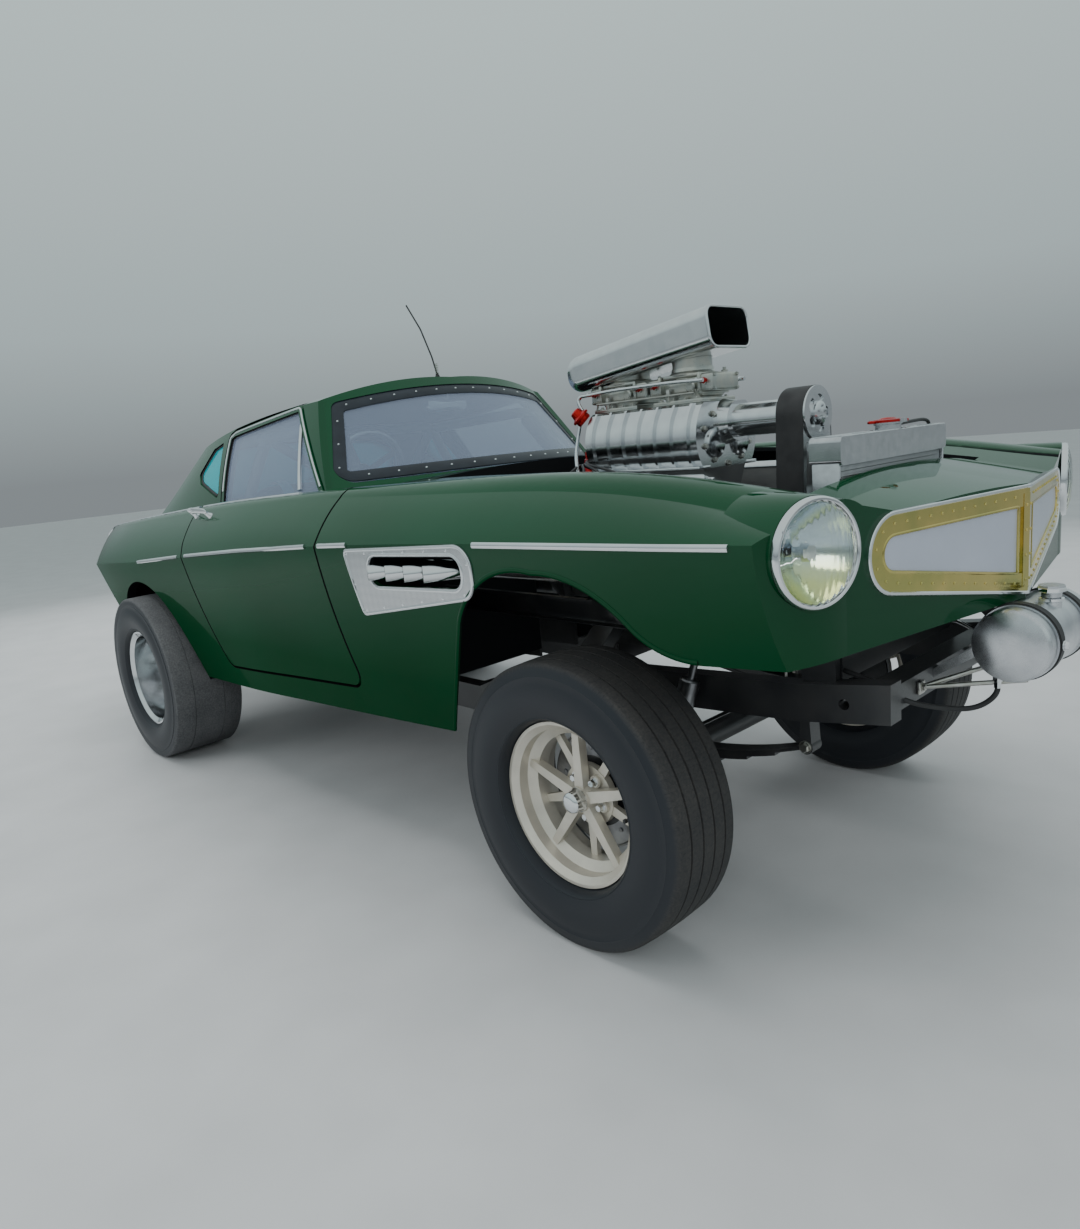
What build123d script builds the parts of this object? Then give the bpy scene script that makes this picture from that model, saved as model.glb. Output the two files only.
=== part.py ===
from build123d import *

import os
from math import atan2, cos, degrees, radians, sin, tan

os.makedirs("parts", exist_ok=True)

# A 1960s two-door coupe built as a drag car. +X points forward, +Y to the car's left, +Z up, and
# the origin is on the ground under the middle of the car. Sizes are in millimetres. The body sits
# nose-up, so the tables of the body give heights above the ground.

# Stance and wheels
FRONT_AXLE_X = 1320.0
WHEELBASE = 2450.0
REAR_AXLE_X = FRONT_AXLE_X - WHEELBASE
FRONT_TRACK = 1352.0
REAR_TRACK = 1534.0
FRONT_TYRE_R, FRONT_TYRE_W = 357.0, 225.0
REAR_TYRE_R, REAR_TYRE_W = 355.0, 300.0
FRONT_RIM_W, REAR_RIM_W = 150.0, 250.0
RIM_LIP_R = 206.0  # outer edge of a 15 inch rim
RIM_SEAT_R = 190.0  # where the tyre bead sits
FRONT_SPINDLE_R, REAR_SPINDLE_R = 18.0, 26.0
KINGPIN_R = 12.0
KINGPIN_Y = 560.0
STEER_ARM = 130.0
ROD_PIN_R = 8.0

# Sheet metal
SKIN = 12.0  # wings, nose, tail and lid with their flanges
WALL = 42.0  # doors, rear quarters and roof: skin, frame and lining
GLASS_T = 6.0
FRAME_W = 20.0  # frames round the door glass
DOOR_GAP = 9.5
LID_GAP = 11.0
RUNNING = 0.05  # radial clearance of a shaft in its bore
SEAT = 0.3  # clearance where pieces seat without touching

# Half sections of the lower body, from the middle of the underside round to the middle of the top:
# x, sill y z, widest y z, crest y z, crest radius, foot of glass or lid y z, middle z
BODY_SECTIONS = [
    (-2250, 390, 380, 668, 765, 590, 945, 20, 520, 805, 800),
    (-2000, 520, 320, 770, 800, 640, 975, 20, 545, 905, 915),
    (-1700, 668, 320, 828, 825, 690, 1000, 22, 590, 985, 1030),
    (-1150, 745, 320, 852, 858, 715, 1040, 26, 655, 1038, 1065),
    (-600, 752, 320, 852, 899, 722, 1078, 30, 668, 1074, 1090),
    (100, 755, 340, 850, 950, 720, 1112, 38, 655, 1104, 1122),
    (650, 745, 380, 842, 978, 690, 1128, 52, 560, 1118, 1150),
    (1100, 730, 420, 828, 990, 655, 1134, 62, 510, 1118, 1156),
    (1500, 712, 500, 815, 997, 632, 1122, 66, 480, 1092, 1128),
    (1800, 690, 600, 800, 1001, 625, 1084, 70, 450, 1050, 1078),
    (2150, 650, 640, 770, 1005, 622, 1046, 70, 430, 985, 1014),
]
SIDE_BULGE, SHOULDER_BULGE, TOP_BULGE = 24.0, 8.0, 8.0
BODY_WIDE = 950.0  # half-width that clears everything, for cuts
TAIL_X, NOSE_X = -2172.0, 2068.0
NOSE_SIDE = (1958.0, 600.0)  # where the straight nose turns into the wing

# Half sections of the roof and windows: x, foot y, cant rail y z, middle z
ROOF_SECTIONS = [
    (-1800, 640, 380, 1030, 1090),
    (-1450, 690, 470, 1165, 1245),
    (-1150, 700, 515, 1268, 1350),
    (-750, 702, 530, 1352, 1425),
    (-250, 700, 528, 1400, 1464),
    (100, 692, 512, 1414, 1474),
    (480, 675, 490, 1412, 1462),
]
ROOF_FOOT_Z = 940.0
CANT_BULGE, ROOF_BULGE = 14.0, 22.0
# Plan arcs of the glass ends at two heights: z, windscreen middle x, its side x y, rear window same
GLASS_ENDS = [
    (1000.0, 548.0, 256.0, 662.0, -1684.0, -1384.0, 649.0),
    (1480.0, 80.0, -37.0, 470.0, -988.0, -766.0, 449.0),
]
# Openings seen from the front and from behind, left half, y z
SCREEN_OPENING = [(0, 1138), (606, 1128), (482, 1402), (0, 1446)]
SCREEN_CORNER_R = 40.0
REAR_OPENING = [(0, 1066), (585, 1092), (505, 1232), (400, 1286), (0, 1306)]
REAR_CORNER_R = 30.0
GLASS_SINK = 8.0  # glass below the outer face

# Shut lines and openings in side view, x z
DOOR_TOP_Z = 1200.0
DOOR_OUTLINE = [(-648, DOOR_TOP_Z), (-618, 950), (-400, 489), (535, 545), (440, 963), (468, DOOR_TOP_Z)]
DOOR_FRAME = [(-600, 1060), (-690, 1338), (-640, 1356), (-110, 1408), (213, 1060)]
DOOR_FRAME_R = 14.0
QUARTER_WINDOW = [(-648, 1098), (-742, 1318), (-840, 1296), (-925, 1200), (-880, 1160)]
WING_REAR_X, SILL_TOP_Z = 541.0, 560.0  # where the wing meets the sill
WING_FRONT_X = 1760.0
ARCH_R, ARCH_X, ARCH_Z = 400.0, REAR_AXLE_X - 15.0, 372.0
BAY_FRONT_X, BAY_REAR_X, BAY_Y = 1792.0, 560.0, 478.0
LID_FRONT_X, LID_FRONT_Y, LID_REAR_Y = -1640.0, 560.0, 490.0
LID_REAR_X, LID_FOOT_Z = -2200.0, 776.0
LID_AXIS_X, LID_AXIS_Z, LID_HINGE_Y, LID_NECK_T = -1600.0, 1012.0, 150.0, 10.0
LID_NECK = [(0.0, 0.0), (4.0, -36.0), (-22.0, -54.0), (-56.0, -44.0), (-66.0, 14.0)]
REAR_DECK_X = -1300.0
DOOR_INNER_Y = 652.0
DOOR_FRAME_T = 26.0
HINGE_ZS = [820.0, 950.0]
HINGE_PIN_R, HINGE_EYE_R, HINGE_H = 4.0, 8.0, 24.0
HINGE_ARM_Y, HINGE_ARM_W, HINGE_ARM_H = 738.0, 12.0, 14.0
DOOR_AXIS_X, DOOR_AXIS_Y = 392.0, 826.0
COWL_REAR_X, COWL_SIDE_X = 150.0, 478.0
FIREWALL_T, FIREWALL_FOOT_Z = 12.0, 500.0
QUARTER_Y = 650.0

# Floor in side view, x z of its upper face
FLOOR_T = 12.0
FLOOR_FRONT = [(548.0, 560.0), (470.0, 480.0), (-560.0, 438.0), (-690.0, 610.0), (-745.0, 640.0)]
FLOOR_REAR = [(-745.0, 640.0), (-830.0, 790.0), (-1420.0, 790.0), (-1575.0, 470.0), (-1840.0, 470.0)]
FLOOR_Y, TUB_Y, TUB_FOOT = 712.0, 584.0, 30.0
TUNNEL_Y, TUNNEL_TOP_Z = 97.0, 885.0
TUNNEL = [(548.0, TUNNEL_TOP_Z), (190.0, TUNNEL_TOP_Z), (-690.0, 570.0), (-690.0, 500.0), (-560.0, 440.0),
          (548.0, 470.0)]
QUARTER_INNER_Y = 700.0

# Nose fittings
GRILLE_TOP_Z, GRILLE_FOOT_Z = 1020.0, 784.0
GRILLE_ARC = [(472.0, 1017.0), (548.0, 936.0), (485.0, 866.0)]  # along the nose's face, z
GRILLE_FRAME_W = 42.0
LAMP_CENTRE = (1941.0, 676.0, 972.0)
LAMP_TURN = 16.0
LAMP_R, LAMP_DEPTH = 102.0, 90.0
GRILLE_BAR_W = 46.0
TAIL_LAMP_W, TAIL_LAMP_H = 196.0, 84.0
TAIL_LAMP_PLANE = Plane(origin=(-2140, 592, 734), x_dir=(0.14, 0.98, 0), z_dir=(-0.98, 0.14, -0.14))
TANK_X, TANK_Z, TANK_R, TANK_LEN = 2086.0, 694.0, 80.0, 300.0
TANK_STRAP_Y, TANK_STRAP_W = 90.0, 28.0
FILLER_X = TANK_X + 34
FRONT_MEMBER_X = 1910.0  # front face of the first cross member

# Radiator and engine
RADIATOR_X, RADIATOR_W, RADIATOR_T = 1745.0, 540.0, 60.0
RADIATOR_FOOT_Z, RADIATOR_TOP_Z, RADIATOR_TANK_H, RADIATOR_CAP_Y = 700.0, 1160.0, 62.0, 29.0
ENGINE_REAR_X, ENGINE_LEN, CRANK_Z, ENGINE_DECK_Z = 790.0, 640.0, 775.0, 1010.0
BANK_Y, BANK_Z, BANK_W, BANK_H = 178.0, 935.0, 190.0, 150.0
COVER_Y, COVER_Z, COVER_H = 250.0, 1008.0, 60.0
SUMP_H = 150.0
BELL_R, BELL_LEN, GEARBOX_LEN = 190.0, 170.0, 420.0
SHAFT_R, SHAFT_END = 36.0, Vector(-926, 0, 368)
BLOWER_X, BLOWER_LEN, BLOWER_Y = 1095.0, 410.0, 142.0
BLOWER_FOOT_Z, BLOWER_TOP_Z, BLOWER_RIBS = 1095.0, 1272.0, 7
PULLEY_X, PULLEY_Z, PULLEY_R, CRANK_PULLEY_R = 1536.0, 1216.0, 66.0, 84.0
BELT_W, BELT_T = 76.0, 6.0
SCOOP_X, SCOOP_Z, SCOOP_TILT = 1322.0, 1466.0, 7.5
SCOOP_LEN, SCOOP_W, SCOOP_H, SCOOP_BORE = 566.0, 186.0, 112.0, 380.0
CARB_XS = [965.0, 1195.0]
# Carburettor body in steps: foot and top above the blower, length, width, corner radius
CARB_STEPS = [
    (0.0, 12.0, 150.0, 140.0, 8.0),
    (10.0, 34.0, 118.0, 118.0, 10.0),
    (30.0, 72.0, 132.0, 104.0, 12.0),
]
PORT_RISE = -20.0  # ports above the middle of the head's outer face
EXHAUST_X, EXHAUST_PITCH, EXHAUST_Y, EXHAUST_Z = 775.0, 84.0, 836.0, 908.0
PRIMARY_R = 21.0
PLATE_T = 3.0
PLATE_OUTLINE = [(600.0, 966.0), (655.0, 778.0), (1150.0, 858.0), (1150.0, 992.0)]
PLATE_RADII = [16.0, 16.0, 54.0, 60.0]
EXHAUST_SLOT = [(722.0, 868.0), (722.0, 948.0), (1106.0, 960.0), (1106.0, 880.0)]
EXHAUST_SLOT_R = 34.0

# Frame, front axle and steering
RAIL_Y, RAIL_W, RAIL_H = 330.0, 50.0, 90.0
RAIL_TOP = [(1925.0, 640.0), (1700.0, 610.0), (840.0, 560.0), (520.0, 425.7), (-560.0, 425.7),
            (-760.0, 600.0), (-1430.0, 600.0), (-1570.0, 450.0), (-1830.0, 450.0)]
# Cross members: middle x z and side of their square section
CROSS_MEMBERS = [
    (FRONT_MEMBER_X - 30, 590.0, 60.0),
    (RADIATOR_X, RADIATOR_FOOT_Z - 43, 86.0),
    (470.0, 380.0, 60.0),
    (-560.0, 392.0, 56.0),
    (-1330.0, 555.0, 50.0),
]
MOUNT_X, MOUNT_W = 1030.0, 80.0
TIE_HOLE, TIE_HOLE_R = (1819.0, 580.0), 12.5  # tie-down hole through the front of each rail
TIE_LUG, TIE_LUG_R, TIE_LUG_T = (-1800.0, 338.0), 27.0, 16.0  # tie-down lug under the rear of each rail
JACK_PAD_X, JACK_PAD_LEN, JACK_PAD_T = 200.0, 100.0, 12.0
ENGINE_MOUNT = [(350.0, 562.0), (350.0, 600.0), (150.0, 765.0), (140.0, 716.0), (305.0, 585.0),
                (305.0, 562.0)]
AXLE_TUBE_R, EYE_R, EYE_H, LUG_T = 32.0, 26.0, 84.0, 16.0
SPRING_LEAVES, SPRING_HALF, SPRING_STEP, SPRING_RISE = 4, 400.0, 80.0, 70.0
LEAF_T, LEAF_W = 8.0, 50.0
BRAKE_Y, BRAKE_R, BRAKE_T = 616.0, 140.0, 26.0
SPINDLE_END_Y = 700.0
ROD_Z, ARM_T, ROD_R, ROD_EYE_R, ROD_EYE_H = 330.0, 14.0, 10.5, 22.0, 24.0
HUB_BACK_Y = 656.0
STEER_ARM_PLAN = [(10, 52), (-30, 52), (-STEER_ARM - 16, 18), (-STEER_ARM - 16, -16),
                  (-STEER_ARM + 16, -16), (-40, 6), (-20, 38), (10, 38)]

# Rear axle
DISC_Y, DIFF_W, AXLE_R, REAR_BRAKE_Y, REAR_BRAKE_R = 716.0, 230.0, 38.0, 640.0, 140.0
BAR_Y, BAR_FRONT_X, BAR_FRONT_Z = 330.0, -420.0, 311.0

# Cabin
SEAT_Y, SEAT_W = 330.0, 460.0
HOOP_X, HOOP_Y, HOOP_FOOT_Z, HOOP_TOP_Z, CAGE_R = -640.0, 545.0, 540.0, 1322.0, 22.0
CAGE_FRONT = [(-30, 458, 1335), (140, 490, 1130), (210, 545, 1000), (300, 560, 465)]
STAY_X, STAY_FOOT_Z = -1180.0, 792.0
COLUMN_LEAN = radians(22)
WHEEL_PLANE = Plane(origin=(-60, -335, 1150), x_dir=(0, 1, 0),
                    z_dir=(-cos(COLUMN_LEAN), 0, sin(COLUMN_LEAN)))
STEERING_R, DASH_Y = 155.0, 488.0
AERIAL_X, AERIAL_FOOT_Z = 5.0, 1468.0


def mirrored(part, name):
    """The same piece on the car's other side."""
    with BuildPart() as other:
        add(part)
        mirror(about=Plane.XZ, mode=Mode.REPLACE)
    other.part.label = name
    return other.part


def write(part, name):
    """Label a finished piece and write its file."""
    part.label = name
    export_step(part, f"parts/{name}.step")


def rail_foot(x):
    """Height of the rail's lower edge at a point along the car."""
    for (x0, z0), (x1, z1) in zip(RAIL_TOP[:-1], RAIL_TOP[1:]):
        if x1 <= x <= x0:
            return z0 + (z1 - z0) * (x - x0) / (x1 - x0) - RAIL_H
    return RAIL_TOP[-1][1] - RAIL_H


def floor_z(x):
    """Height of the flat front floor at a point along the car, plus a seating gap."""
    (x0, z0), (x1, z1) = FLOOR_FRONT[1:3]
    return z0 + (z1 - z0) * (x - x0) / (x1 - x0) + SEAT


def slab(x0, x1, y0, y1, z0, z1):
    """A plain block between limits, used to pick regions of a shell."""
    with BuildPart() as block:
        with BuildSketch(Plane.XY.offset(z0)):
            with Locations(((x0 + x1) / 2, (y0 + y1) / 2)):
                Rectangle(x1 - x0, y1 - y0)
        extrude(amount=z1 - z0)
    return block.part


def body_half(inset):
    """The left half of the lower body as a solid, shrunk by a wall's thickness, open below."""
    with BuildPart() as half:
        for x, ys, zs, yw, zw, yc, zc, rc, yf, zf, zm in BODY_SECTIONS:
            sill = (ys - inset, zs - 2 * inset)
            wide = (yw - inset, zw)
            crest = (yc - inset * 0.4, zc - inset)
            outer = (crest[0] + rc, crest[1] - 0.55 * rc)
            inner = (crest[0] - rc, crest[1] - 0.22 * rc)
            foot = (yf - inset * 0.4, zf - inset)
            middle = (0, zm - inset)
            with BuildSketch(Plane.YZ.offset(x)):
                with BuildLine():
                    Line((0, sill[1]), sill)
                    SagittaArc(sill, wide, -SIDE_BULGE)
                    SagittaArc(wide, outer, -SHOULDER_BULGE)
                    ThreePointArc(outer, crest, inner)
                    Line(inner, foot)
                    SagittaArc(foot, middle, -TOP_BULGE)
                    Line(middle, (0, sill[1]))
                make_face()
        loft()
        # Nose and tail in plan
        with BuildSketch():
            with BuildLine():
                nose, turn = (NOSE_X - inset, 0), (NOSE_SIDE[0] - inset, NOSE_SIDE[1])
                Line(nose, turn)
                ThreePointArc(turn, (1936 - inset, 700), (1860 - inset, 830))
                Line((1860 - inset, 830), (1840, BODY_WIDE))
                Line((1840, BODY_WIDE), (-2060, BODY_WIDE))
                Line((-2060, BODY_WIDE), (-2118 + inset, 700))
                SagittaArc((-2118 + inset, 700), (TAIL_X + inset, 0), -10)
                Line((TAIL_X + inset, 0), nose)
            make_face()
        extrude(amount=2000, both=True, mode=Mode.INTERSECT)
        # Tail in side view: the fins round over and the tail panel runs down and forward
        with BuildSketch(Plane.XZ):
            with BuildLine():
                crest, lip = (-1900, 992 - inset), (TAIL_X + inset, 790)
                Line((-1900, 1400), crest)
                ThreePointArc(crest, (-2112 + inset * 0.7, 925 - inset * 0.6), lip)
                SagittaArc(lip, (-1862 + inset, 360), 16)
                Line((-1862 + inset, 360), (-1862 + inset, -400))
                Line((-1862 + inset, -400), (2400, -400))
                Line((2400, -400), (2400, 1400))
                Line((2400, 1400), (-1900, 1400))
            make_face()
        extrude(amount=BODY_WIDE, both=True, mode=Mode.INTERSECT)
    return half.part


def glass_wedge(inset):
    """The space between the curved, leaning windscreen and the rear window."""
    with BuildPart() as wedge:
        for z, wx, sx, sy, rx, qx, qy in GLASS_ENDS:
            front, side = wx - 1.4 * inset, sx - 1.4 * inset
            rear, quarter = rx + 2.2 * inset, qx + 2.2 * inset
            with BuildSketch(Plane.XY.offset(z)):
                with BuildLine():
                    ThreePointArc((side, -sy), (front, 0), (side, sy))
                    Line((side, sy), (side - 60, BODY_WIDE))
                    Line((side - 60, BODY_WIDE), (quarter + 60, BODY_WIDE))
                    Line((quarter + 60, BODY_WIDE), (quarter, qy))
                    ThreePointArc((quarter, qy), (rear, 0), (quarter, -qy))
                    Line((quarter, -qy), (quarter + 60, -BODY_WIDE))
                    Line((quarter + 60, -BODY_WIDE), (side - 60, -BODY_WIDE))
                    Line((side - 60, -BODY_WIDE), (side, -sy))
                make_face()
        loft(ruled=True)
    return wedge.part


def roof_half(inset, ends_inset=None):
    """The left half of the roof and windows as a solid, shrunk by a thickness."""
    with BuildPart() as half:
        for x, yf, yr, zr, zm in ROOF_SECTIONS:
            foot, rail, middle = (yf - inset, ROOF_FOOT_Z), (yr - inset, zr - inset * 0.8), (0, zm - inset)
            with BuildSketch(Plane.YZ.offset(x)):
                with BuildLine():
                    Line((0, ROOF_FOOT_Z), foot)
                    SagittaArc(foot, rail, -CANT_BULGE)
                    SagittaArc(rail, middle, -ROOF_BULGE)
                    Line(middle, (0, ROOF_FOOT_Z))
                make_face()
        loft()
        add(glass_wedge(inset if ends_inset is None else ends_inset), mode=Mode.INTERSECT)
    return half.part


def below_body():
    """Everything under the lower edges of the panels: sills, wheel arches and valances."""
    with BuildPart() as block:
        with BuildSketch(Plane.XZ):
            with BuildLine():
                Polyline((-1862, 378), (ARCH_X - ARCH_R, 378), (ARCH_X - ARCH_R, ARCH_Z))
                ThreePointArc((ARCH_X - ARCH_R, ARCH_Z), (ARCH_X, ARCH_Z + ARCH_R),
                              (ARCH_X + ARCH_R, ARCH_Z))
                Polyline((ARCH_X + ARCH_R, ARCH_Z), (ARCH_X + ARCH_R, 386), (912, 466))
                ThreePointArc((912, 466), (1008, 660), (1062, 790))
                ThreePointArc((1062, 790), (1160, 893), (1340, 925))
                ThreePointArc((1340, 925), (1500, 893), (1600, 818))
                ThreePointArc((1600, 818), (1660, 778), (1750, 762))
                Polyline((1750, 762), (2200, 776), (2200, -500), (-2400, -500), (-2400, 378),
                         (-1862, 378))
            make_face()
        extrude(amount=BODY_WIDE, both=True)
    return block.part


# The pressed body, from one outer form and inner forms one wall's thickness inside it
outer_form, skin_form, wall_form = body_half(0), body_half(SKIN), body_half(WALL)
roof_form, roof_inner_form = roof_half(0), roof_half(WALL)
under = below_body()

with BuildPart() as skin_shell:
    add(outer_form)
    add(skin_form, mode=Mode.SUBTRACT)
    add(under, mode=Mode.SUBTRACT)

with BuildPart() as wall_shell:
    add(outer_form)
    add(wall_form, mode=Mode.SUBTRACT)
    add(under, mode=Mode.SUBTRACT)


def side_block(outline, radius, grow=0.0, inner_y=0.0):
    """A block on the left side with a rounded outline in side view, grown by a gap."""
    with BuildPart() as block:
        with BuildSketch(Plane.XZ.offset(-inner_y)):
            with BuildLine():
                FilletPolyline(*outline, radius=radius, close=True)
            make_face()
            if grow:
                offset(amount=grow, kind=Kind.INTERSECTION)
        extrude(amount=inner_y - BODY_WIDE)
    return block.part


def end_block(half_outline, radius, x0, x1, grow=0.0):
    """A block through one end of the cabin: half its outline in front view runs from the middle of
    the lower edge, over the corners, to the middle of the upper edge."""
    lower, *corners, upper = half_outline
    others = [(-y, z) for y, z in corners[::-1]]
    with BuildPart() as block:
        with BuildSketch(Plane.YZ.offset(x0)) as end:
            with BuildLine():
                ThreePointArc(others[-1], lower, corners[0])
                Polyline(*corners)
                ThreePointArc(corners[-1], upper, others[0])
                Polyline(*others)
            make_face()
            fillet(end.vertices(), radius=radius)
            if grow:
                offset(amount=grow, kind=Kind.INTERSECTION)
        extrude(amount=x1 - x0)
    return block.part


DOOR_RADII = [1.0, 60.0, 45.0, 45.0, 60.0, 1.0]
door_block = side_block(DOOR_OUTLINE, DOOR_RADII, inner_y=DOOR_INNER_Y)
door_opening = side_block(DOOR_OUTLINE, DOOR_RADII, grow=DOOR_GAP, inner_y=DOOR_INNER_Y - DOOR_GAP)
frame_block = side_block(DOOR_FRAME, DOOR_FRAME_R)
frame_opening = side_block(DOOR_FRAME, DOOR_FRAME_R, grow=DOOR_GAP)
window_block = side_block(DOOR_FRAME, DOOR_FRAME_R, grow=-FRAME_W)
quarter_block = side_block(QUARTER_WINDOW, 12.0)

# Front wings: from the door to the nose, open to the wheel and to the engine bay
with BuildPart() as front_wing_left:
    add(skin_shell.part)
    add(slab(WING_REAR_X - 120, WING_FRONT_X, BAY_Y, BODY_WIDE, 200, 1400), mode=Mode.INTERSECT)
    add(door_opening, mode=Mode.SUBTRACT)
    add(slab(0, WING_REAR_X, 0, BODY_WIDE, 200, SILL_TOP_Z), mode=Mode.SUBTRACT)
    add(slab(0, COWL_SIDE_X, 0, DOOR_INNER_Y + 60, 1000, 1400), mode=Mode.SUBTRACT)
    add(side_block(EXHAUST_SLOT, EXHAUST_SLOT_R, inner_y=500), mode=Mode.SUBTRACT)
write(front_wing_left.part, "front_wing_left")
write(mirrored(front_wing_left.part, "front_wing_right"), "front_wing_right")

# Nose: both headlight ends, the grille opening and the front edge of the engine bay
LAMP_PLANE = Plane(origin=LAMP_CENTRE, x_dir=(-sin(radians(LAMP_TURN)), cos(radians(LAMP_TURN)), 0),
                   z_dir=(cos(radians(LAMP_TURN)), sin(radians(LAMP_TURN)), 0))
NOSE_TURN = degrees(atan2(NOSE_X - NOSE_SIDE[0], NOSE_SIDE[1]))
NOSE_PLANE = Plane(origin=(NOSE_X, 0, 0), x_dir=(-sin(radians(NOSE_TURN)), cos(radians(NOSE_TURN)), 0),
                   z_dir=(cos(radians(NOSE_TURN)), sin(radians(NOSE_TURN)), 0))


def grille_outline(grow):
    """Half of the grille's outline on the nose's left face, set in where the width is below 0."""
    with BuildSketch(NOSE_PLANE, mode=Mode.PRIVATE) as outline:
        with BuildLine():
            upper, side, lower = [(y, z) for y, z in GRILLE_ARC]
            Line((-60, GRILLE_TOP_Z), upper)
            ThreePointArc(upper, side, lower)
            Line(lower, (-60, GRILLE_FOOT_Z - 10))
            Line((-60, GRILLE_FOOT_Z - 10), (-60, GRILLE_TOP_Z))
        make_face()
        offset(amount=grow)
    return outline.sketch_local


with BuildPart() as nose_half:
    add(skin_shell.part)
    add(slab(WING_FRONT_X, 2300, 0, BODY_WIDE, 200, 1400), mode=Mode.INTERSECT)
    add(slab(WING_FRONT_X - 10, BAY_FRONT_X, -10, BAY_Y, 900, 1400), mode=Mode.SUBTRACT)
    extrude(NOSE_PLANE * grille_outline(-GRILLE_FRAME_W + 10), amount=60, both=True, mode=Mode.SUBTRACT)
    with BuildSketch(LAMP_PLANE):
        Circle(LAMP_R + SEAT)
    extrude(amount=LAMP_DEPTH + 10, both=True, mode=Mode.SUBTRACT)
    add(slab(1700, 2300, -100, 0, 0, 1400), mode=Mode.SUBTRACT)
with BuildPart() as nose_panel:
    add(nose_half.part)
    mirror(about=Plane.XZ)
write(nose_panel.part, "nose_panel")

# Cowl: the strip under the windscreen, and the firewall with the arms that carry the door hinges
with BuildPart() as cowl_half:
    add(skin_shell.part)
    add(slab(COWL_REAR_X, BAY_REAR_X, 0, BODY_WIDE, 1000, 1400), mode=Mode.INTERSECT)
    add(slab(COWL_SIDE_X, 700, BAY_Y, BODY_WIDE, 900, 1400), mode=Mode.SUBTRACT)
    add(door_opening, mode=Mode.SUBTRACT)
    add(roof_inner_form, mode=Mode.SUBTRACT)
    add(slab(400, 700, DOOR_INNER_Y + 60, BODY_WIDE, 900, 1400), mode=Mode.SUBTRACT)
    add(side_block(DOOR_FRAME, DOOR_FRAME_R, grow=DOOR_GAP, inner_y=560), mode=Mode.SUBTRACT)
with BuildPart() as firewall_half:
    add(skin_form)
    add(slab(BAY_REAR_X - FIREWALL_T, BAY_REAR_X, 0, BODY_WIDE, FIREWALL_FOOT_Z, 1400), mode=Mode.INTERSECT)
    add(slab(BAY_REAR_X - 20, BAY_REAR_X + 5, 0, TUNNEL_Y, 400, TUNNEL_TOP_Z), mode=Mode.SUBTRACT)
with BuildPart() as hinge_arms:
    for z in HINGE_ZS:
        with BuildSketch(Plane.XY.offset(z - HINGE_ARM_H / 2)):
            with BuildLine():
                x, y, half = DOOR_AXIS_X, DOOR_AXIS_Y, HINGE_ARM_W / 2
                end, low, high = BAY_REAR_X - FIREWALL_T, HINGE_ARM_Y - half, HINGE_ARM_Y + half
                Polyline((x - half, y), (x - half, low), (end, low), (end, high), (x + half, high),
                         (x + half, y), close=True)
            make_face()
            with Locations((x, y)):
                Circle(HINGE_EYE_R)
                Circle(HINGE_PIN_R + RUNNING, mode=Mode.SUBTRACT)
        extrude(amount=HINGE_ARM_H)
with BuildPart() as cowl:
    add(cowl_half.part)
    add(firewall_half.part)
    add(hinge_arms.part)
    mirror(about=Plane.XZ)
write(cowl.part, "cowl")

# Doors: thick lower body with its ledge, the frame round the glass, and pins for the hinge arms
with BuildPart() as door_panel:
    add(wall_shell.part)
    add(door_block, mode=Mode.INTERSECT)
    with BuildSketch(Plane.XY.offset(1000)):
        with Locations((DOOR_AXIS_X + 200, DOOR_AXIS_Y - 200)):
            Rectangle(400, 400)
        with Locations((DOOR_AXIS_X, DOOR_AXIS_Y)):
            Circle(DOOR_AXIS_Y - DOOR_INNER_Y, mode=Mode.SUBTRACT)
    extrude(amount=400, mode=Mode.SUBTRACT)
    for z in HINGE_ZS:
        with BuildSketch(Plane.XY.offset(z - HINGE_H / 2)):
            with BuildLine():
                notch = [(-14, 9), (4, 9), (60, -6), (140, -14), (140, -110), (-14, -110)]
                Polyline(*[(DOOR_AXIS_X + x, DOOR_AXIS_Y + y) for x, y in notch], close=True)
            make_face()
        extrude(amount=HINGE_H, mode=Mode.SUBTRACT)
    for z in HINGE_ZS:
        with BuildSketch(Plane.XY.offset(z - HINGE_H / 2)):
            with Locations((DOOR_AXIS_X, DOOR_AXIS_Y)):
                Circle(HINGE_PIN_R)
        extrude(amount=HINGE_H)
door_frame_form = roof_half(DOOR_FRAME_T, -20)
with BuildPart() as door_frame:
    add(roof_form)
    add(frame_block, mode=Mode.INTERSECT)
    add(door_frame_form, mode=Mode.SUBTRACT)
    add(window_block, mode=Mode.SUBTRACT)
    add(wall_form, mode=Mode.SUBTRACT)
with BuildPart() as door_left:
    add(door_panel.part)
    add(door_frame.part)
write(door_left.part, "door_left")
write(mirrored(door_left.part, "door_right"), "door_right")

# Rear quarters with the sills: thick walls from the door back to the tail lamps
QUARTER_PLAN = [(WING_REAR_X, QUARTER_Y), (REAR_DECK_X, QUARTER_Y), (REAR_DECK_X, QUARTER_Y - 40),
                (LID_FRONT_X, LID_FRONT_Y + LID_GAP), (LID_REAR_X - LID_GAP, LID_REAR_Y + LID_GAP),
                (-2400, LID_REAR_Y + LID_GAP), (-2400, BODY_WIDE),
                (WING_REAR_X, BODY_WIDE)]
with BuildPart() as rear_quarter_left:
    add(wall_shell.part)
    with BuildSketch():
        with BuildLine():
            Polyline(*QUARTER_PLAN, close=True)
        make_face()
    extrude(amount=1500, mode=Mode.INTERSECT)
    add(door_opening, mode=Mode.SUBTRACT)
    add(slab(-600, 600, 0, BODY_WIDE, 980, 1400), mode=Mode.SUBTRACT)
    add(slab(300, 600, 0, BODY_WIDE, SILL_TOP_Z, 1400), mode=Mode.SUBTRACT)
write(rear_quarter_left.part, "rear_quarter_left")
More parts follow.
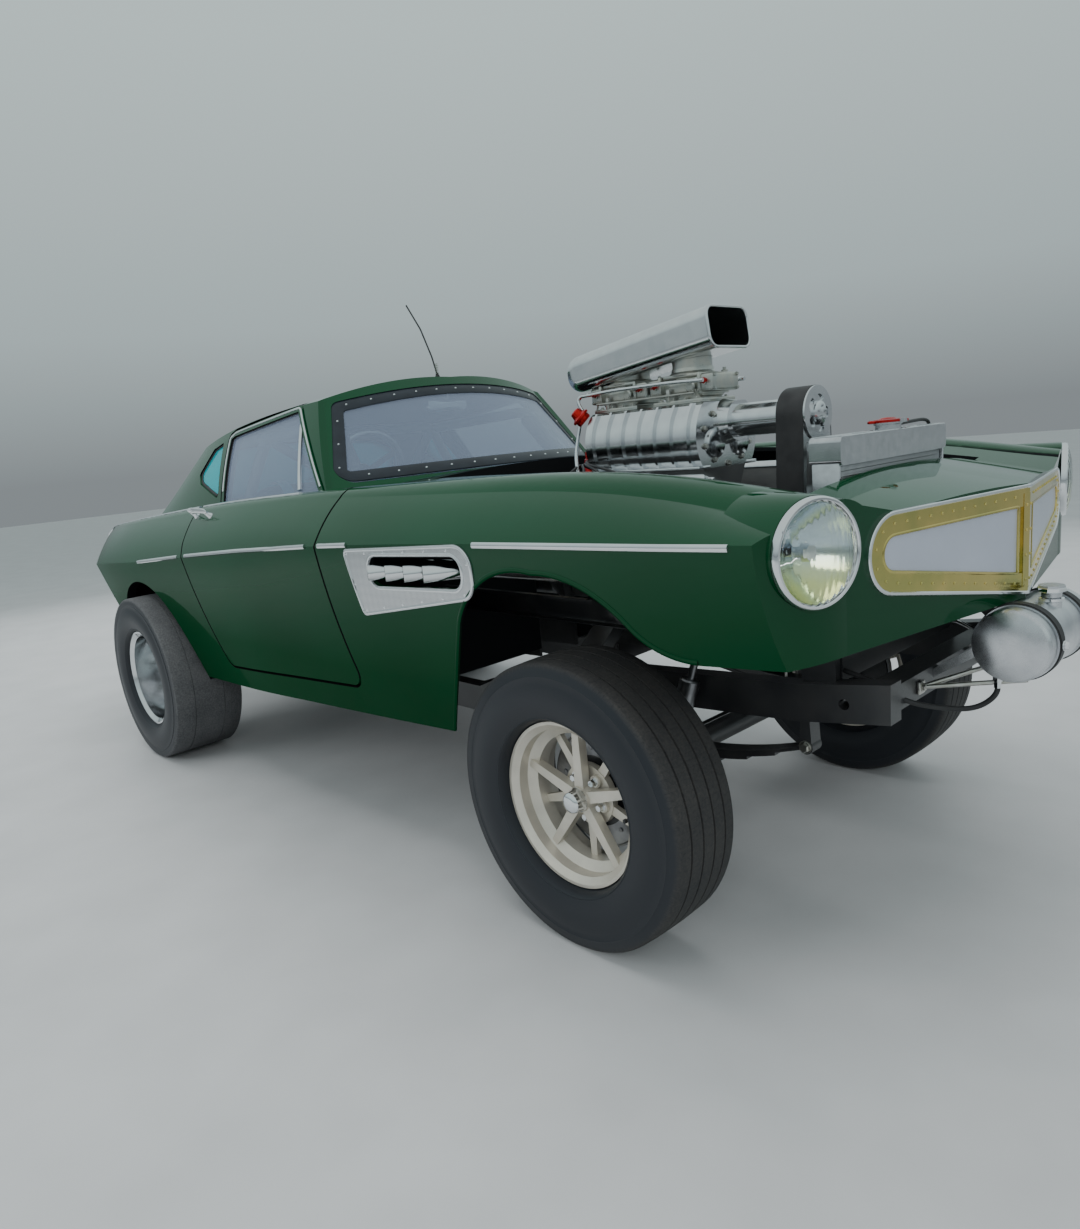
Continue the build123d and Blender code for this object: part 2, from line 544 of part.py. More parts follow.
write(mirrored(rear_quarter_left.part, "rear_quarter_right"), "rear_quarter_right")

# Tail panel: from the edge of the boot lid down, between the tail lamps
with BuildPart() as tail_half:
    add(skin_shell.part)
    add(slab(-2400, -1700, 0, BODY_WIDE, 200, LID_FOOT_Z - LID_GAP), mode=Mode.INTERSECT)
    with BuildSketch():
        with BuildLine():
            Polyline(*QUARTER_PLAN, close=True)
        make_face()
    extrude(amount=1500, mode=Mode.SUBTRACT)
with BuildPart() as tail_panel:
    add(tail_half.part)
    mirror(about=Plane.XZ)
write(tail_panel.part, "tail_panel")

# Boot lid
with BuildPart() as lid_half:
    add(skin_shell.part)
    with BuildSketch():
        with BuildLine():
            Polyline((LID_FRONT_X, 0), (LID_FRONT_X, LID_FRONT_Y), (LID_REAR_X, LID_REAR_Y),
                     (LID_REAR_X, 0), close=True)
        make_face()
    extrude(amount=1500, mode=Mode.INTERSECT)
    add(slab(-2400, -1600, -10, BODY_WIDE, 0, LID_FOOT_Z), mode=Mode.SUBTRACT)
with BuildPart() as lid_neck:
    with BuildSketch(Plane.XZ.offset(-LID_HINGE_Y - LID_NECK_T / 2)):
        with BuildLine():
            FilletPolyline(*[(LID_AXIS_X + x, LID_AXIS_Z + z) for x, z in LID_NECK], radius=14)
        trace(line_width=LID_NECK_T)
        with Locations((LID_AXIS_X, LID_AXIS_Z)):
            Circle(8)
            Circle(HINGE_PIN_R + RUNNING, mode=Mode.SUBTRACT)
    extrude(amount=LID_NECK_T)
with BuildPart() as lid_cheeks:
    near = LID_NECK_T / 2 + 1
    for start, depth in ((near, 5), (-near - 5, 5), (-near, 2 * near)):
        with BuildSketch(Plane.XZ.offset(-LID_HINGE_Y - start)):
            with Locations((LID_AXIS_X, LID_AXIS_Z)):
                Circle(8 if depth == 5 else HINGE_PIN_R)
                if depth == 5:
                    with Locations((0, 14)):
                        Rectangle(16, 28)
        extrude(amount=-depth)
    add(outer_form, mode=Mode.INTERSECT)
with BuildPart() as boot_lid:
    add(lid_half.part)
    add(lid_neck.part)
    mirror(about=Plane.XZ)
write(boot_lid.part, "boot_lid")

# Roof with its pillars and the deck below the rear window
screen_block = end_block(SCREEN_OPENING, SCREEN_CORNER_R, -40.0, 760.0)
rear_block = end_block(REAR_OPENING, REAR_CORNER_R, -1800.0, -1000.0)
with BuildPart() as roof_shell_half:
    add(roof_form)
    add(roof_inner_form, mode=Mode.SUBTRACT)
    add(outer_form, mode=Mode.SUBTRACT)
    add(frame_opening, mode=Mode.SUBTRACT)
    add(quarter_block, mode=Mode.SUBTRACT)
    add(screen_block, mode=Mode.SUBTRACT)
    add(rear_block, mode=Mode.SUBTRACT)
with BuildPart() as deck_half:
    add(skin_shell.part)
    add(slab(LID_FRONT_X + LID_GAP, REAR_DECK_X, 0, QUARTER_Y, 800, 1400), mode=Mode.INTERSECT)
    with BuildSketch():
        with BuildLine():
            Polyline(*QUARTER_PLAN, close=True)
        make_face()
    extrude(amount=1500, mode=Mode.SUBTRACT)
    add(roof_inner_form, mode=Mode.SUBTRACT)
with BuildPart() as roof:
    add(roof_shell_half.part)
    add(deck_half.part)
    add(lid_cheeks.part)
    mirror(about=Plane.XZ)
write(roof.part, "roof")

# Glass: curved panes sunk below the outer face and cut to their openings
glass_outer, glass_inner = roof_half(GLASS_SINK), roof_half(GLASS_SINK + GLASS_T)
with BuildPart() as glass_shell:
    add(glass_outer)
    add(glass_inner, mode=Mode.SUBTRACT)
    add(outer_form, mode=Mode.SUBTRACT)
for name, opening, radius, ends in (
    ("windscreen", SCREEN_OPENING, SCREEN_CORNER_R, (-40.0, 760.0)),
    ("rear_window", REAR_OPENING, REAR_CORNER_R, (-1800.0, -1000.0)),
):
    with BuildPart() as pane_half:
        add(glass_shell.part)
        add(end_block(opening, radius, *ends, grow=-SEAT), mode=Mode.INTERSECT)
    with BuildPart() as pane:
        add(pane_half.part)
        mirror(about=Plane.XZ)
    write(pane.part, name)
with BuildPart() as quarter_glass:
    add(glass_shell.part)
    add(side_block(QUARTER_WINDOW, 12.0, grow=-SEAT), mode=Mode.INTERSECT)
write(quarter_glass.part, "quarter_glass_left")
write(mirrored(quarter_glass.part, "quarter_glass_right"), "quarter_glass_right")
with BuildPart() as door_glass:
    add(glass_shell.part)
    add(side_block(DOOR_FRAME, DOOR_FRAME_R, grow=-FRAME_W - SEAT), mode=Mode.INTERSECT)
write(door_glass.part, "door_glass_left")
write(mirrored(door_glass.part, "door_glass_right"), "door_glass_right")

# Floor: pan, toe board, seat-back kick and the rise over the rear axle, with a tub over each tyre
with BuildPart() as floor_half:
    for outline, width in ((FLOOR_FRONT, FLOOR_Y), (FLOOR_REAR, TUB_Y + FLOOR_T)):
        with BuildSketch(Plane.XZ):
            with BuildLine():
                lower = [(x, z - FLOOR_T) for x, z in outline]
                Polyline(*outline, *lower[::-1], close=True)
            make_face()
        extrude(amount=-width)
    for bore, start, depth in ((0, TUB_Y, FLOOR_T), (ARCH_R + 2, TUB_Y, QUARTER_INNER_Y - TUB_Y)):
        with BuildSketch(Plane.XZ.offset(-start)):
            with Locations((ARCH_X, ARCH_Z)):
                Circle(ARCH_R + 2 + FLOOR_T)
                if bore:
                    Circle(bore, mode=Mode.SUBTRACT)
            with Locations((ARCH_X, ARCH_Z + TUB_FOOT - 500)):
                Rectangle(1200, 1000, mode=Mode.SUBTRACT)
        extrude(amount=-depth)
    with BuildSketch(Plane.XZ):
        with BuildLine():
            Polyline(*TUNNEL, close=True)
        make_face()
    extrude(amount=-TUNNEL_Y)
    with BuildSketch(Plane.XZ):
        with BuildLine():
            x, z = TUNNEL[-2]
            front = TUNNEL[0][0] + 1
            upper = [(front, TUNNEL_TOP_Z - FLOOR_T), *[(x0, z0 - FLOOR_T) for x0, z0 in TUNNEL[1:-2]]]
            Polyline(*upper, (x - 60, z - FLOOR_T), (x - 60, 380), (front, 380), close=True)
        make_face()
    extrude(amount=-TUNNEL_Y + FLOOR_T, mode=Mode.SUBTRACT)
with BuildPart() as floor:
    add(floor_half.part)
    mirror(about=Plane.XZ)
write(floor.part, "floor")

# Grille: two flat halves that meet in a V, an edge frame and the mesh panel set in it
with BuildPart() as grille_half:
    for shape, hole, depth in ((0, -GRILLE_FRAME_W, 4.0), (-GRILLE_FRAME_W + 10 - SEAT, None, -5.0)):
        with BuildSketch(NOSE_PLANE.offset(SEAT)):
            add(grille_outline(shape))
            if hole is not None:
                add(grille_outline(hole), mode=Mode.SUBTRACT)
        extrude(amount=depth)
    with BuildSketch(NOSE_PLANE.offset(SEAT)):
        with Locations((0, (GRILLE_TOP_Z + GRILLE_FOOT_Z) / 2)):
            Rectangle(GRILLE_BAR_W, GRILLE_TOP_Z - GRILLE_FOOT_Z - 30)
    extrude(amount=5.0)
    add(slab(1700, 2300, -100, 0, 0, 1400), mode=Mode.SUBTRACT)
with BuildPart() as grille:
    add(grille_half.part)
    mirror(about=Plane.XZ)
write(grille.part, "grille")

# Headlights: bowl, rim and domed lens, set in the end of each wing
with BuildPart() as headlight:
    with BuildSketch(Plane(LAMP_PLANE.origin, x_dir=LAMP_PLANE.x_dir, z_dir=Vector(0, 0, -1))):
        with BuildLine():
            rim = LAMP_R
            Polyline((0, 26), (0, -LAMP_DEPTH), (rim * 0.45, -LAMP_DEPTH), (rim, -46), (rim, 8))
            ThreePointArc((rim, 8), (rim - 4, 13), (rim - 10, 12))
            ThreePointArc((rim - 10, 12), (rim * 0.5, 22.5), (8, 26))
            Line((8, 26), (0, 26))
        make_face()
    revolve(axis=Axis(LAMP_PLANE.origin, LAMP_PLANE.z_dir))
write(headlight.part, "headlight_left")
write(mirrored(headlight.part, "headlight_right"), "headlight_right")

# Tail lamps: two lenses in a bright rim on each rear corner
with BuildPart() as tail_lamp:
    with BuildSketch(TAIL_LAMP_PLANE.offset(-24)):
        SlotOverall(TAIL_LAMP_W, TAIL_LAMP_H)
    extrude(amount=32)
    with BuildSketch(TAIL_LAMP_PLANE.offset(8)):
        with Locations((-TAIL_LAMP_W * 0.25 + 4, 0), (TAIL_LAMP_W * 0.25 - 4, 0)):
            RectangleRounded(TAIL_LAMP_W / 2 - 14, TAIL_LAMP_H - 12, 26)
    extrude(amount=34, taper=18)
    add(outer_form, mode=Mode.SUBTRACT)
write(tail_lamp.part, "tail_lamp_left")
write(mirrored(tail_lamp.part, "tail_lamp_right"), "tail_lamp_right")

# Fuel tank: a spun drum across the nose on two straps and brackets, with a filler
with BuildPart() as fuel_tank:
    with BuildSketch(Plane.XY.offset(TANK_Z)):
        with BuildLine():
            end, r = TANK_LEN / 2, TANK_R
            Polyline((TANK_X + 10, -end - 8), (TANK_X, -end - 8), (TANK_X, end + 8), (TANK_X + 10, end + 8))
            ThreePointArc((TANK_X + 10, end + 8), (TANK_X + r * 0.6, end + 5), (TANK_X + r - 5, end - 3))
            ThreePointArc((TANK_X + r - 5, end - 3), (TANK_X + r - 1.5, end - 7), (TANK_X + r, end - 12))
            Line((TANK_X + r, end - 12), (TANK_X + r, -end + 12))
            ThreePointArc((TANK_X + r, -end + 12), (TANK_X + r - 1.5, -end + 7), (TANK_X + r - 5, -end + 3))
            ThreePointArc((TANK_X + r - 5, -end + 3), (TANK_X + r * 0.6, -end - 5), (TANK_X + 10, -end - 8))
        make_face()
    revolve(axis=Axis((TANK_X, 0, TANK_Z), (0, 1, 0)))
    for y in (-TANK_STRAP_Y, TANK_STRAP_Y):
        with BuildSketch(Plane.XZ.offset(-y)):
            with Locations((TANK_X, TANK_Z)):
                Circle(TANK_R + 3)
            with BuildLine():
                Polyline((FRONT_MEMBER_X, 592), (FRONT_MEMBER_X, 612), (TANK_X - 40, TANK_Z + 12),
                         (TANK_X - 40, TANK_Z - 14), close=True)
            make_face()
        extrude(amount=TANK_STRAP_W / 2, both=True)
    with BuildSketch(Plane.XY.offset(TANK_Z)):
        with Locations((FILLER_X, 0)):
            Circle(20)
    extrude(amount=TANK_R + 18)
    with BuildSketch(Plane.XY.offset(TANK_Z + TANK_R + 18)):
        with Locations((FILLER_X, 0)):
            RegularPolygon(27, 8)
    extrude(amount=12)
write(fuel_tank.part, "fuel_tank")

# Radiator: core between two tanks, filler neck and cap
with BuildPart() as radiator:
    with BuildSketch(Plane.YZ.offset(RADIATOR_X)):
        with Locations((0, (RADIATOR_FOOT_Z + RADIATOR_TOP_Z) / 2)):
            Rectangle(RADIATOR_W, RADIATOR_TOP_Z - RADIATOR_FOOT_Z - 2 * RADIATOR_TANK_H)
    extrude(amount=RADIATOR_T / 2 - 6, both=True)
    for z in (RADIATOR_FOOT_Z, RADIATOR_TOP_Z - RADIATOR_TANK_H):
        with BuildSketch(Plane.YZ.offset(RADIATOR_X)):
            with Locations((0, z + RADIATOR_TANK_H / 2)):
                RectangleRounded(RADIATOR_W + 16, RADIATOR_TANK_H, 12)
        extrude(amount=RADIATOR_T / 2 + 8, both=True)
    with BuildSketch(Plane.XY.offset(RADIATOR_TOP_Z)):
        with Locations((RADIATOR_X, RADIATOR_CAP_Y)):
            Circle(22)
    extrude(amount=16)
    with BuildSketch(Plane.XY.offset(RADIATOR_TOP_Z + 16)):
        with Locations((RADIATOR_X, RADIATOR_CAP_Y)):
            Circle(33)
            with PolarLocations(33, 2):
                RectangleRounded(26, 16, 5)
    extrude(amount=9)
write(radiator.part, "radiator")

# Engine: plain block with the two banks of a V8 and their covers, the sump, and the gearbox behind
with BuildPart() as engine:
    with BuildSketch(Plane.YZ.offset(ENGINE_REAR_X)):
        with BuildLine():
            Polyline((-150, CRANK_Z - 60), (150, CRANK_Z - 60), (165, CRANK_Z + 20),
                     (105, CRANK_Z + 150), (105, ENGINE_DECK_Z), (-105, ENGINE_DECK_Z),
                     (-105, CRANK_Z + 150), (-165, CRANK_Z + 20), close=True)
        make_face()
    extrude(amount=ENGINE_LEN)
    for side in (-1, 1):
        with BuildSketch(Plane.YZ.offset(ENGINE_REAR_X + 15)):
            with Locations(Location((side * BANK_Y, BANK_Z), -side * 45)):
                Rectangle(BANK_W, BANK_H)
        extrude(amount=ENGINE_LEN - 30)
        with BuildSketch(Plane.YZ.offset(ENGINE_REAR_X + 35)):
            with Locations(Location((side * COVER_Y, COVER_Z), -side * 45)):
                RectangleRounded(BANK_W - 40, COVER_H, 14)
        extrude(amount=ENGINE_LEN - 70)
    with BuildSketch(Plane.YZ.offset(ENGINE_REAR_X + 60)):
        with Locations((0, CRANK_Z - 60 - SUMP_H / 2)):
            Rectangle(210, SUMP_H + 2)
    extrude(amount=ENGINE_LEN - 140)
    with BuildSketch(Plane.YZ.offset(ENGINE_REAR_X + ENGINE_LEN)):
        with Locations((0, CRANK_Z)):
            Circle(30)
    extrude(amount=PULLEY_X - BELT_W / 2 - ENGINE_REAR_X - ENGINE_LEN)
write(engine.part, "engine")

# Gearbox and the propeller shaft that slopes down to the rear axle's nose
with BuildPart() as gearbox:
    with BuildSketch(Plane.YZ.offset(ENGINE_REAR_X - SEAT)):
        with Locations((0, CRANK_Z)):
            Circle(BELL_R)
    with BuildSketch(Plane.YZ.offset(ENGINE_REAR_X - BELL_LEN)):
        with Locations((0, CRANK_Z)):
            Circle(95)
    loft()
    with BuildSketch(Plane.YZ.offset(ENGINE_REAR_X - BELL_LEN)):
        with Locations((0, CRANK_Z)):
            RectangleRounded(156, 168, 30)
    extrude(amount=-GEARBOX_LEN)
    tail = Vector(ENGINE_REAR_X - BELL_LEN - GEARBOX_LEN + 10, 0, CRANK_Z)
    with BuildSketch(Plane(origin=tail, z_dir=SHAFT_END - tail)):
        Circle(SHAFT_R)
    extrude(amount=(SHAFT_END - tail).length)
write(gearbox.part, "gearbox")

# Blower: ribbed case on its manifold, drive snout, two toothed pulleys and the wide belt
with BuildPart() as blower:
    with BuildSketch(Plane.XY.offset(ENGINE_DECK_Z + SEAT)):
        with Locations((BLOWER_X, 0)):
            Rectangle(BLOWER_LEN - 60, 180)
    with BuildSketch(Plane.XY.offset(BLOWER_FOOT_Z)):
        with Locations((BLOWER_X, 0)):
            Rectangle(BLOWER_LEN - 20, 200)
    loft()
    with BuildSketch(Plane.YZ.offset(BLOWER_X - BLOWER_LEN / 2)):
        with BuildLine():
            y, low, mid, top = BLOWER_Y, BLOWER_FOOT_Z, BLOWER_FOOT_Z + 74, BLOWER_TOP_Z
            Polyline((-y + 30, low), (y - 30, low))
            ThreePointArc((y - 30, low), (y, mid), (y - 34, top - 6))
            Polyline((y - 34, top - 6), (y - 44, top), (-y + 44, top), (-y + 34, top - 6))
            ThreePointArc((-y + 34, top - 6), (-y, mid), (-y + 30, low))
        make_face()
    extrude(amount=BLOWER_LEN)
    for n in range(BLOWER_RIBS):
        x = BLOWER_X - BLOWER_LEN / 2 + 30 + n * (BLOWER_LEN - 60) / (BLOWER_RIBS - 1)
        with BuildSketch(Plane.YZ.offset(x - 4)):
            with BuildLine():
                Polyline((-y + 22, low), (y - 22, low))
                ThreePointArc((y - 22, low), (y + 8, mid), (y - 28, top))
                Line((y - 28, top), (-y + 28, top))
                ThreePointArc((-y + 28, top), (-y - 8, mid), (-y + 22, low))
            make_face()
        extrude(amount=8)
    with BuildSketch(Plane.YZ.offset(BLOWER_X + BLOWER_LEN / 2)):
        with Locations((0, PULLEY_Z)):
            Circle(62)
    extrude(amount=40, taper=12)
    with BuildSketch(Plane.YZ.offset(BLOWER_X + BLOWER_LEN / 2 + 38)):
        with Locations((0, PULLEY_Z)):
            Circle(44)
    extrude(amount=PULLEY_X - BELT_W / 2 - BLOWER_X - BLOWER_LEN / 2 - 38)
    with BuildSketch(Plane.YZ.offset(PULLEY_X)):
        with Locations((0, PULLEY_Z)):
            Circle(PULLEY_R)
        with Locations((0, CRANK_Z)):
            Circle(CRANK_PULLEY_R)
        with BuildLine():
            lean = (CRANK_PULLEY_R - PULLEY_R) / (PULLEY_Z - CRANK_Z)
            Polyline((PULLEY_R, PULLEY_Z), (CRANK_PULLEY_R, CRANK_Z), (-CRANK_PULLEY_R, CRANK_Z),
                     (-PULLEY_R, PULLEY_Z), close=True)
        make_face()
    extrude(amount=BELT_W / 2, both=True)
    with BuildSketch(Plane.YZ.offset(PULLEY_X)):
        with BuildLine():
            up, down = PULLEY_R - BELT_T, CRANK_PULLEY_R - BELT_T
            top_z, foot_z = PULLEY_Z - PULLEY_R - 4, CRANK_Z + CRANK_PULLEY_R + 4
            Polyline((up - 8, top_z), (down - 8, foot_z), (-down + 8, foot_z), (-up + 8, top_z), close=True)
        make_face()
    extrude(amount=BELT_W, both=True, mode=Mode.SUBTRACT)
    with BuildSketch(Plane.YZ.offset(PULLEY_X + BELT_W / 2)):
        with Locations((0, PULLEY_Z)):
            Circle(PULLEY_R + 3)
            with PolarLocations(PULLEY_R * 0.6, 5):
                SlotOverall(30, 16, rotation=90, mode=Mode.SUBTRACT)
    extrude(amount=5)
write(blower.part, "blower")

# Scoop: a folded shell closed by its narrowing tail
SCOOP_PLANE = Plane(origin=(SCOOP_X, 0, SCOOP_Z), x_dir=(0, 1, 0),
                    z_dir=(cos(radians(SCOOP_TILT)), 0, sin(radians(SCOOP_TILT))))


def scoop_form(grow):
    """The outside of the scoop without its tail, larger all round by a distance."""
    with BuildPart() as form:
        with BuildSketch(SCOOP_PLANE.offset(-SCOOP_LEN + 60)):
            RectangleRounded(SCOOP_W + 2 * grow, SCOOP_H - 4 + 2 * grow, 34)
        with BuildSketch(SCOOP_PLANE):
            RectangleRounded(SCOOP_W + 6 + 2 * grow, SCOOP_H + 2 + 2 * grow, 32)
        loft()
    return form.part


with BuildPart() as scoop:
    add(scoop_form(0))
    with BuildSketch(SCOOP_PLANE.offset(-SCOOP_LEN + 60)):
        RectangleRounded(SCOOP_W, SCOOP_H - 4, 34)
    with BuildSketch(SCOOP_PLANE.offset(-SCOOP_LEN + 18)):
        RectangleRounded(SCOOP_W - 26, SCOOP_H - 30, 34)
    with BuildSketch(SCOOP_PLANE.offset(-SCOOP_LEN)):
        RectangleRounded(SCOOP_W - 90, SCOOP_H - 84, 12)
    loft()
    with BuildSketch(SCOOP_PLANE.offset(-SCOOP_BORE)):
        RectangleRounded(SCOOP_W - 12, SCOOP_H - 16, 28)
    with BuildSketch(SCOOP_PLANE):
        RectangleRounded(SCOOP_W - 8, SCOOP_H - 10, 27)
    loft(mode=Mode.SUBTRACT)
write(scoop.part, "scoop")

# Each carburettor: flange, throttle body, two float bowls, air horn up to the scoop's floor
for name, x in zip(("rear", "front"), CARB_XS):
    horn_top_z = SCOOP_Z + (x - SCOOP_X) * tan(radians(SCOOP_TILT)) - SCOOP_H / 2 + 10
    with BuildPart() as carburettor:
        for z0, z1, length, width, corner in CARB_STEPS:
            with BuildSketch(Plane.XY.offset(BLOWER_TOP_Z + SEAT + z0)):
                with Locations((x, 0)):
                    RectangleRounded(length, width, corner)
            extrude(amount=z1 - z0)
        for end in (-1, 1):
            with BuildSketch(Plane.XY.offset(BLOWER_TOP_Z + 32)):
                with Locations((x + end * 84, 0)):
                    RectangleRounded(46, 120, 14)
            extrude(amount=44)
        with BuildSketch(Plane.XY.offset(BLOWER_TOP_Z + 70)):
            with Locations((x, 0)):
                Circle(56)
        extrude(amount=horn_top_z - BLOWER_TOP_Z - 70)
        add(scoop_form(SEAT), mode=Mode.SUBTRACT)
    write(carburettor.part, f"carburettor_{name}")

# Exhausts: four primaries from each head, out through the slot in the wing, ends cut short
PORT_PLANE = Plane(origin=(ENGINE_REAR_X + 300, BANK_Y + BANK_W / 2 * cos(radians(45)),
                           BANK_Z - BANK_W / 2 * sin(radians(45))),
                   x_dir=(1, 0, 0), z_dir=(0, cos(radians(45)), -sin(radians(45))))
with BuildPart() as exhaust_left:
    with BuildSketch(PORT_PLANE.offset(SEAT)):
        with Locations((0, PORT_RISE)):
            RectangleRounded(500, 60, 20)
    extrude(amount=8)
    for n in range(4):
        port = PORT_PLANE.from_local_coords(Vector(-210 + n * 140, PORT_RISE, 4))
        bend = PORT_PLANE.from_local_coords(Vector(-210 + n * 140, PORT_RISE, 60))
        stub = Vector(EXHAUST_X + n * EXHAUST_PITCH, EXHAUST_Y, EXHAUST_Z + n * 3)
        with BuildLine() as path:
            FilletPolyline(port, bend, stub + (52, -100, 0), stub + (-30, 24, 0), radius=46)
        with BuildSketch(Plane(origin=path.line @ 0, z_dir=path.line % 0)):
            Circle(PRIMARY_R)
        sweep(path=path.line)
write(exhaust_left.part, "exhaust_left")
write(mirrored(exhaust_left.part, "exhaust_right"), "exhaust_right")

# Side plates: thin aluminium over the wing round the exhaust slot
plate_form = body_half(-PLATE_T)
with BuildPart() as exhaust_plate:
    add(plate_form)
    add(side_block(PLATE_OUTLINE, PLATE_RADII, inner_y=500), mode=Mode.INTERSECT)
    add(outer_form, mode=Mode.SUBTRACT)
    add(side_block(EXHAUST_SLOT, EXHAUST_SLOT_R, inner_y=500), mode=Mode.SUBTRACT)
write(exhaust_plate.part, "exhaust_plate_left")
write(mirrored(exhaust_plate.part, "exhaust_plate_right"), "exhaust_plate_right")

# Chassis frame: two side rails that rise over the rear axle, and cross members
with BuildPart() as frame:
    for side in (-1, 1):
        with BuildSketch(Plane.XZ.offset(-side * RAIL_Y)):
            with BuildLine():
                lower = [(x, z - RAIL_H) for x, z in RAIL_TOP]
                Polyline(*RAIL_TOP, *lower[::-1], close=True)
            make_face()
        extrude(amount=RAIL_W / 2, both=True)
    for x, z, size in CROSS_MEMBERS:
        with BuildSketch(Plane.XZ.offset(-RAIL_Y)):
            with Locations((x, z)):
                Rectangle(size, size)
        extrude(amount=2 * RAIL_Y)
    for side in (-1, 1):
        with BuildSketch(Plane.YZ.offset(MOUNT_X)):
            with BuildLine():
                Polyline(*[(side * y, z) for y, z in ENGINE_MOUNT], close=True)
            make_face()
        extrude(amount=MOUNT_W / 2, both=True)
    for side in (-1, 1):
        with BuildSketch(Plane.XZ.offset(-side * RAIL_Y)):
            x, z = TIE_LUG
            with Locations((x, z)):
                Circle(TIE_LUG_R)
            with Locations((x, (z + rail_foot(x)) / 2 + 4)):
                Rectangle(2 * TIE_LUG_R, rail_foot(x) - z + 8)
        extrude(amount=TIE_LUG_T / 2, both=True)
        with BuildSketch(Plane.XY.offset(rail_foot(JACK_PAD_X) - JACK_PAD_T)):
            with Locations((JACK_PAD_X, side * RAIL_Y)):
                RectangleRounded(JACK_PAD_LEN, RAIL_W, 6)
        extrude(amount=JACK_PAD_T + 2)
    for x, z in (TIE_HOLE, TIE_LUG):
        with BuildSketch(Plane.XZ.offset(-BODY_WIDE)):
            with Locations((x, z)):
                Circle(TIE_HOLE_R)
        extrude(amount=2 * BODY_WIDE, mode=Mode.SUBTRACT)
    add(engine.part, mode=Mode.SUBTRACT)
write(frame.part, "frame")

# Front axle: straight tube with king pin eyes, on two leaf springs shackled under the rails
with BuildPart() as front_axle:
    with BuildSketch(Plane.XZ.offset(-KINGPIN_Y)):
        with Locations((FRONT_AXLE_X, FRONT_TYRE_R)):
            Circle(AXLE_TUBE_R)
    extrude(amount=2 * KINGPIN_Y)
    for side in (-1, 1):
        with BuildSketch(Plane.XY.offset(FRONT_TYRE_R - EYE_H / 2)):
            with Locations((FRONT_AXLE_X, side * KINGPIN_Y)):
                Circle(EYE_R)
        extrude(amount=EYE_H)
        for n in range(SPRING_LEAVES):
            half = SPRING_HALF - n * SPRING_STEP
            rise = SPRING_RISE * (half / SPRING_HALF) ** 2
            z = FRONT_TYRE_R + AXLE_TUBE_R - 4 - n * LEAF_T
            with BuildSketch(Plane.XZ.offset(-side * RAIL_Y)):
                with BuildLine():
                    ThreePointArc((FRONT_AXLE_X - half, z + rise), (FRONT_AXLE_X, z),
                                  (FRONT_AXLE_X + half, z + rise))
                    Line((FRONT_AXLE_X + half, z + rise), (FRONT_AXLE_X + half, z + rise + LEAF_T))
                    ThreePointArc((FRONT_AXLE_X + half, z + rise + LEAF_T), (FRONT_AXLE_X, z + LEAF_T),
                                  (FRONT_AXLE_X - half, z + rise + LEAF_T))
                    Line((FRONT_AXLE_X - half, z + rise + LEAF_T), (FRONT_AXLE_X - half, z + rise))
                make_face()
            extrude(amount=LEAF_W / 2, both=True)
        for end in (-1, 1):
            x = FRONT_AXLE_X + end * SPRING_HALF
            z = FRONT_TYRE_R + AXLE_TUBE_R - 4 + SPRING_RISE
            with BuildSketch(Plane.XZ.offset(-side * RAIL_Y)):
                with Locations((x, z + LEAF_T / 2)):
                    Circle(18)
                with BuildLine():
                    top = rail_foot(x) - SEAT
                    Polyline((x - 16, z), (x - 12, top), (x + 12, top), (x + 16, z), close=True)
                make_face()
            extrude(amount=LEAF_W / 2 - 4, both=True)
    for side in (-1, 1):
        with BuildSketch(Plane.XY.offset(FRONT_TYRE_R - EYE_H)):
            with Locations((FRONT_AXLE_X, side * KINGPIN_Y)):
                Circle(KINGPIN_R + RUNNING)
        extrude(amount=2 * EYE_H, mode=Mode.SUBTRACT)
    add(frame.part, mode=Mode.SUBTRACT)
write(front_axle.part, "front_axle")

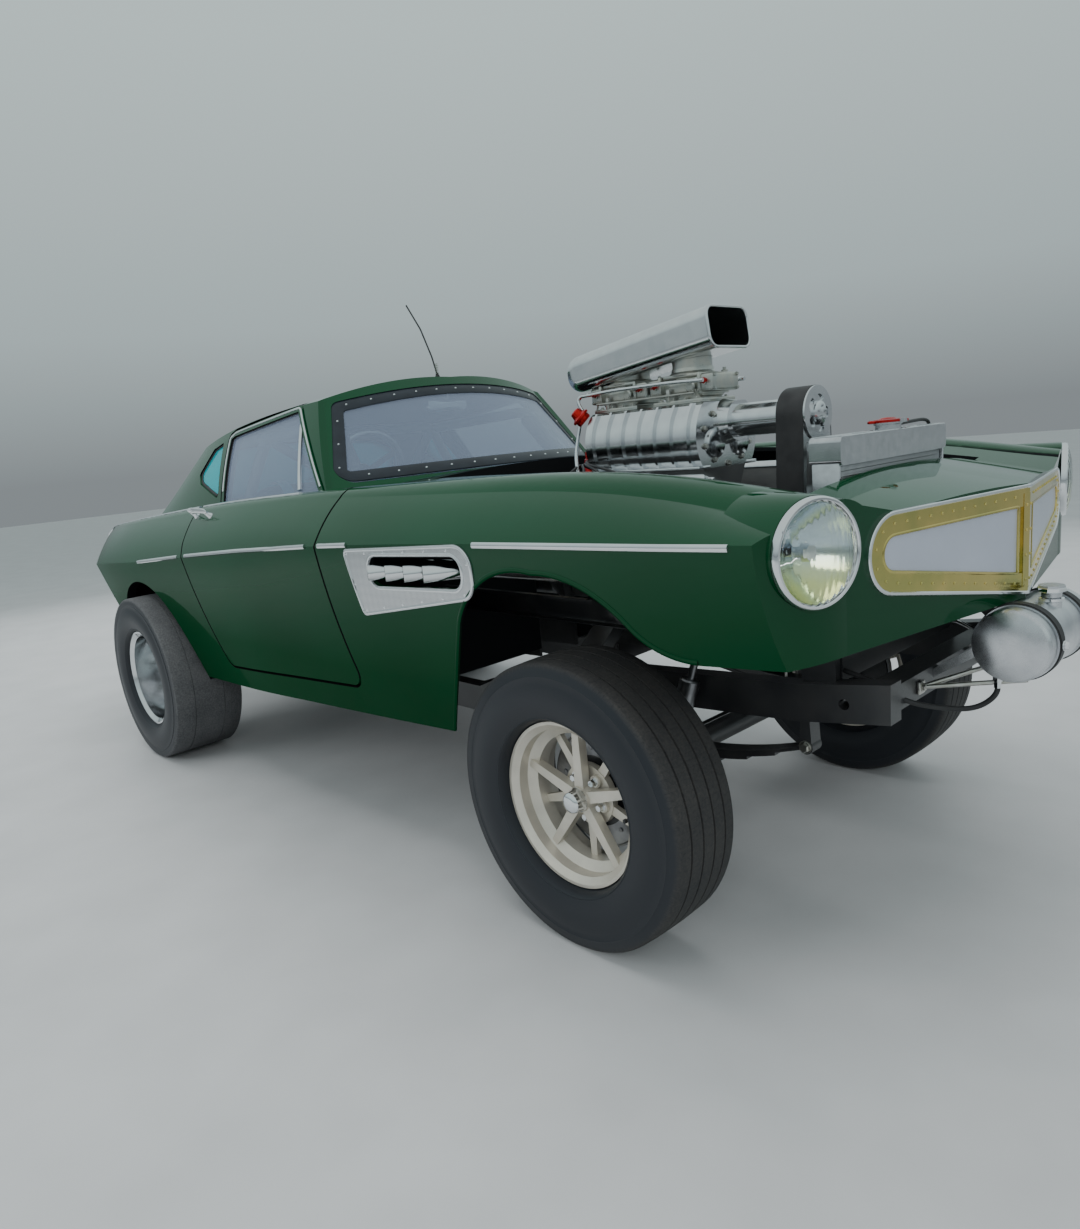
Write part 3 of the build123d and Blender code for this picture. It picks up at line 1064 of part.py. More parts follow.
# Steering knuckles: a fork with the king pin, the wheel spindle, the brake plate and the arm
with BuildPart() as knuckle_left:
    with BuildSketch(Plane.XY.offset(FRONT_TYRE_R - EYE_H / 2 - LUG_T - SEAT)):
        with Locations((FRONT_AXLE_X, KINGPIN_Y)):
            Circle(KINGPIN_R)
    extrude(amount=EYE_H + 2 * LUG_T + 2 * SEAT)
    for z in (FRONT_TYRE_R - EYE_H / 2 - LUG_T - SEAT, FRONT_TYRE_R + EYE_H / 2 + SEAT):
        with BuildSketch(Plane.XY.offset(z)):
            with Locations((FRONT_AXLE_X, KINGPIN_Y)):
                Circle(EYE_R)
            with Locations((FRONT_AXLE_X, KINGPIN_Y + EYE_R)):
                Rectangle(2 * EYE_R, 2 * EYE_R)
        extrude(amount=LUG_T)
    with BuildSketch(Plane.XZ.offset(-KINGPIN_Y - EYE_R - 6)):
        with Locations((FRONT_AXLE_X, FRONT_TYRE_R)):
            RectangleRounded(2 * EYE_R, EYE_H + 2 * LUG_T + 2 * SEAT, 6)
    extrude(amount=-(EYE_R - 6))
    with BuildSketch(Plane.XZ.offset(-BRAKE_Y)):
        with Locations((FRONT_AXLE_X, FRONT_TYRE_R)):
            Circle(BRAKE_R)
    extrude(amount=-BRAKE_T)
    with BuildSketch(Plane.XZ.offset(-KINGPIN_Y - 2 * EYE_R + 2)):
        with Locations((FRONT_AXLE_X, FRONT_TYRE_R)):
            Circle(FRONT_SPINDLE_R)
    extrude(amount=-(SPINDLE_END_Y - KINGPIN_Y - 2 * EYE_R + 2))
    with BuildSketch(Plane.XY.offset(ROD_Z)):
        with BuildLine():
            Polyline(*[(FRONT_AXLE_X + x, KINGPIN_Y + y) for x, y in STEER_ARM_PLAN], close=True)
        make_face()
    extrude(amount=ARM_T)
    with BuildSketch(Plane.XY.offset(ROD_Z - ROD_EYE_H - 2 * SEAT)):
        with Locations((FRONT_AXLE_X - STEER_ARM, KINGPIN_Y)):
            Circle(ROD_PIN_R)
    extrude(amount=ROD_EYE_H + 2 * SEAT)
write(knuckle_left.part, "knuckle_left")
write(mirrored(knuckle_left.part, "knuckle_right"), "knuckle_right")

# Tie rod between the two steering arms
with BuildPart() as tie_rod:
    with BuildSketch(Plane.XZ.offset(-KINGPIN_Y + ROD_EYE_R - 3)):
        with Locations((FRONT_AXLE_X - STEER_ARM, ROD_Z - ROD_EYE_H / 2 - SEAT)):
            Circle(ROD_R)
    extrude(amount=2 * (KINGPIN_Y - ROD_EYE_R + 3))
    for side in (-1, 1):
        with BuildSketch(Plane.XY.offset(ROD_Z - ROD_EYE_H - SEAT)):
            with Locations((FRONT_AXLE_X - STEER_ARM, side * KINGPIN_Y)):
                Circle(ROD_EYE_R)
        extrude(amount=ROD_EYE_H)
    for side in (-1, 1):
        with BuildSketch(Plane.XY.offset(ROD_Z - 2 * ROD_EYE_H)):
            with Locations((FRONT_AXLE_X - STEER_ARM, side * KINGPIN_Y)):
                Circle(ROD_PIN_R + RUNNING)
        extrude(amount=3 * ROD_EYE_H, mode=Mode.SUBTRACT)
write(tie_rod.part, "tie_rod")


def wheel_plane(axle_x, radius):
    """Wheel axis plane in section: the first axis is the radius (up), the second points outwards."""
    return Plane(origin=(axle_x, 0, radius), x_dir=(0, 0, 1), z_dir=(1, 0, 0))


def tyre(axle_x, radius, width, rim_width, middle_y, shoulder, wall, crown):
    """A tyre revolved from half its section: bead, bulged side wall, shoulder and flat tread."""
    with BuildPart() as body:
        with BuildSketch(wheel_plane(axle_x, radius)):
            with BuildLine():
                for side in (-1, 1):
                    toe = (RIM_SEAT_R + SEAT, -middle_y + side * (rim_width / 2 - 13 - SEAT))
                    heel = (RIM_LIP_R + 2, -middle_y + side * (rim_width / 2 - 13 - SEAT))
                    lip = (RIM_LIP_R + 4, -middle_y + side * (width / 2 - 16))
                    flank = (RIM_LIP_R + wall, -middle_y + side * width / 2)
                    edge = (radius - crown, -middle_y + side * (width / 2 - shoulder))
                    Polyline(toe, heel, lip)
                    ThreePointArc(lip, flank, edge)
                crown_end = -middle_y + width / 2 - shoulder
                ThreePointArc((radius - crown, -middle_y - width / 2 + shoulder), (radius, -middle_y),
                              (radius - crown, crown_end))
                bead_y = rim_width / 2 - 13 - SEAT
                Line((RIM_SEAT_R + SEAT, -middle_y - bead_y), (RIM_SEAT_R + SEAT, -middle_y + bead_y))
            make_face()
        revolve(axis=Axis((axle_x, 0, radius), (0, 1, 0)))
    return body.part


front_tyre = tyre(FRONT_AXLE_X, FRONT_TYRE_R, FRONT_TYRE_W, FRONT_RIM_W, FRONT_TRACK / 2, 16, 62, 3)
rear_tyre = tyre(REAR_AXLE_X, REAR_TYRE_R, REAR_TYRE_W, REAR_RIM_W, REAR_TRACK / 2, 12, 60, 2)
write(front_tyre, "front_tyre_left")
write(mirrored(front_tyre, "front_tyre_right"), "front_tyre_right")
write(rear_tyre, "rear_tyre_left")
write(mirrored(rear_tyre, "rear_tyre_right"), "rear_tyre_right")


def rim_barrel(axle_x, radius, middle_y, width, outer_depth, wall):
    """Half section of a drop-centre rim from the inner lip to the outer lip, revolved."""
    with BuildPart() as barrel:
        with BuildSketch(wheel_plane(axle_x, radius)):
            with BuildLine():
                inner, outer = -middle_y + width / 2, -middle_y - width / 2
                seat, drop = RIM_SEAT_R, RIM_SEAT_R - 22
                outside = [(RIM_LIP_R, outer), (RIM_LIP_R, outer + 9), (seat, outer + 13),
                           (seat, outer + outer_depth), (drop, outer + outer_depth + 14),
                           (drop, inner - 52), (seat, inner - 38), (seat, inner - 13),
                           (RIM_LIP_R, inner - 9), (RIM_LIP_R, inner)]
                inside = [(RIM_LIP_R - 8, inner), (seat - wall, inner - 12), (seat - wall, inner - 40),
                          (drop - wall, inner - 56), (drop - wall, outer + outer_depth + 18),
                          (seat - wall, outer + outer_depth + 2), (seat - wall, outer + 14),
                          (RIM_LIP_R - 8, outer)]
                Polyline(*outside, *inside, close=True)
            make_face()
        revolve(axis=Axis((axle_x, 0, radius), (0, 1, 0)))
    return barrel.part


# Front wheels: a rim carried by five main spokes from a cone hub and five short ones between them
with BuildPart() as front_wheel:
    add(rim_barrel(FRONT_AXLE_X, FRONT_TYRE_R, FRONT_TRACK / 2, FRONT_RIM_W, 40, 7))
    hub = Plane(origin=(FRONT_AXLE_X, HUB_BACK_Y, FRONT_TYRE_R), x_dir=(1, 0, 0), z_dir=(0, 1, 0))
    with BuildSketch(hub):
        Circle(78)
    extrude(amount=18)
    with BuildSketch(hub.offset(18)):
        Circle(40)
    with BuildSketch(hub.offset(58)):
        Circle(30)
    loft()
    with BuildSketch(hub.offset(58)):
        Circle(27)
    with BuildSketch(hub.offset(84)):
        Circle(16)
    loft()
    for turn, start, z0, z1, w0, w1 in ((0, 18, 26, 50, 30, 20), (36, 60, 2, 16, 26, 18)):
        for n in range(5):
            angle = 90 + turn + 72 * n
            spoke = Plane(origin=(FRONT_AXLE_X, 0, FRONT_TYRE_R),
                          x_dir=(cos(radians(angle)), 0, sin(radians(angle))), z_dir=(0, 1, 0))
            with BuildSketch(spoke.offset(HUB_BACK_Y + z0)):
                with BuildLine():
                    Polyline((start, w0 / 2), (RIM_SEAT_R - 3, w1 / 2), (RIM_SEAT_R - 3, -w1 / 2),
                             (start, -w0 / 2), close=True)
                make_face()
            extrude(amount=z1 - z0)
    for n in range(5):
        angle = radians(90 + 36 + 72 * n)
        with BuildSketch(hub):
            with Locations((52 * cos(angle), -52 * sin(angle))):
                Circle(16)
        extrude(amount=26)
    with BuildSketch(hub):
        Circle(FRONT_SPINDLE_R + RUNNING)
    extrude(amount=50, mode=Mode.SUBTRACT)
write(front_wheel.part, "front_wheel_left")
write(mirrored(front_wheel.part, "front_wheel_right"), "front_wheel_right")

# Rear wheels: a wide rim, dished deep, whose centre disc has five slots and five wheel nuts
with BuildPart() as rear_wheel:
    add(rim_barrel(REAR_AXLE_X, REAR_TYRE_R, REAR_TRACK / 2, REAR_RIM_W, 128, 6))
    with BuildSketch(wheel_plane(REAR_AXLE_X, REAR_TYRE_R)):
        with BuildLine():
            face, bore = -DISC_Y, REAR_SPINDLE_R + RUNNING
            Polyline((bore, face), (44, face - 22), (56, face - 22), (66, face - 4), (96, face - 4),
                     (130, face - 16), (RIM_SEAT_R - 24, face + 2), (RIM_SEAT_R - 24, face + 14),
                     (130, face - 4), (96, face + 8), (bore, face + 12), close=True)
        make_face()
    revolve(axis=Axis((REAR_AXLE_X, 0, REAR_TYRE_R), (0, 1, 0)))
    for n in range(5):
        turn = radians(90 + 72 * n)
        slot_plane = Plane(origin=(REAR_AXLE_X, 0, REAR_TYRE_R), x_dir=(cos(turn), 0, sin(turn)),
                           z_dir=(0, 1, 0))
        with BuildSketch(slot_plane.offset(DISC_Y - 20)):
            with Locations((126, 0)):
                RectangleRounded(34, 58, 13)
        extrude(amount=50, mode=Mode.SUBTRACT)
    for n in range(5):
        nut = radians(126 + 72 * n)
        with BuildSketch(Plane(origin=(REAR_AXLE_X, DISC_Y, REAR_TYRE_R), z_dir=(0, 1, 0), x_dir=(1, 0, 0))):
            with Locations((60 * cos(nut), -60 * sin(nut))):
                RegularPolygon(12, 6)
        extrude(amount=26)
write(rear_wheel.part, "rear_wheel_left")
write(mirrored(rear_wheel.part, "rear_wheel_right"), "rear_wheel_right")

# Rear axle: big differential, tubes, brake plates, spindles, ladder bars and coil-over dampers
with BuildPart() as rear_axle:
    with BuildSketch(wheel_plane(REAR_AXLE_X, REAR_TYRE_R)):
        with BuildLine():
            near, brake, outer = -DIFF_W / 2, -REAR_BRAKE_Y, -REAR_BRAKE_Y - 50
            Polyline((0, near), (60, near), (AXLE_R + 6, near - 30), (AXLE_R + 6, -240), (AXLE_R, -250),
                     (AXLE_R, brake), (REAR_BRAKE_R, brake), (REAR_BRAKE_R, outer), (REAR_SPINDLE_R, outer),
                     (REAR_SPINDLE_R, -DISC_Y - 40), (0, -DISC_Y - 40), close=True)
        make_face()
    revolve(axis=Axis((REAR_AXLE_X, 0, REAR_TYRE_R), (0, 1, 0)))
    mirror(about=Plane.XZ)
    with BuildSketch(Plane.YZ.offset(REAR_AXLE_X - 95)):
        with Locations((0, REAR_TYRE_R)):
            Circle(118)
    with BuildSketch(Plane.YZ.offset(REAR_AXLE_X + 60)):
        with Locations((0, REAR_TYRE_R)):
            Circle(150)
    loft()
    with BuildSketch(Plane.YZ.offset(REAR_AXLE_X - 120)):
        with Locations((0, REAR_TYRE_R)):
            Circle(70)
    with BuildSketch(Plane.YZ.offset(REAR_AXLE_X - 95)):
        with Locations((0, REAR_TYRE_R)):
            Circle(118)
    loft()
    with BuildSketch(Plane.YZ.offset(REAR_AXLE_X + 60)):
        with Locations((0, REAR_TYRE_R)):
            Circle(120)
    with BuildSketch(Plane.YZ.offset(REAR_AXLE_X + 190)):
        with Locations((0, REAR_TYRE_R + 10)):
            Circle(52)
    loft()
    for side in (-1, 1):
        for z0 in (AXLE_R, -AXLE_R):
            with BuildSketch(Plane.XZ.offset(-side * BAR_Y)):
                with BuildLine():
                    x, z = REAR_AXLE_X + 10, REAR_TYRE_R + z0
                    Polyline((x, z - 12), (BAR_FRONT_X, BAR_FRONT_Z - 12), (BAR_FRONT_X, BAR_FRONT_Z + 12),
                             (x, z + 12), close=True)
                make_face()
            extrude(amount=14, both=True)
        with BuildSketch(Plane.XZ.offset(-side * BAR_Y)):
            with Locations((REAR_AXLE_X, REAR_TYRE_R)):
                RectangleRounded(120, 190, 16)
            with Locations((BAR_FRONT_X, BAR_FRONT_Z)):
                Circle(24)
        extrude(amount=16, both=True)
        for dx, dz, radius, length in ((-50, -60, 12, 300), (-62, 20, 38, 150)):
            foot = (REAR_AXLE_X + dx, side * BAR_Y, REAR_TYRE_R + dz)
            with BuildSketch(Plane(origin=foot, z_dir=(-0.18, 0, 1))):
                Circle(radius)
            extrude(amount=length)
    add(frame.part, mode=Mode.SUBTRACT)
write(rear_axle.part, "rear_axle")

# Seats: hooped buckets on the floor
with BuildPart() as seat:
    with BuildSketch(Plane.XZ.offset(-SEAT_Y - SEAT_W / 2)):
        with BuildLine():
            FilletPolyline((-110, floor_z(-110)), (-90, 610), (-420, 570), (-560, 1130), (-640, 1120),
                           (-530, 540), (-500, floor_z(-500)), radius=[8, 40, 60, 30, 30, 60, 8],
                           close=True)
        make_face()
    extrude(amount=SEAT_W)
    with BuildSketch(Plane.YZ.offset(-650)):
        with BuildLine():
            w = SEAT_W / 2
            Polyline((SEAT_Y - w, 400), (SEAT_Y + w, 400), (SEAT_Y + w, 900))
            ThreePointArc((SEAT_Y + w, 900), (SEAT_Y + w * 0.8, 1090), (SEAT_Y, 1132))
            ThreePointArc((SEAT_Y, 1132), (SEAT_Y - w * 0.8, 1090), (SEAT_Y - w, 900))
            Line((SEAT_Y - w, 900), (SEAT_Y - w, 400))
        make_face()
    extrude(amount=700, mode=Mode.INTERSECT)
write(seat.part, "seat_left")
write(mirrored(seat.part, "seat_right"), "seat_right")

# Roll cage: main hoop with a diagonal, two rear stays and the windscreen hoops
def tube(points, radius, bend):
    """A bent tube through corner points."""
    with BuildPart() as bent:
        with BuildLine() as path:
            if len(points) > 2:
                FilletPolyline(*points, radius=bend)
            else:
                Line(*points)
        with BuildSketch(Plane(origin=path.line @ 0, z_dir=path.line % 0)):
            Circle(radius)
        sweep(path=path.line)
    return bent.part


with BuildPart() as roll_cage:
    x, y, top = HOOP_X, HOOP_Y, HOOP_TOP_Z
    hoop = [(-y, HOOP_FOOT_Z), (-y, 1050), (-y + 130, top), (y - 130, top), (y, 1050), (y, HOOP_FOOT_Z)]
    add(tube([(x, *point) for point in hoop], CAGE_R, 90))
    add(tube([(x, y - 10, 700), (x, -y + 140, top - 10)], CAGE_R - 2, 0))
    add(tube([(x, -y, 800), (x, y, 800)], CAGE_R - 2, 0))
    for side in (-1, 1):
        add(tube([(x, side * (y - 130), top - 10), (STAY_X, side * 420, STAY_FOOT_Z)], CAGE_R - 1, 0))
        front = [(cx, side * cy, cz) for cx, cy, cz in CAGE_FRONT]
        add(tube([(x, side * (y - 110), top - 8), *front], CAGE_R, 80))
    add(floor.part, mode=Mode.SUBTRACT)
cage = max(roll_cage.part.solids(), key=lambda piece: piece.volume)
write(cage, "roll_cage")

# Dashboard with the column and the three-spoke steering wheel on the right
with BuildPart() as dashboard:
    with BuildSketch(Plane.XZ.offset(-DASH_Y)):
        with BuildLine():
            front = BAY_REAR_X - FIREWALL_T
            Polyline((front, 1060), (330, 1085), (250, 1096), (170, 1075), (160, 960), (330, 960),
                     (front, 1010), close=True)
        make_face()
    extrude(amount=2 * DASH_Y)
    with BuildSketch(WHEEL_PLANE):
        Circle(17)
    extrude(amount=-290)
    with BuildSketch(WHEEL_PLANE):
        Circle(34)
    extrude(amount=14, both=True)
    for n in range(3):
        with BuildSketch(WHEEL_PLANE):
            with Locations(Location((0, 0), 90 + 120 * n)):
                with Locations((STEERING_R / 2, 0)):
                    Rectangle(STEERING_R, 24)
        extrude(amount=3)
    with BuildSketch(Plane(origin=WHEEL_PLANE.origin, x_dir=WHEEL_PLANE.x_dir, z_dir=WHEEL_PLANE.y_dir)):
        with Locations((STEERING_R, 0)):
            Circle(13)
    revolve(axis=Axis(WHEEL_PLANE.origin, WHEEL_PLANE.z_dir))
write(dashboard.part, "dashboard")

# Aerial on the roof: base, spring coil and whip
with BuildPart() as aerial:
    with BuildSketch(Plane.XY.offset(AERIAL_FOOT_Z)):
        with Locations((AERIAL_X, 0)):
            Circle(15)
    extrude(amount=30, taper=20)
    whip = [(0, 20), (-22, 90), (-75, 200), (-150, 300)]
    add(tube([(AERIAL_X + x, 0, AERIAL_FOOT_Z + z) for x, z in whip], 3.0, 120))
    add(roof.part, mode=Mode.SUBTRACT)
write(aerial.part, "aerial")
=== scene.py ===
from math import atan2, cos, hypot, pi, radians, sin, tan

import bmesh
import bpy
from mathutils import Matrix, Vector
from mathutils.bvhtree import BVHTree


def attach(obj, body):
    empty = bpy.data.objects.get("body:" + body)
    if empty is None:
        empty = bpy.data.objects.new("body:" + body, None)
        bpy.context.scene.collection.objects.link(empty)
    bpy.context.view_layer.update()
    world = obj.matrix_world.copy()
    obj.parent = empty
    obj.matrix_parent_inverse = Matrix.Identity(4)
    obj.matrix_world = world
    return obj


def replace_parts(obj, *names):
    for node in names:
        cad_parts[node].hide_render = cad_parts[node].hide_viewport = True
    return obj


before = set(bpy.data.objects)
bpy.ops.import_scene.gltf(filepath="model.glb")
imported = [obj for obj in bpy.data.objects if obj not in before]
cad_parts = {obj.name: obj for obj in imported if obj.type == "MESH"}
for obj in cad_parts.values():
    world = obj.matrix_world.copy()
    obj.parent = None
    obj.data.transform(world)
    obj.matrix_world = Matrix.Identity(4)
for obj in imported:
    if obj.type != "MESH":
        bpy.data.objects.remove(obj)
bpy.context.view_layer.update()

# The studio: a pale painted floor and soft light from wide boxes. The camera is close to the car's
# right front wing at eye height, looks back along it, and leans a little as a hand-held one does.
EYE = Vector((2.712, -2.044, 1.211))
YAW, PITCH, ROLL = radians(137.77), radians(-11.49), radians(-5.28)
FOCAL_PIXELS, FRAME_HEIGHT = 853.0, 1229.0

ahead = Vector((cos(YAW) * cos(PITCH), sin(YAW) * cos(PITCH), sin(PITCH)))
level = ahead.cross(Vector((0, 0, 1))).normalized()
upright = level.cross(ahead)
across = level * cos(ROLL) + upright * sin(ROLL)
above = upright * cos(ROLL) - level * sin(ROLL)
camera = bpy.data.objects.new("camera", bpy.data.cameras.new("camera"))
bpy.context.scene.collection.objects.link(camera)
camera.data.sensor_width = 36.0
camera.data.lens = 36.0 * FOCAL_PIXELS / FRAME_HEIGHT
camera.data.clip_end = 60.0
camera.matrix_world = Matrix.Translation(EYE) @ Matrix((across, above, -ahead)).transposed().to_4x4()
bpy.context.scene.camera = camera

for name, place, aim, size, watts in (
    ("overhead_box", (0.2, -0.6, 5.2), (0.2, -0.2, 0.5), (7.0, 4.0), 210.0),
    ("front_box", (6.0, -4.6, 3.4), (0.8, -0.2, 0.6), (4.0, 3.0), 150.0),
    ("side_box", (-2.6, -6.2, 3.0), (-0.4, 0.0, 0.7), (5.0, 2.6), 150.0),
    ("far_box", (-1.0, 6.0, 3.2), (0.0, 0.0, 0.7), (5.0, 2.6), 110.0),
    ("tail_box", (-6.2, 0.6, 3.0), (-1.0, 0.0, 0.7), (3.6, 2.4), 100.0),
):
    light = bpy.data.lights.new(name, "AREA")
    light.shape, light.size, light.size_y, light.energy = "RECTANGLE", *size, watts
    lamp = bpy.data.objects.new(name, light)
    lamp.location, lamp.visible_glossy = place, False
    lamp.rotation_euler = (Vector(aim) - Vector(place)).to_track_quat("-Z", "Y").to_euler()
    bpy.context.scene.collection.objects.link(lamp)

room = bpy.data.worlds.new("room")
bpy.context.scene.world = room
room.use_nodes = True


class Socket:
    """One socket of a material. Sums and products of sockets and numbers add the Math nodes that do them."""

    def __init__(self, tree, socket=None):
        self.tree, self.socket = tree, socket

    def node(self, kind, settings=None, sockets=None, output=0):
        """Another node with its settings, then the values or links of its sockets, as one of its outputs."""
        made = self.tree.nodes.new(kind)
        for name, value in (settings or {}).items():
            if name == "stops":
                (start, first), *between, (end, last) = value
                made.color_ramp.elements[0].position, made.color_ramp.elements[0].color = start, (*first, 1)
                made.color_ramp.elements[1].position, made.color_ramp.elements[1].color = end, (*last, 1)
                for position, colour in between:
                    made.color_ramp.elements.new(position).color = (*colour, 1)
            else:
                setattr(made, name, value)
        for name, value in (sockets or {}).items():
            if isinstance(value, Socket):
                self.tree.links.new(made.inputs[name], value.socket)
            else:
                made.inputs[name].default_value = value
        return Socket(self.tree, made.outputs[output])

    def maths(self, operation, first, second):
        return self.node("ShaderNodeMath", {"operation": operation}, {0: first, 1: second})

    def __add__(self, other):
        return self.maths("ADD", self, other)

    def __radd__(self, other):
        return self.maths("ADD", other, self)

    def __sub__(self, other):
        return self.maths("SUBTRACT", self, other)

    def __rsub__(self, other):
        return self.maths("SUBTRACT", other, self)

    def __mul__(self, other):
        return self.maths("MULTIPLY", self, other)

    def __rmul__(self, other):
        return self.maths("MULTIPLY", other, self)

    def over(self, low, high):
        """0 below low, 1 above high and even between, as a mask."""
        return self.node("ShaderNodeMapRange", {"clamp": True},
                         {"Value": self, "From Min": low, "From Max": high})

    def blend(self, first, second):
        """first where this mask is 0, second where it is 1, as a colour."""
        colours = {6: first, 7: second}
        colours = {n: c if isinstance(c, Socket) else (*c, 1) for n, c in colours.items()}
        return self.node("ShaderNodeMix", {"data_type": "RGBA"}, {0: self, **colours}, 2)


def new_finish(name, **sockets):
    """An empty material: its Principled shader with even values set, and a socket to build on."""
    material = bpy.data.materials.new(name)
    material.use_nodes = True
    shader = material.node_tree.nodes["Principled BSDF"]
    for socket, value in sockets.items():
        shader.inputs[socket.replace("_", " ")].default_value = value
    return material, shader, Socket(material.node_tree)


def link(shader, **sockets):
    """Links worked-out sockets to the shader's own."""
    for name, value in sockets.items():
        value.tree.links.new(shader.inputs[name.replace("_", " ")], value.socket)


def grain(start, size, detail=3.0, kind="noise"):
    """Noise or cells of about that size in metres, in the car's own frame, from 0 to 1."""
    here = start.node("ShaderNodeTexCoord", output="Object")
    if kind == "cells":
        return start.node("ShaderNodeTexVoronoi", {"feature": "F1"}, {"Vector": here, "Scale": 1 / size})
    return start.node("ShaderNodeTexNoise", None, {"Vector": here, "Scale": 1 / size, "Detail": detail})


def coordinate(start, axis, kind="Object"):
    """One coordinate of each point, in the car's own frame unless another kind is named."""
    return start.node("ShaderNodeSeparateXYZ", None, {0: start.node("ShaderNodeTexCoord", output=kind)},
                      axis)


def bumped(start, height, depth, strength=0.4):
    """A normal that follows a height, whose full swing is depth in metres."""
    return start.node("ShaderNodeBump", None, {"Height": height, "Distance": depth, "Strength": strength})


def surface(name, colour, shade, roughness, swing, size, depth, **sockets):
    """A finish that drifts between two colours and two roughnesses, over a fine grain of its own."""
    material, shader, start = new_finish(name, **sockets)
    drift = grain(start, size * 14).over(0.32, 0.68)
    fine = grain(start, size)
    link(shader, Base_Color=drift.blend(colour, shade), Roughness=fine * swing + (roughness - swing / 2),
         Normal=bumped(start, fine, depth))
    return material

# The room itself is even and grey to just above the floor, and opens into a pale tent overhead.
start = Socket(room.node_tree)
TENT = [(0.0, (0.16, 0.17, 0.18)), (0.50, (0.34, 0.38, 0.40)), (0.57, (0.62, 0.74, 0.76)),
        (0.70, (0.84, 1.0, 1.0)), (1.0, (0.90, 1.0, 1.0))]
tent = start.node("ShaderNodeValToRGB", {"stops": TENT},
                  {0: coordinate(start, "Z", "Generated") * 0.5 + 0.5})
room.node_tree.links.new(room.node_tree.nodes["Background"].inputs["Color"], tent.socket)
room.node_tree.nodes["Background"].inputs["Strength"].default_value = 0.70

floor_mesh = bpy.data.meshes.new("studio_floor")
floor_mesh.from_pydata([(-30, -30, 0), (30, -30, 0), (30, 30, 0), (-30, 30, 0)], [], [(0, 1, 2, 3)])
floor_mesh.materials.append(surface("floor_paint", (0.44, 0.45, 0.46), (0.48, 0.49, 0.50), 0.62, 0.1, 0.02,
                                    0.0004))
studio_floor = bpy.data.objects.new("studio_floor", floor_mesh)
bpy.context.scene.collection.objects.link(studio_floor)

# The body: pressed steel panels in dark green two-stage paint under clear lacquer, near black on their
# inner faces as painted shade, in the arches, the bay and the cabin side of each wall.
GREEN, DEEP_GREEN, INNER_SHADE = (0.0008, 0.046, 0.016), (0.0006, 0.034, 0.011), (0.010, 0.011, 0.012)

paint, shader, start = new_finish("body_paint", Coat_Roughness=0.03, Coat_IOR=1.42, Specular_IOR_Level=0.0)
place = start.node("ShaderNodeTexCoord", output="Object")
facing = start.node("ShaderNodeTexCoord", output="Normal")
from_middle = start.node("ShaderNodeVectorMath", {"operation": "MULTIPLY_ADD"},
                         {0: place, 1: (0.15, 1.0, 1.0), 2: (-0.18, 0.0, -0.80)})
outer_face = start.node("ShaderNodeVectorMath", {"operation": "DOT_PRODUCT"}, {0: from_middle, 1: facing},
                        "Value").over(-0.02, 0.02)
drift = grain(start, 0.9, 2.0).over(0.3, 0.7)
flake = grain(start, 0.0012, kind="cells")
height = coordinate(start, "Z")
road_film = (1 - height.over(0.40, 0.72)) * grain(start, 0.05, 5.0).over(0.30, 0.75) * 0.12
colour = drift.blend(GREEN, DEEP_GREEN)
dusty = road_film.blend(colour, (0.030, 0.040, 0.028))
waxed = (height.over(0.60, 1.02) * 0.85 + 0.15) * coordinate(start, "Z", "Normal").over(-0.45, 0.0)
# Inner faces take the near-black painted shade; outer faces take the green paint under its road film.
link(shader, Base_Color=outer_face.blend(INNER_SHADE, dusty), Metallic=outer_face * 0.06,
     Roughness=(1 - outer_face) * 0.30 + flake * 0.06 + 0.32, Coat_Weight=outer_face * waxed,
     Normal=bumped(start, grain(start, 0.012, 1.0), 0.00012, 0.35))


def finish_node(material, *nodes):
    """Gives CAD nodes a finish."""
    for node in nodes:
        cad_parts[node].data.materials.clear()
        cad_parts[node].data.materials.append(material)


finish_node(paint, "front_wing_left", "front_wing_right", "nose_panel", "cowl", "rear_quarter_left",
            "rear_quarter_right", "tail_panel", "roof", "door_left", "door_right", "boot_lid")

# Side strips: chromed brass mouldings, half round, sprung on studs along the widest line of the body.
# They stop either side of each shut line, and at the plate round the exhausts.
TRIM_LINE = [(-1.100, 0.861), (-0.600, 0.903), (-0.100, 0.939), (0.430, 0.969), (0.620, 0.9765)]
WING_LINE = [(1.160, 0.988), (1.400, 0.991), (1.700, 0.994), (1.842, 0.996)]
STRIP_SECTION = [(-0.0075, 0.0), (-0.006, 0.0035), (-0.0025, 0.0052), (0.0025, 0.0052), (0.006, 0.0035),
                 (0.0075, 0.0)]
SIDES = (("left", 1), ("right", -1))
TREES = {}

chrome = surface("chrome", (0.86, 0.87, 0.88), (0.80, 0.82, 0.84), 0.07, 0.05, 0.004, 0.00002, Metallic=1.0)


def add_piece(name, shape, body, *materials, sharp=38, slot=None):
    """A bmesh as a named piece that rides on a body, smooth but for edges sharper than an angle."""
    mesh = bpy.data.meshes.new(name)
    bmesh.ops.recalc_face_normals(shape, faces=shape.faces)
    shape.to_mesh(mesh)
    shape.free()
    for material in materials:
        mesh.materials.append(material)
    mesh.shade_smooth()
    mesh.set_sharp_from_angle(angle=radians(sharp))
    piece = bpy.data.objects.new(name, mesh)
    bpy.context.scene.collection.objects.link(piece)
    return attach(piece, body)


def skin(shape, rings, closed=True, capped=False, looped=False):
    """Faces over rings of points, each ring joined to the next; capped shuts the ends, looped joins them."""
    made = [[shape.verts.new(point) for point in ring] for ring in rings]
    pairs = list(zip(made[:-1], made[1:]))
    if looped:
        pairs.append((made[-1], made[0]))
    for near, far in pairs:
        count = len(near)
        for n in range(count if closed else count - 1):
            m = (n + 1) % count
            shape.faces.new((near[n], near[m], far[m], far[n]))
    if capped:
        shape.faces.new(made[0][::-1])
        shape.faces.new(made[-1])
    return shape


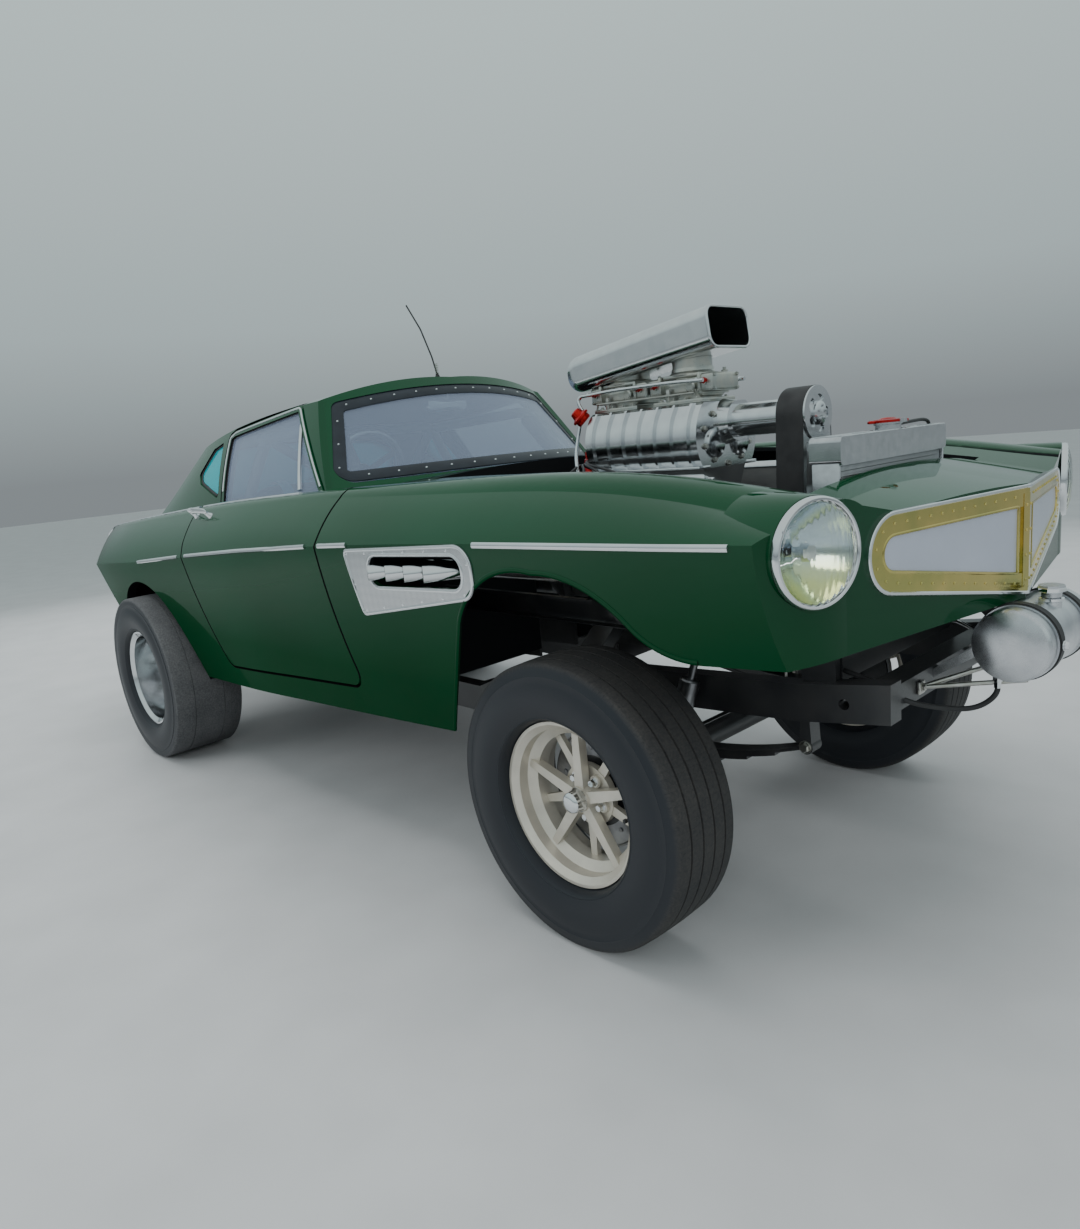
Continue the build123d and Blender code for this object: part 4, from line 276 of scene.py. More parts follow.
def cast(nodes, start_point, direction):
    """Where a straight line first meets one of these CAD nodes, and the surface's normal there."""
    for node in nodes:
        if node not in TREES:
            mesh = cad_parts[node].data
            TREES[node] = BVHTree.FromPolygons([v.co for v in mesh.vertices],
                                               [p.vertices for p in mesh.polygons])
    hits = [TREES[node].ray_cast(Vector(start_point), Vector(direction)) for node in nodes]
    hits = [(distance, point, normal) for point, normal, _, distance in hits if point is not None]
    if not hits:
        return None
    _, point, normal = min(hits, key=lambda hit: hit[0])
    return point, normal if normal.dot(Vector(direction)) < 0 else -normal


def side_spots(nodes, points, y):
    """Where level lines in from one side of the car, at (x, z) points, meet these nodes."""
    spots = [cast(nodes, (x, 1.5 * y, z), (0, -y, 0)) for x, z in points]
    return [spot for spot in spots if spot]


def moulding(shape, spots, section, looped=False):
    """A strip laid along or round spots (point, normal): section lists (across, up) from edge to edge."""
    rings, last = [], len(spots) - 1
    for n, (point, normal) in enumerate(spots):
        before = spots[n - 1 if looped else max(n - 1, 0)][0]
        after = spots[(n + 1) % len(spots) if looped else min(n + 1, last)][0]
        side = (after - before).normalized().cross(normal).normalized()
        rings.append([point + side * a + normal * h for a, h in section])
    return skin(shape, rings, looped=looped, capped=not looped)


def between(points, step):
    """Points along straight runs, no further apart than a step."""
    out = []
    for (x0, z0), (x1, z1) in zip(points[:-1], points[1:]):
        count = max(1, round(hypot(x1 - x0, z1 - z0) / step))
        out += [(x0 + (x1 - x0) * n / count, z0 + (z1 - z0) * n / count) for n in range(count)]
    return [*out, points[-1]]


def side_run(line, low_x, high_x):
    """The part of a line that lies between two places along the car."""
    return [(x, z) for x, z in between(line, 0.04) if low_x <= x <= high_x]


for side, y in SIDES:
    for name, body, nodes, run in (
        ("quarter", "root", [f"rear_quarter_{side}"], side_run(TRIM_LINE, -1.1, -0.622)),
        ("door", f"{side}_door", [f"door_{side}"], side_run(TRIM_LINE, -0.596, 0.424)),
        ("wing_rear", "root", [f"front_wing_{side}"], side_run(TRIM_LINE, 0.452, 0.62)),
        ("wing", "root", [f"front_wing_{side}", "nose_panel"], side_run(WING_LINE, 1.16, 1.85)),
    ):
        strip = moulding(bmesh.new(), side_spots(nodes, run, y), STRIP_SECTION)
        add_piece(f"side_strip_{name}_{side}", strip, body, chrome, slot="chrome")

# Chassis frame: box-section rails and cross members in black chassis paint, welded, with the
# weld beads left as laid. Front axle, knuckles and rear axle are painted the same way.
chassis_black = surface("chassis_black", (0.011, 0.012, 0.014), (0.022, 0.022, 0.023), 0.38, 0.16, 0.006,
                        0.00012, Coat_Weight=0.35, Coat_Roughness=0.2)
dull_steel = surface("dull_steel", (0.34, 0.34, 0.35), (0.22, 0.22, 0.23), 0.36, 0.16, 0.003, 0.00006,
                     Metallic=1.0)
zinc = surface("zinc_plate", (0.62, 0.61, 0.58), (0.50, 0.49, 0.44), 0.30, 0.12, 0.002, 0.00003,
               Metallic=1.0)
finish_node(chassis_black, "frame", "front_axle", "rear_axle", "tie_rod", "knuckle_left", "knuckle_right")


def stand(origin, axis, hint=(0, 0, 1)):
    """A frame at a point whose third axis is the given one, with its first axis turned towards the hint."""
    third = Vector(axis).normalized()
    first = Vector(hint) - third * third.dot(Vector(hint))
    if first.length < 1e-6:
        first = third.orthogonal()
    first.normalize()
    turn = Matrix((first, third.cross(first), third)).transposed().to_4x4()
    return Matrix.Translation(Vector(origin)) @ turn


def turned(shape, profile, place, steps=48, looped=False):
    """A turned form: (radius, height) along a profile spun about the frame's third axis."""
    rings = [[place @ Vector((r * cos(2 * pi * n / steps), r * sin(2 * pi * n / steps), h))
              for n in range(steps)] for r, h in profile]
    return skin(shape, rings, looped=looped)


def bead(shape, points, radius):
    """A weld bead: a low ridge of overlapping drops along a line."""
    for (p, q) in zip(points[:-1], points[1:]):
        p, q = Vector(p), Vector(q)
        count = max(1, int((q - p).length / (radius * 0.9)))
        for n in range(count):
            place = stand(p + (q - p) * (n + 0.5) / count, q - p)
            turned(shape, [(0.0001, -radius * 0.8), (radius * 0.8, -radius * 0.4), (radius, 0.1 * radius),
                           (0.0001, radius * 0.9)], place, 8)
    return shape


beads = bmesh.new()
for x, z, size in ((1.880, 0.590, 0.060), (1.745, 0.657, 0.086), (0.470, 0.380, 0.060),
                   (-0.560, 0.392, 0.056), (-1.330, 0.555, 0.050)):
    square = [(a * size / 2, b * size / 2) for a, b in ((-1, -1), (1, -1), (1, 1), (-1, 1), (-1, -1))]
    for y in (-0.305, 0.305):
        bead(beads, [(x + a, y, z + b) for a, b in square], 0.004)
add_piece("frame_welds", beads, "root", chassis_black, slot="black_metal")

# Front axle fittings: U-bolts and plates clamp each leaf spring to the axle tube, bolts pass through
# the spring eyes, two radius rods with swivel ends run back to the rails, and a damper leans in
# from the axle on each side.
AXLE_X, AXLE_Z, SPRING_Y = 1.320, 0.357, 0.330


def heads(shape, places, radius, height, corners=6):
    """Bolt heads or nuts, each a washer under a chamfered head, at frames standing on their seats."""
    for place in places:
        turned(shape,
               [(0.0001, 0), (radius * 1.35, 0), (radius * 1.35, height * 0.22), (radius, height * 0.22)],
               place, 16)
        turned(shape,
               [(radius, height * 0.2), (radius, height * 0.86), (radius * 0.86, height), (0.0001, height)],
               place, corners)
    return shape


def pipe(name, points, radius, body, material):
    """A bent bar, pipe or hose: a round section along one smooth curve."""
    curve = bpy.data.curves.new(name, "CURVE")
    curve.dimensions, curve.bevel_depth, curve.bevel_resolution, curve.use_fill_caps = "3D", radius, 3, True
    spline = curve.splines.new("NURBS")
    spline.points.add(len(points) - 1)
    for knot, point in zip(spline.points, points):
        knot.co = (*point, 1)
    spline.order_u, spline.use_endpoint_u, spline.resolution_u = 3, True, 8
    curve.materials.append(material)
    made = bpy.data.objects.new(name, curve)
    bpy.context.scene.collection.objects.link(made)
    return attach(made, body)


def bar(shape, start_point, end_point, radius, steps=16, neck=0.0):
    """A straight round bar with lightly rounded ends, thinner by neck in its middle."""
    start_point, end_point = Vector(start_point), Vector(end_point)
    length, edge = (end_point - start_point).length, radius * 0.15
    profile = [(0.0001, 0), (radius - edge, 0), (radius, edge), (radius, length * 0.2),
               (radius - neck, length * 0.24), (radius - neck, length * 0.76), (radius, length * 0.8),
               (radius, length - edge), (radius - edge, length), (0.0001, length)]
    return turned(shape, profile, stand(start_point, end_point - start_point), steps)


for side, y in SIDES:
    for n, dx in enumerate((-0.042, 0.042)):
        low, top = AXLE_Z - 0.054, AXLE_Z + 0.058
        loop = [(AXLE_X + dx, y * (SPRING_Y + a), z) for a, z in
                ((-0.031, low), (-0.031, top - 0.010), (-0.031, top + 0.006), (-0.018, top + 0.010),
                 (0.018, top + 0.010), (0.031, top + 0.006), (0.031, top - 0.010), (0.031, low))]
        pipe(f"spring_u_bolt_{side}_{n}", loop, 0.005, "root", zinc)
    clamp = bmesh.new()
    heads(clamp, [stand((AXLE_X + dx, y * SPRING_Y + dy, AXLE_Z - 0.040), (0, 0, -1))
                  for dx in (-0.042, 0.042) for dy in (-0.031, 0.031)], 0.009, 0.011)
    plate = [(-0.056, -0.042), (0.056, -0.042), (0.060, -0.036), (0.060, 0.036), (0.056, 0.042),
             (-0.056, 0.042), (-0.060, 0.036), (-0.060, -0.036)]
    skin(clamp, [[Vector((AXLE_X + a, y * SPRING_Y + b, AXLE_Z + h)) for a, b in plate]
                 for h in (-0.041, -0.031)], capped=True)
    heads(clamp, [stand((AXLE_X + end * 0.400, y * (SPRING_Y + 0.021 * s), 0.459), (0, y * s, 0))
                  for end in (-1, 1) for s in (-1, 1)], 0.012, 0.011)
    add_piece(f"spring_clamp_{side}", clamp, "root", zinc, slot="dark_steel")
    rod = bmesh.new()
    bar(rod, (1.286, y * 0.388, 0.318), (0.640, y * 0.371, 0.440), 0.014, neck=0.002)
    for x, w, z in ((1.290, 0.388, 0.318), (0.632, 0.371, 0.442)):
        turned(rod, [(0.008, -0.014), (0.022, -0.012), (0.025, 0), (0.022, 0.012), (0.008, 0.014)],
               stand((x, y * w, z), (0, 1, 0)), 20, looped=True)
    bar(rod, (0.632, y * 0.352, 0.442), (0.632, y * 0.392, 0.442), 0.008)
    add_piece(f"radius_rod_{side}", rod, "root", chassis_black, slot="black_metal")
    damper = bmesh.new()
    bar(damper, (1.372, y * 0.430, 0.372), (1.418, y * 0.392, 0.560), 0.021)
    bar(damper, (1.408, y * 0.400, 0.520), (1.446, y * 0.370, 0.676), 0.010)
    bar(damper, (1.399, y * 0.4075, 0.482), (1.425, y * 0.3865, 0.590), 0.026)
    for x, w, z in ((1.370, 0.432, 0.364), (1.448, 0.369, 0.684)):
        turned(damper, [(0.006, -0.016), (0.016, -0.015), (0.018, 0), (0.016, 0.015), (0.006, 0.016)],
               stand((x, y * w, z), (0, 1, 0)), 16, looped=True)
    bar(damper, (1.448, y * 0.355, 0.684), (1.448, y * 0.392, 0.684), 0.006)
    add_piece(f"front_damper_{side}", damper, "root", dull_steel, slot="dark_steel")

# Front brakes: a cast drum finned at its edge behind each wheel, fed by a flexible hose that hangs
# in the arch from a bracket on the frame and screws into the back plate.
rubber = surface("hose_rubber", (0.010, 0.010, 0.011), (0.020, 0.020, 0.021), 0.48, 0.14, 0.003, 0.00008)
for side, y in SIDES:
    drum = bmesh.new()
    profile = [(0.143, 0.618)]
    for n in range(4):
        profile += [(0.143, 0.6195 + 0.005 * n), (0.148, 0.6200 + 0.005 * n), (0.148, 0.6225 + 0.005 * n),
                    (0.143, 0.6230 + 0.005 * n)]
    profile += [(0.140, 0.6425), (0.118, 0.6440), (0.090, 0.6440)]
    turned(drum, profile, stand((AXLE_X, 0, AXLE_Z), (0, y, 0)), 72)
    heads(drum, [stand((AXLE_X + 0.11 * cos(a), y * 0.643, AXLE_Z + 0.11 * sin(a)), (0, y, 0))
                 for a in (0.4, 1.66, 2.9, 4.17, 5.4)], 0.006, 0.004)
    add_piece(f"brake_drum_{side}", drum, f"{side}_knuckle", dull_steel, slot="dark_steel")
    hose = [(1.150, y * 0.352, 0.640), (1.170, y * 0.372, 0.630), (1.215, y * 0.430, 0.560),
            (1.236, y * 0.500, 0.450), (1.250, y * 0.560, 0.405), (1.268, y * 0.592, 0.425),
            (1.272, y * 0.616, 0.432)]
    pipe(f"brake_hose_{side}", hose, 0.0055, "root", rubber)

# Rear axle fittings: a finned cover bolted round the differential, coil springs over the dampers,
# the bolts of the ladder bars and the chain that stops the axle dropping at a lift.
REAR_X, REAR_Z = -1.130, 0.355
cover = bmesh.new()
turned(cover, [(0.118, 0.000), (0.126, 0.004), (0.126, 0.012), (0.112, 0.016), (0.098, 0.030)],
       stand((REAR_X - 0.092, 0, REAR_Z), (-1, 0, 0)), 48)
heads(cover, [stand((REAR_X - 0.104, 0.119 * cos(a), REAR_Z + 0.119 * sin(a)), (-1, 0, 0))
              for a in [2 * pi * n / 10 for n in range(10)]], 0.007, 0.007)
heads(cover, [stand((REAR_X - 0.121, 0.020, REAR_Z - 0.012), (-1, 0, 0))], 0.011, 0.008)
add_piece("differential_cover", cover, "root", dull_steel, slot="dark_steel")
for side, y in SIDES:
    place = stand((-1.192, y * 0.330, 0.375), (-0.18, 0, 1))
    coil = [place @ Vector((0.047 * cos(0.6 * n), 0.047 * sin(0.6 * n), 0.006 + 0.0022 * n))
            for n in range(62)]
    pipe(f"rear_coil_{side}", coil, 0.0055, "root", chrome)
    bolts = bmesh.new()
    heads(bolts, [stand((REAR_X + a, y * (0.330 + 0.016 * s), REAR_Z + b), (0, y * s, 0))
                  for a, b in ((0.040, 0.062), (0.040, -0.062), (-0.044, 0.060), (-0.044, -0.060))
                  for s in (-1, 1)]
          + [stand((-0.420, y * (0.330 + 0.016 * s), 0.311), (0, y * s, 0)) for s in (-1, 1)], 0.011, 0.009)
    add_piece(f"ladder_bar_bolts_{side}", bolts, "root", zinc, slot="dark_steel")


def slack(t):
    """A point on the line of the slack chain, from 0 at one end to 1 at the other."""
    return Vector((-1.225, -0.105 + 0.210 * t, 0.262 - 0.075 * (1 - (2 * t - 1) ** 2)))


chain = bmesh.new()
for n in range(17):
    t = n / 16
    place = stand(slack(t), slack(t + 0.02) - slack(t)) @ Matrix.Rotation(pi / 2 * (n % 2), 4, "Z")
    rings = []
    for m in range(12):
        a = 2 * pi * m / 12
        middle = Vector((0.0062 * cos(a), 0, 0.0062 * sin(a) + (0.0045 if sin(a) > 0 else -0.0045)))
        out = Vector((cos(a), 0, sin(a)))
        rings.append([place @ (middle + out * 0.002 * cos(b) + Vector((0, 0.002 * sin(b), 0)))
                      for b in [2 * pi * k / 6 for k in range(6)]])
    skin(chain, rings, looped=True)
add_piece("axle_chain", chain, "root", zinc, slot="dark_steel")

# Front tyres: narrow cross-plies of black rubber, moulded with four grooves and fine cuts across
# the ribs. The tread is dusty and the flanks have a blue-black dressing.
FRONT_HUB, REAR_HUB = (1.320, 0.676, 0.357), (-1.130, 0.767, 0.355)


def ripple(value, pitch):
    """An even wave along a value, from 0 to 1."""
    return value.node("ShaderNodeMath", {"operation": "SINE"}, {0: value * pitch}) * 0.5 + 0.5


def rubber_finish(name, centre, dust_low, dust_high, dust, cuts):
    """Tyre rubber: dressed flanks, a dusty tread above a radius, and cuts across it where wanted."""
    material, shader, start = new_finish(name)
    here = start.node("ShaderNodeTexCoord", output="Object")
    from_hub = start.node("ShaderNodeVectorMath", {"operation": "SUBTRACT"},
                          {0: here, 1: (centre[0], 0, centre[2])})
    flat = start.node("ShaderNodeVectorMath", {"operation": "MULTIPLY"}, {0: from_hub, 1: (1, 0, 1)})
    radius = start.node("ShaderNodeVectorMath", {"operation": "LENGTH"}, {0: flat}, "Value")
    x = start.node("ShaderNodeSeparateXYZ", None, {0: flat}, "X")
    z = start.node("ShaderNodeSeparateXYZ", None, {0: flat}, "Z")
    tread = radius.over(dust_low, dust_high)
    scuff = grain(start, 0.09, 3.0).over(0.2, 0.8) * 0.35 + grain(start, 0.006, 6.0).over(0.1, 0.7) * 0.65
    turn = start.maths("ARCTAN2", z, x)
    cut = ripple(turn, cuts).over(0.90, 0.96) * tread
    fine = grain(start, 0.0022, 2.0)
    colour = (tread * scuff).blend((0.0085, 0.0105, 0.0150), dust)
    link(shader, Base_Color=colour, Roughness=tread * 0.36 + fine * 0.1 + 0.40,
         Normal=bumped(start, fine * 0.2 + ripple(radius, 2600) * 0.06 - cut * 1.5, 0.0010, 0.5))
    return material


front_rubber = rubber_finish("front_rubber", FRONT_HUB, 0.340, 0.352, (0.050, 0.047, 0.044), 150)
slick_rubber = rubber_finish("slick_rubber", REAR_HUB, 0.335, 0.350, (0.125, 0.126, 0.130), 0)


def tyre_profile(half, radius, seat, side, shoulder, crown_drop, grooves, groove_w, groove_d):
    """(radius, height) from the inner bead over the tread to the outer bead, with its grooves cut."""
    flank = [(0.1905, seat), (0.2052, seat + 0.001), (0.2095, seat + 0.014), (0.2150, half - 0.0155),
             (0.2210, half - 0.0105), (0.2232, half - 0.0115), (0.2260, half - 0.0105),
             (0.2450, half - 0.003), (side, half - 0.0005), (side + 0.018, half - 0.0012),
             (side + 0.036, half - 0.0046), (side + 0.052, half - 0.0085),
             (side + 0.0545, half - 0.0078), (side + 0.057, half - 0.0098),
             (radius - crown_drop - 0.009, half - shoulder + 0.0035),
             (radius - crown_drop - 0.003, half - shoulder)]
    edges = []
    for middle in sorted(grooves):
        edges += [(middle - groove_w / 2, 0), (middle - groove_w / 2 + 0.0006, groove_d),
                  (middle + groove_w / 2 - 0.0006, groove_d), (middle + groove_w / 2, 0)]
    span = half - shoulder - 0.004
    edges = [(-span, 0), *edges, (span, 0)]
    tread = [(radius - crown_drop * (h / span) ** 2 - d, h) for h, d in edges]
    return [(r, -h) for r, h in flank] + tread + [(r, h) for r, h in flank[::-1]]


for side, y in SIDES:
    x, middle, z = FRONT_HUB
    tyre = turned(bmesh.new(), tyre_profile(0.1125, 0.357, 0.0612, 0.268, 0.016, 0.003,
                                            (-0.060, -0.020, 0.020, 0.060), 0.0055, 0.0065),
                  stand((x, y * middle, z), (0, y, 0)), 144)
    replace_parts(add_piece(f"tyre_front_{side}", tyre, f"{side}_front_wheel", front_rubber, slot="tyre"),
                f"front_tyre_{side}")

# Rear tyres: wide drag slicks, soft grey rubber with no tread but two moulded wear lines, scuffed
# and dusty from the strip, on soft flanks that fold slightly near the rim.
for side, y in SIDES:
    x, middle, z = REAR_HUB
    slick = turned(bmesh.new(),
                   tyre_profile(0.150, 0.355, 0.1112, 0.266, 0.012, 0.002, (-0.062, 0.062), 0.0035, 0.003),
                   stand((x, y * middle, z), (0, y, 0)), 144)
    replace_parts(add_piece(f"tyre_rear_{side}", slick, f"{side}_rear_wheel", slick_rubber, slot="tyre"),
                f"rear_tyre_{side}")

# Wheels: cast magnesium in front, in warm silver paint with machined rims, chromed nuts on the short
# spokes and a pressed cap; spun and polished aluminium behind, with plated nuts on a dark hub.
cast_silver = surface("wheel_silver", (0.66, 0.62, 0.54), (0.58, 0.545, 0.48), 0.36, 0.12, 0.004, 0.00012,
                      Metallic=0.55, Coat_Weight=0.25, Coat_Roughness=0.15)
polished, shader, start = new_finish("polished_aluminium", Metallic=1.0)
lathe_lines = grain(start, 0.0011, 2.0)
link(shader, Base_Color=grain(start, 0.05).over(0.3, 0.7).blend((0.78, 0.79, 0.80), (0.68, 0.70, 0.72)),
     Roughness=lathe_lines * 0.10 + 0.12, Normal=bumped(start, lathe_lines, 0.00004, 0.3))
finish_node(cast_silver, "front_wheel_left", "front_wheel_right")
finish_node(polished, "rear_wheel_left", "rear_wheel_right")
for side, y in SIDES:
    x, _, z = FRONT_HUB
    trim = bmesh.new()
    turned(trim, [(0.0305, 0.056), (0.0300, 0.060), (0.0270, 0.064), (0.0262, 0.083), (0.0215, 0.0885),
                  (0.0120, 0.0905), (0.0001, 0.0910)], stand((x, y * 0.656, z), (0, y, 0)), 40)
    heads(trim, [stand((x + 0.052 * cos(a), y * 0.6815, z - 0.052 * sin(a) * y), (0, y, 0))
                 for a in [radians(126 + 72 * n) for n in range(5)]], 0.0095, 0.016)
    add_piece(f"front_nuts_{side}", trim, f"{side}_front_wheel", chrome, slot="chrome")
    valve = bmesh.new()
    bar(valve, (x + 0.176, y * 0.706, z), (x + 0.170, y * 0.731, z), 0.004, 12)
    bar(valve, (x + 0.170, y * 0.730, z), (x + 0.1685, y * 0.738, z), 0.0052, 12)
    add_piece(f"front_valve_{side}", valve, f"{side}_front_wheel", rubber)
    x, _, z = REAR_HUB
    rear = bmesh.new()
    turned(rear,
           [(0.046, -0.018), (0.050, 0.000), (0.047, 0.004), (0.036, 0.007), (0.034, 0.030), (0.030, 0.035),
            (0.0001, 0.036)], stand((x, y * 0.716, z), (0, y, 0)), 40)
    add_piece(f"rear_hub_cap_{side}", rear, f"{side}_rear_wheel", dull_steel, slot="dark_steel")
    studs = bmesh.new()
    for n in range(5):
        a = radians(126 + 72 * n)
        turned(studs, [(0.0060, 0.020), (0.0060, 0.040), (0.0048, 0.042), (0.0001, 0.042)],
               stand((x + 0.060 * cos(a), y * 0.716, z - 0.060 * sin(a)), (0, y, 0)), 12)
    add_piece(f"rear_studs_{side}", studs, f"{side}_rear_wheel", zinc, slot="chrome")

# The engine: an iron V8 painted black, under tall polished rocker covers, with a moulded plug lead
# to each cylinder from the magneto behind the blower, and the water pump and its hoses in front.
iron = surface("engine_black", (0.020, 0.021, 0.022), (0.035, 0.035, 0.034), 0.42, 0.16, 0.003, 0.00015)
cast_alloy = surface("cast_aluminium", (0.54, 0.55, 0.56), (0.42, 0.43, 0.44), 0.34, 0.14, 0.0022, 0.00022,
                     Metallic=1.0)
red_anodised = surface("red_fittings", (0.50, 0.012, 0.012), (0.36, 0.008, 0.008), 0.22, 0.08, 0.002,
                       0.00002, Metallic=0.7)
finish_node(iron, "engine")


def box_piece(shape, place, size, edge, cuts=1):
    """A block with rounded edges, centred on a frame, its size along that frame's three axes."""
    made = bmesh.ops.create_cube(shape, size=1.0, matrix=place @ Matrix.Diagonal((*size, 1)))
    edges = {e for v in made["verts"] for e in v.link_edges}
    bmesh.ops.bevel(shape, geom=list(edges), offset=edge, segments=cuts + 1, profile=0.5, affect="EDGES")
    return shape


for side, y in SIDES:
    tilt = stand((1.110, y * 0.2628, 1.0208), (0, y * sin(pi / 4), cos(pi / 4)), (1, 0, 0))
    cover = bmesh.new()
    box_piece(cover, tilt @ Matrix.Translation((0, 0, 0.0165)), (0.566, 0.142, 0.034), 0.011, 2)
    box_piece(cover, tilt @ Matrix.Translation((0, 0, 0.0015)), (0.584, 0.158, 0.008), 0.003)
    for n in range(7):
        box_piece(cover, tilt @ Matrix.Translation((0, -0.045 + 0.015 * n, 0.0345)), (0.500, 0.0055, 0.007),
                  0.002)
    heads(cover, [tilt @ Matrix.Translation((a, b, 0.005)) for a in (-0.27, -0.09, 0.09, 0.27)
                  for b in (-0.0735, 0.0735)], 0.0045, 0.007)
    turned(cover, [(0.0001, 0.062), (0.018, 0.060), (0.020, 0.052), (0.017, 0.048), (0.017, 0.034)],
           tilt @ Matrix.Translation((-0.18, 0, 0)), 24)
    add_piece(f"rocker_cover_{side}", cover, "root", polished, slot="polished")
    for n in range(4):
        port = Vector((0.880 + 0.140 * n, y * 0.2560, 0.8750))
        lead = [port, port + Vector((0, y * 0.042, 0.028)), port + Vector((-0.010, y * 0.096, 0.100)),
                port + Vector((-0.030, y * 0.080, 0.186)), Vector((0.880 + 0.060 * n, y * 0.200, 1.105)),
                Vector((0.820 + 0.020 * n, y * (0.100 + 0.018 * n), 1.130)),
                Vector((0.800, y * 0.040, 1.110 + 0.008 * n))]
        pipe(f"plug_lead_{side}_{n}", lead, 0.0042, "root", rubber)
        boot = bmesh.new()
        turned(boot, [(0.0050, 0.044), (0.0075, 0.040), (0.0085, 0.016), (0.0110, 0.010), (0.0110, -0.004)],
               stand(port, (0, y * 0.83, 0.55)), 14)
        add_piece(f"plug_boot_{side}_{n}", boot, "root", rubber)
magneto = bmesh.new()
turned(magneto, [(0.020, -0.10), (0.022, 0.000), (0.048, 0.006), (0.050, 0.050), (0.044, 0.060),
                 (0.040, 0.092), (0.030, 0.100), (0.0001, 0.102)], stand((0.800, 0, 1.045), (0, 0, 1)), 32)
for n in range(8):
    a = 2 * pi * n / 8 + 0.3
    turned(magneto, [(0.008, 0.0), (0.0075, 0.020), (0.0001, 0.021)],
           stand((0.800 + 0.030 * cos(a), 0.030 * sin(a), 1.142), (0, 0, 1)), 12)
add_piece("magneto", magneto, "root", red_anodised, slot="polished")
front = bmesh.new()
box_piece(front, stand((1.445, 0, 0.905), (1, 0, 0)), (0.190, 0.150, 0.036), 0.012)
turned(front, [(0.070, 0), (0.070, 0.030), (0.052, 0.042), (0.030, 0.045), (0.0001, 0.045)],
       stand((1.452, 0, 0.925), (1, 0, 0)), 36)
for y in (-1, 1):
    bar(front, (1.440, y * 0.040, 0.925), (1.448, y * 0.140, 0.965), 0.024)
heads(front, [stand((1.463, 0.062 * a, 0.905 + 0.078 * b), (1, 0, 0)) for a in (-1, 1) for b in (-1, 1)],
      0.007, 0.007)
add_piece("water_pump", front, "root", cast_alloy, slot="aluminium_cast")
pipe("hose_upper",
     [(1.722, 0.215, 1.118), (1.690, 0.215, 1.118), (1.640, 0.218, 1.112), (1.570, 0.190, 1.070),
      (1.500, 0.120, 1.020), (1.440, 0.080, 1.010), (1.418, 0.075, 1.005)], 0.020, "root", rubber)
pipe("hose_lower",
     [(1.722, -0.205, 0.742), (1.680, -0.205, 0.742), (1.620, -0.205, 0.760), (1.560, -0.180, 0.860),
      (1.480, -0.145, 0.945), (1.448, -0.138, 0.962)], 0.020, "root", rubber)
bands = bmesh.new()
for y, z in ((0.215, 1.118), (-0.205, 0.742)):
    turned(bands, [(0.0205, -0.006), (0.0222, -0.006), (0.0222, 0.006), (0.0205, 0.006)],
           stand((1.700, y, z), (1, 0, 0)), 28, looped=True)
    box_piece(bands, stand((1.700, y, z + 0.024), (1, 0, 0)), (0.010, 0.016, 0.010), 0.002)
add_piece("hose_bands", bands, "root", zinc)

# The blower: a ribbed aluminium case, polished, bolted along both flanges to its manifold, with a
# nose drive and toothed pulleys that carry the wide black belt.
finish_node(polished, "blower")
studs = bmesh.new()
heads(studs, [stand((0.905 + 0.0475 * n, y * 0.113, 1.0965), (0, 0, 1)) for n in range(9) for y in (-1, 1)],
      0.0065, 0.008)
ring = [2 * pi * n / 10 for n in range(10)]
for x, way in ((1.301, 1), (0.889, -1)):
    heads(studs, [stand((x, 0.110 * sin(a), 1.178 + 0.076 * cos(a)), (way, 0, 0)) for a in ring],
          0.0065, 0.008)
heads(studs, [stand((1.379, 0.036 * sin(a), 1.216 + 0.036 * cos(a)), (1, 0, 0)) for a in ring[::2]],
      0.005, 0.006)
add_piece("blower_bolts", studs, "root", zinc, slot="chrome")
case_ends = bmesh.new()
for x, way in ((1.3002, 1), (0.8898, -1)):
    for y in (0.058, -0.058):
        turned(case_ends, [(0.0001, 0.010), (0.034, 0.010), (0.040, 0.006), (0.041, 0.0)],
               stand((x, y, 1.160), (way, 0, 0)), 28)
for y in (-1, 1):
    box_piece(case_ends, Matrix.Translation((1.095, y * 0.112, 1.0985)), (0.418, 0.052, 0.010), 0.003)
add_piece("blower_covers", case_ends, "root", polished, slot="polished")

belt_rubber = surface("belt_rubber", (0.014, 0.014, 0.015), (0.022, 0.022, 0.023), 0.55, 0.12, 0.002, 0.0001)
TOP, LOW = Vector((1.536, 0, 1.216)), Vector((1.536, 0, 0.775))
TOP_R, LOW_R, BELT_HALF = 0.0668, 0.0848, 0.0385
lean = atan2(LOW_R - TOP_R, TOP.z - LOW.z)
rings = []
for centre, radius, first, last in ((TOP, TOP_R, -lean, pi + lean), (LOW, LOW_R, pi + lean, 2 * pi - lean)):
    for n in range(25):
        a = first + (last - first) * n / 24
        rings.append([centre + Vector((w, cos(a) * (radius + h), sin(a) * (radius + h))) for w, h in
                      ((-BELT_HALF, 0), (-BELT_HALF, 0.0022), (-BELT_HALF + 0.002, 0.003),
                       (BELT_HALF - 0.002, 0.003), (BELT_HALF, 0.0022), (BELT_HALF, 0))])
belt = skin(bmesh.new(), rings, looped=True)
for side in (-1, 1):
    foot = LOW + Vector((0, side * LOW_R * cos(lean), 0))
    run = TOP + Vector((0, side * TOP_R * cos(lean), 0)) - foot
    for n in range(30):
        middle = foot + run * (0.16 + 0.70 * n / 29)
        place = stand(middle - Vector((0, side * 0.0078, 0)), (0, side, 0), run)
        box_piece(belt, place, (0.0060, 0.072, 0.0040), 0.0012)
add_piece("blower_belt", belt, "root", belt_rubber)
pulleys = bmesh.new()
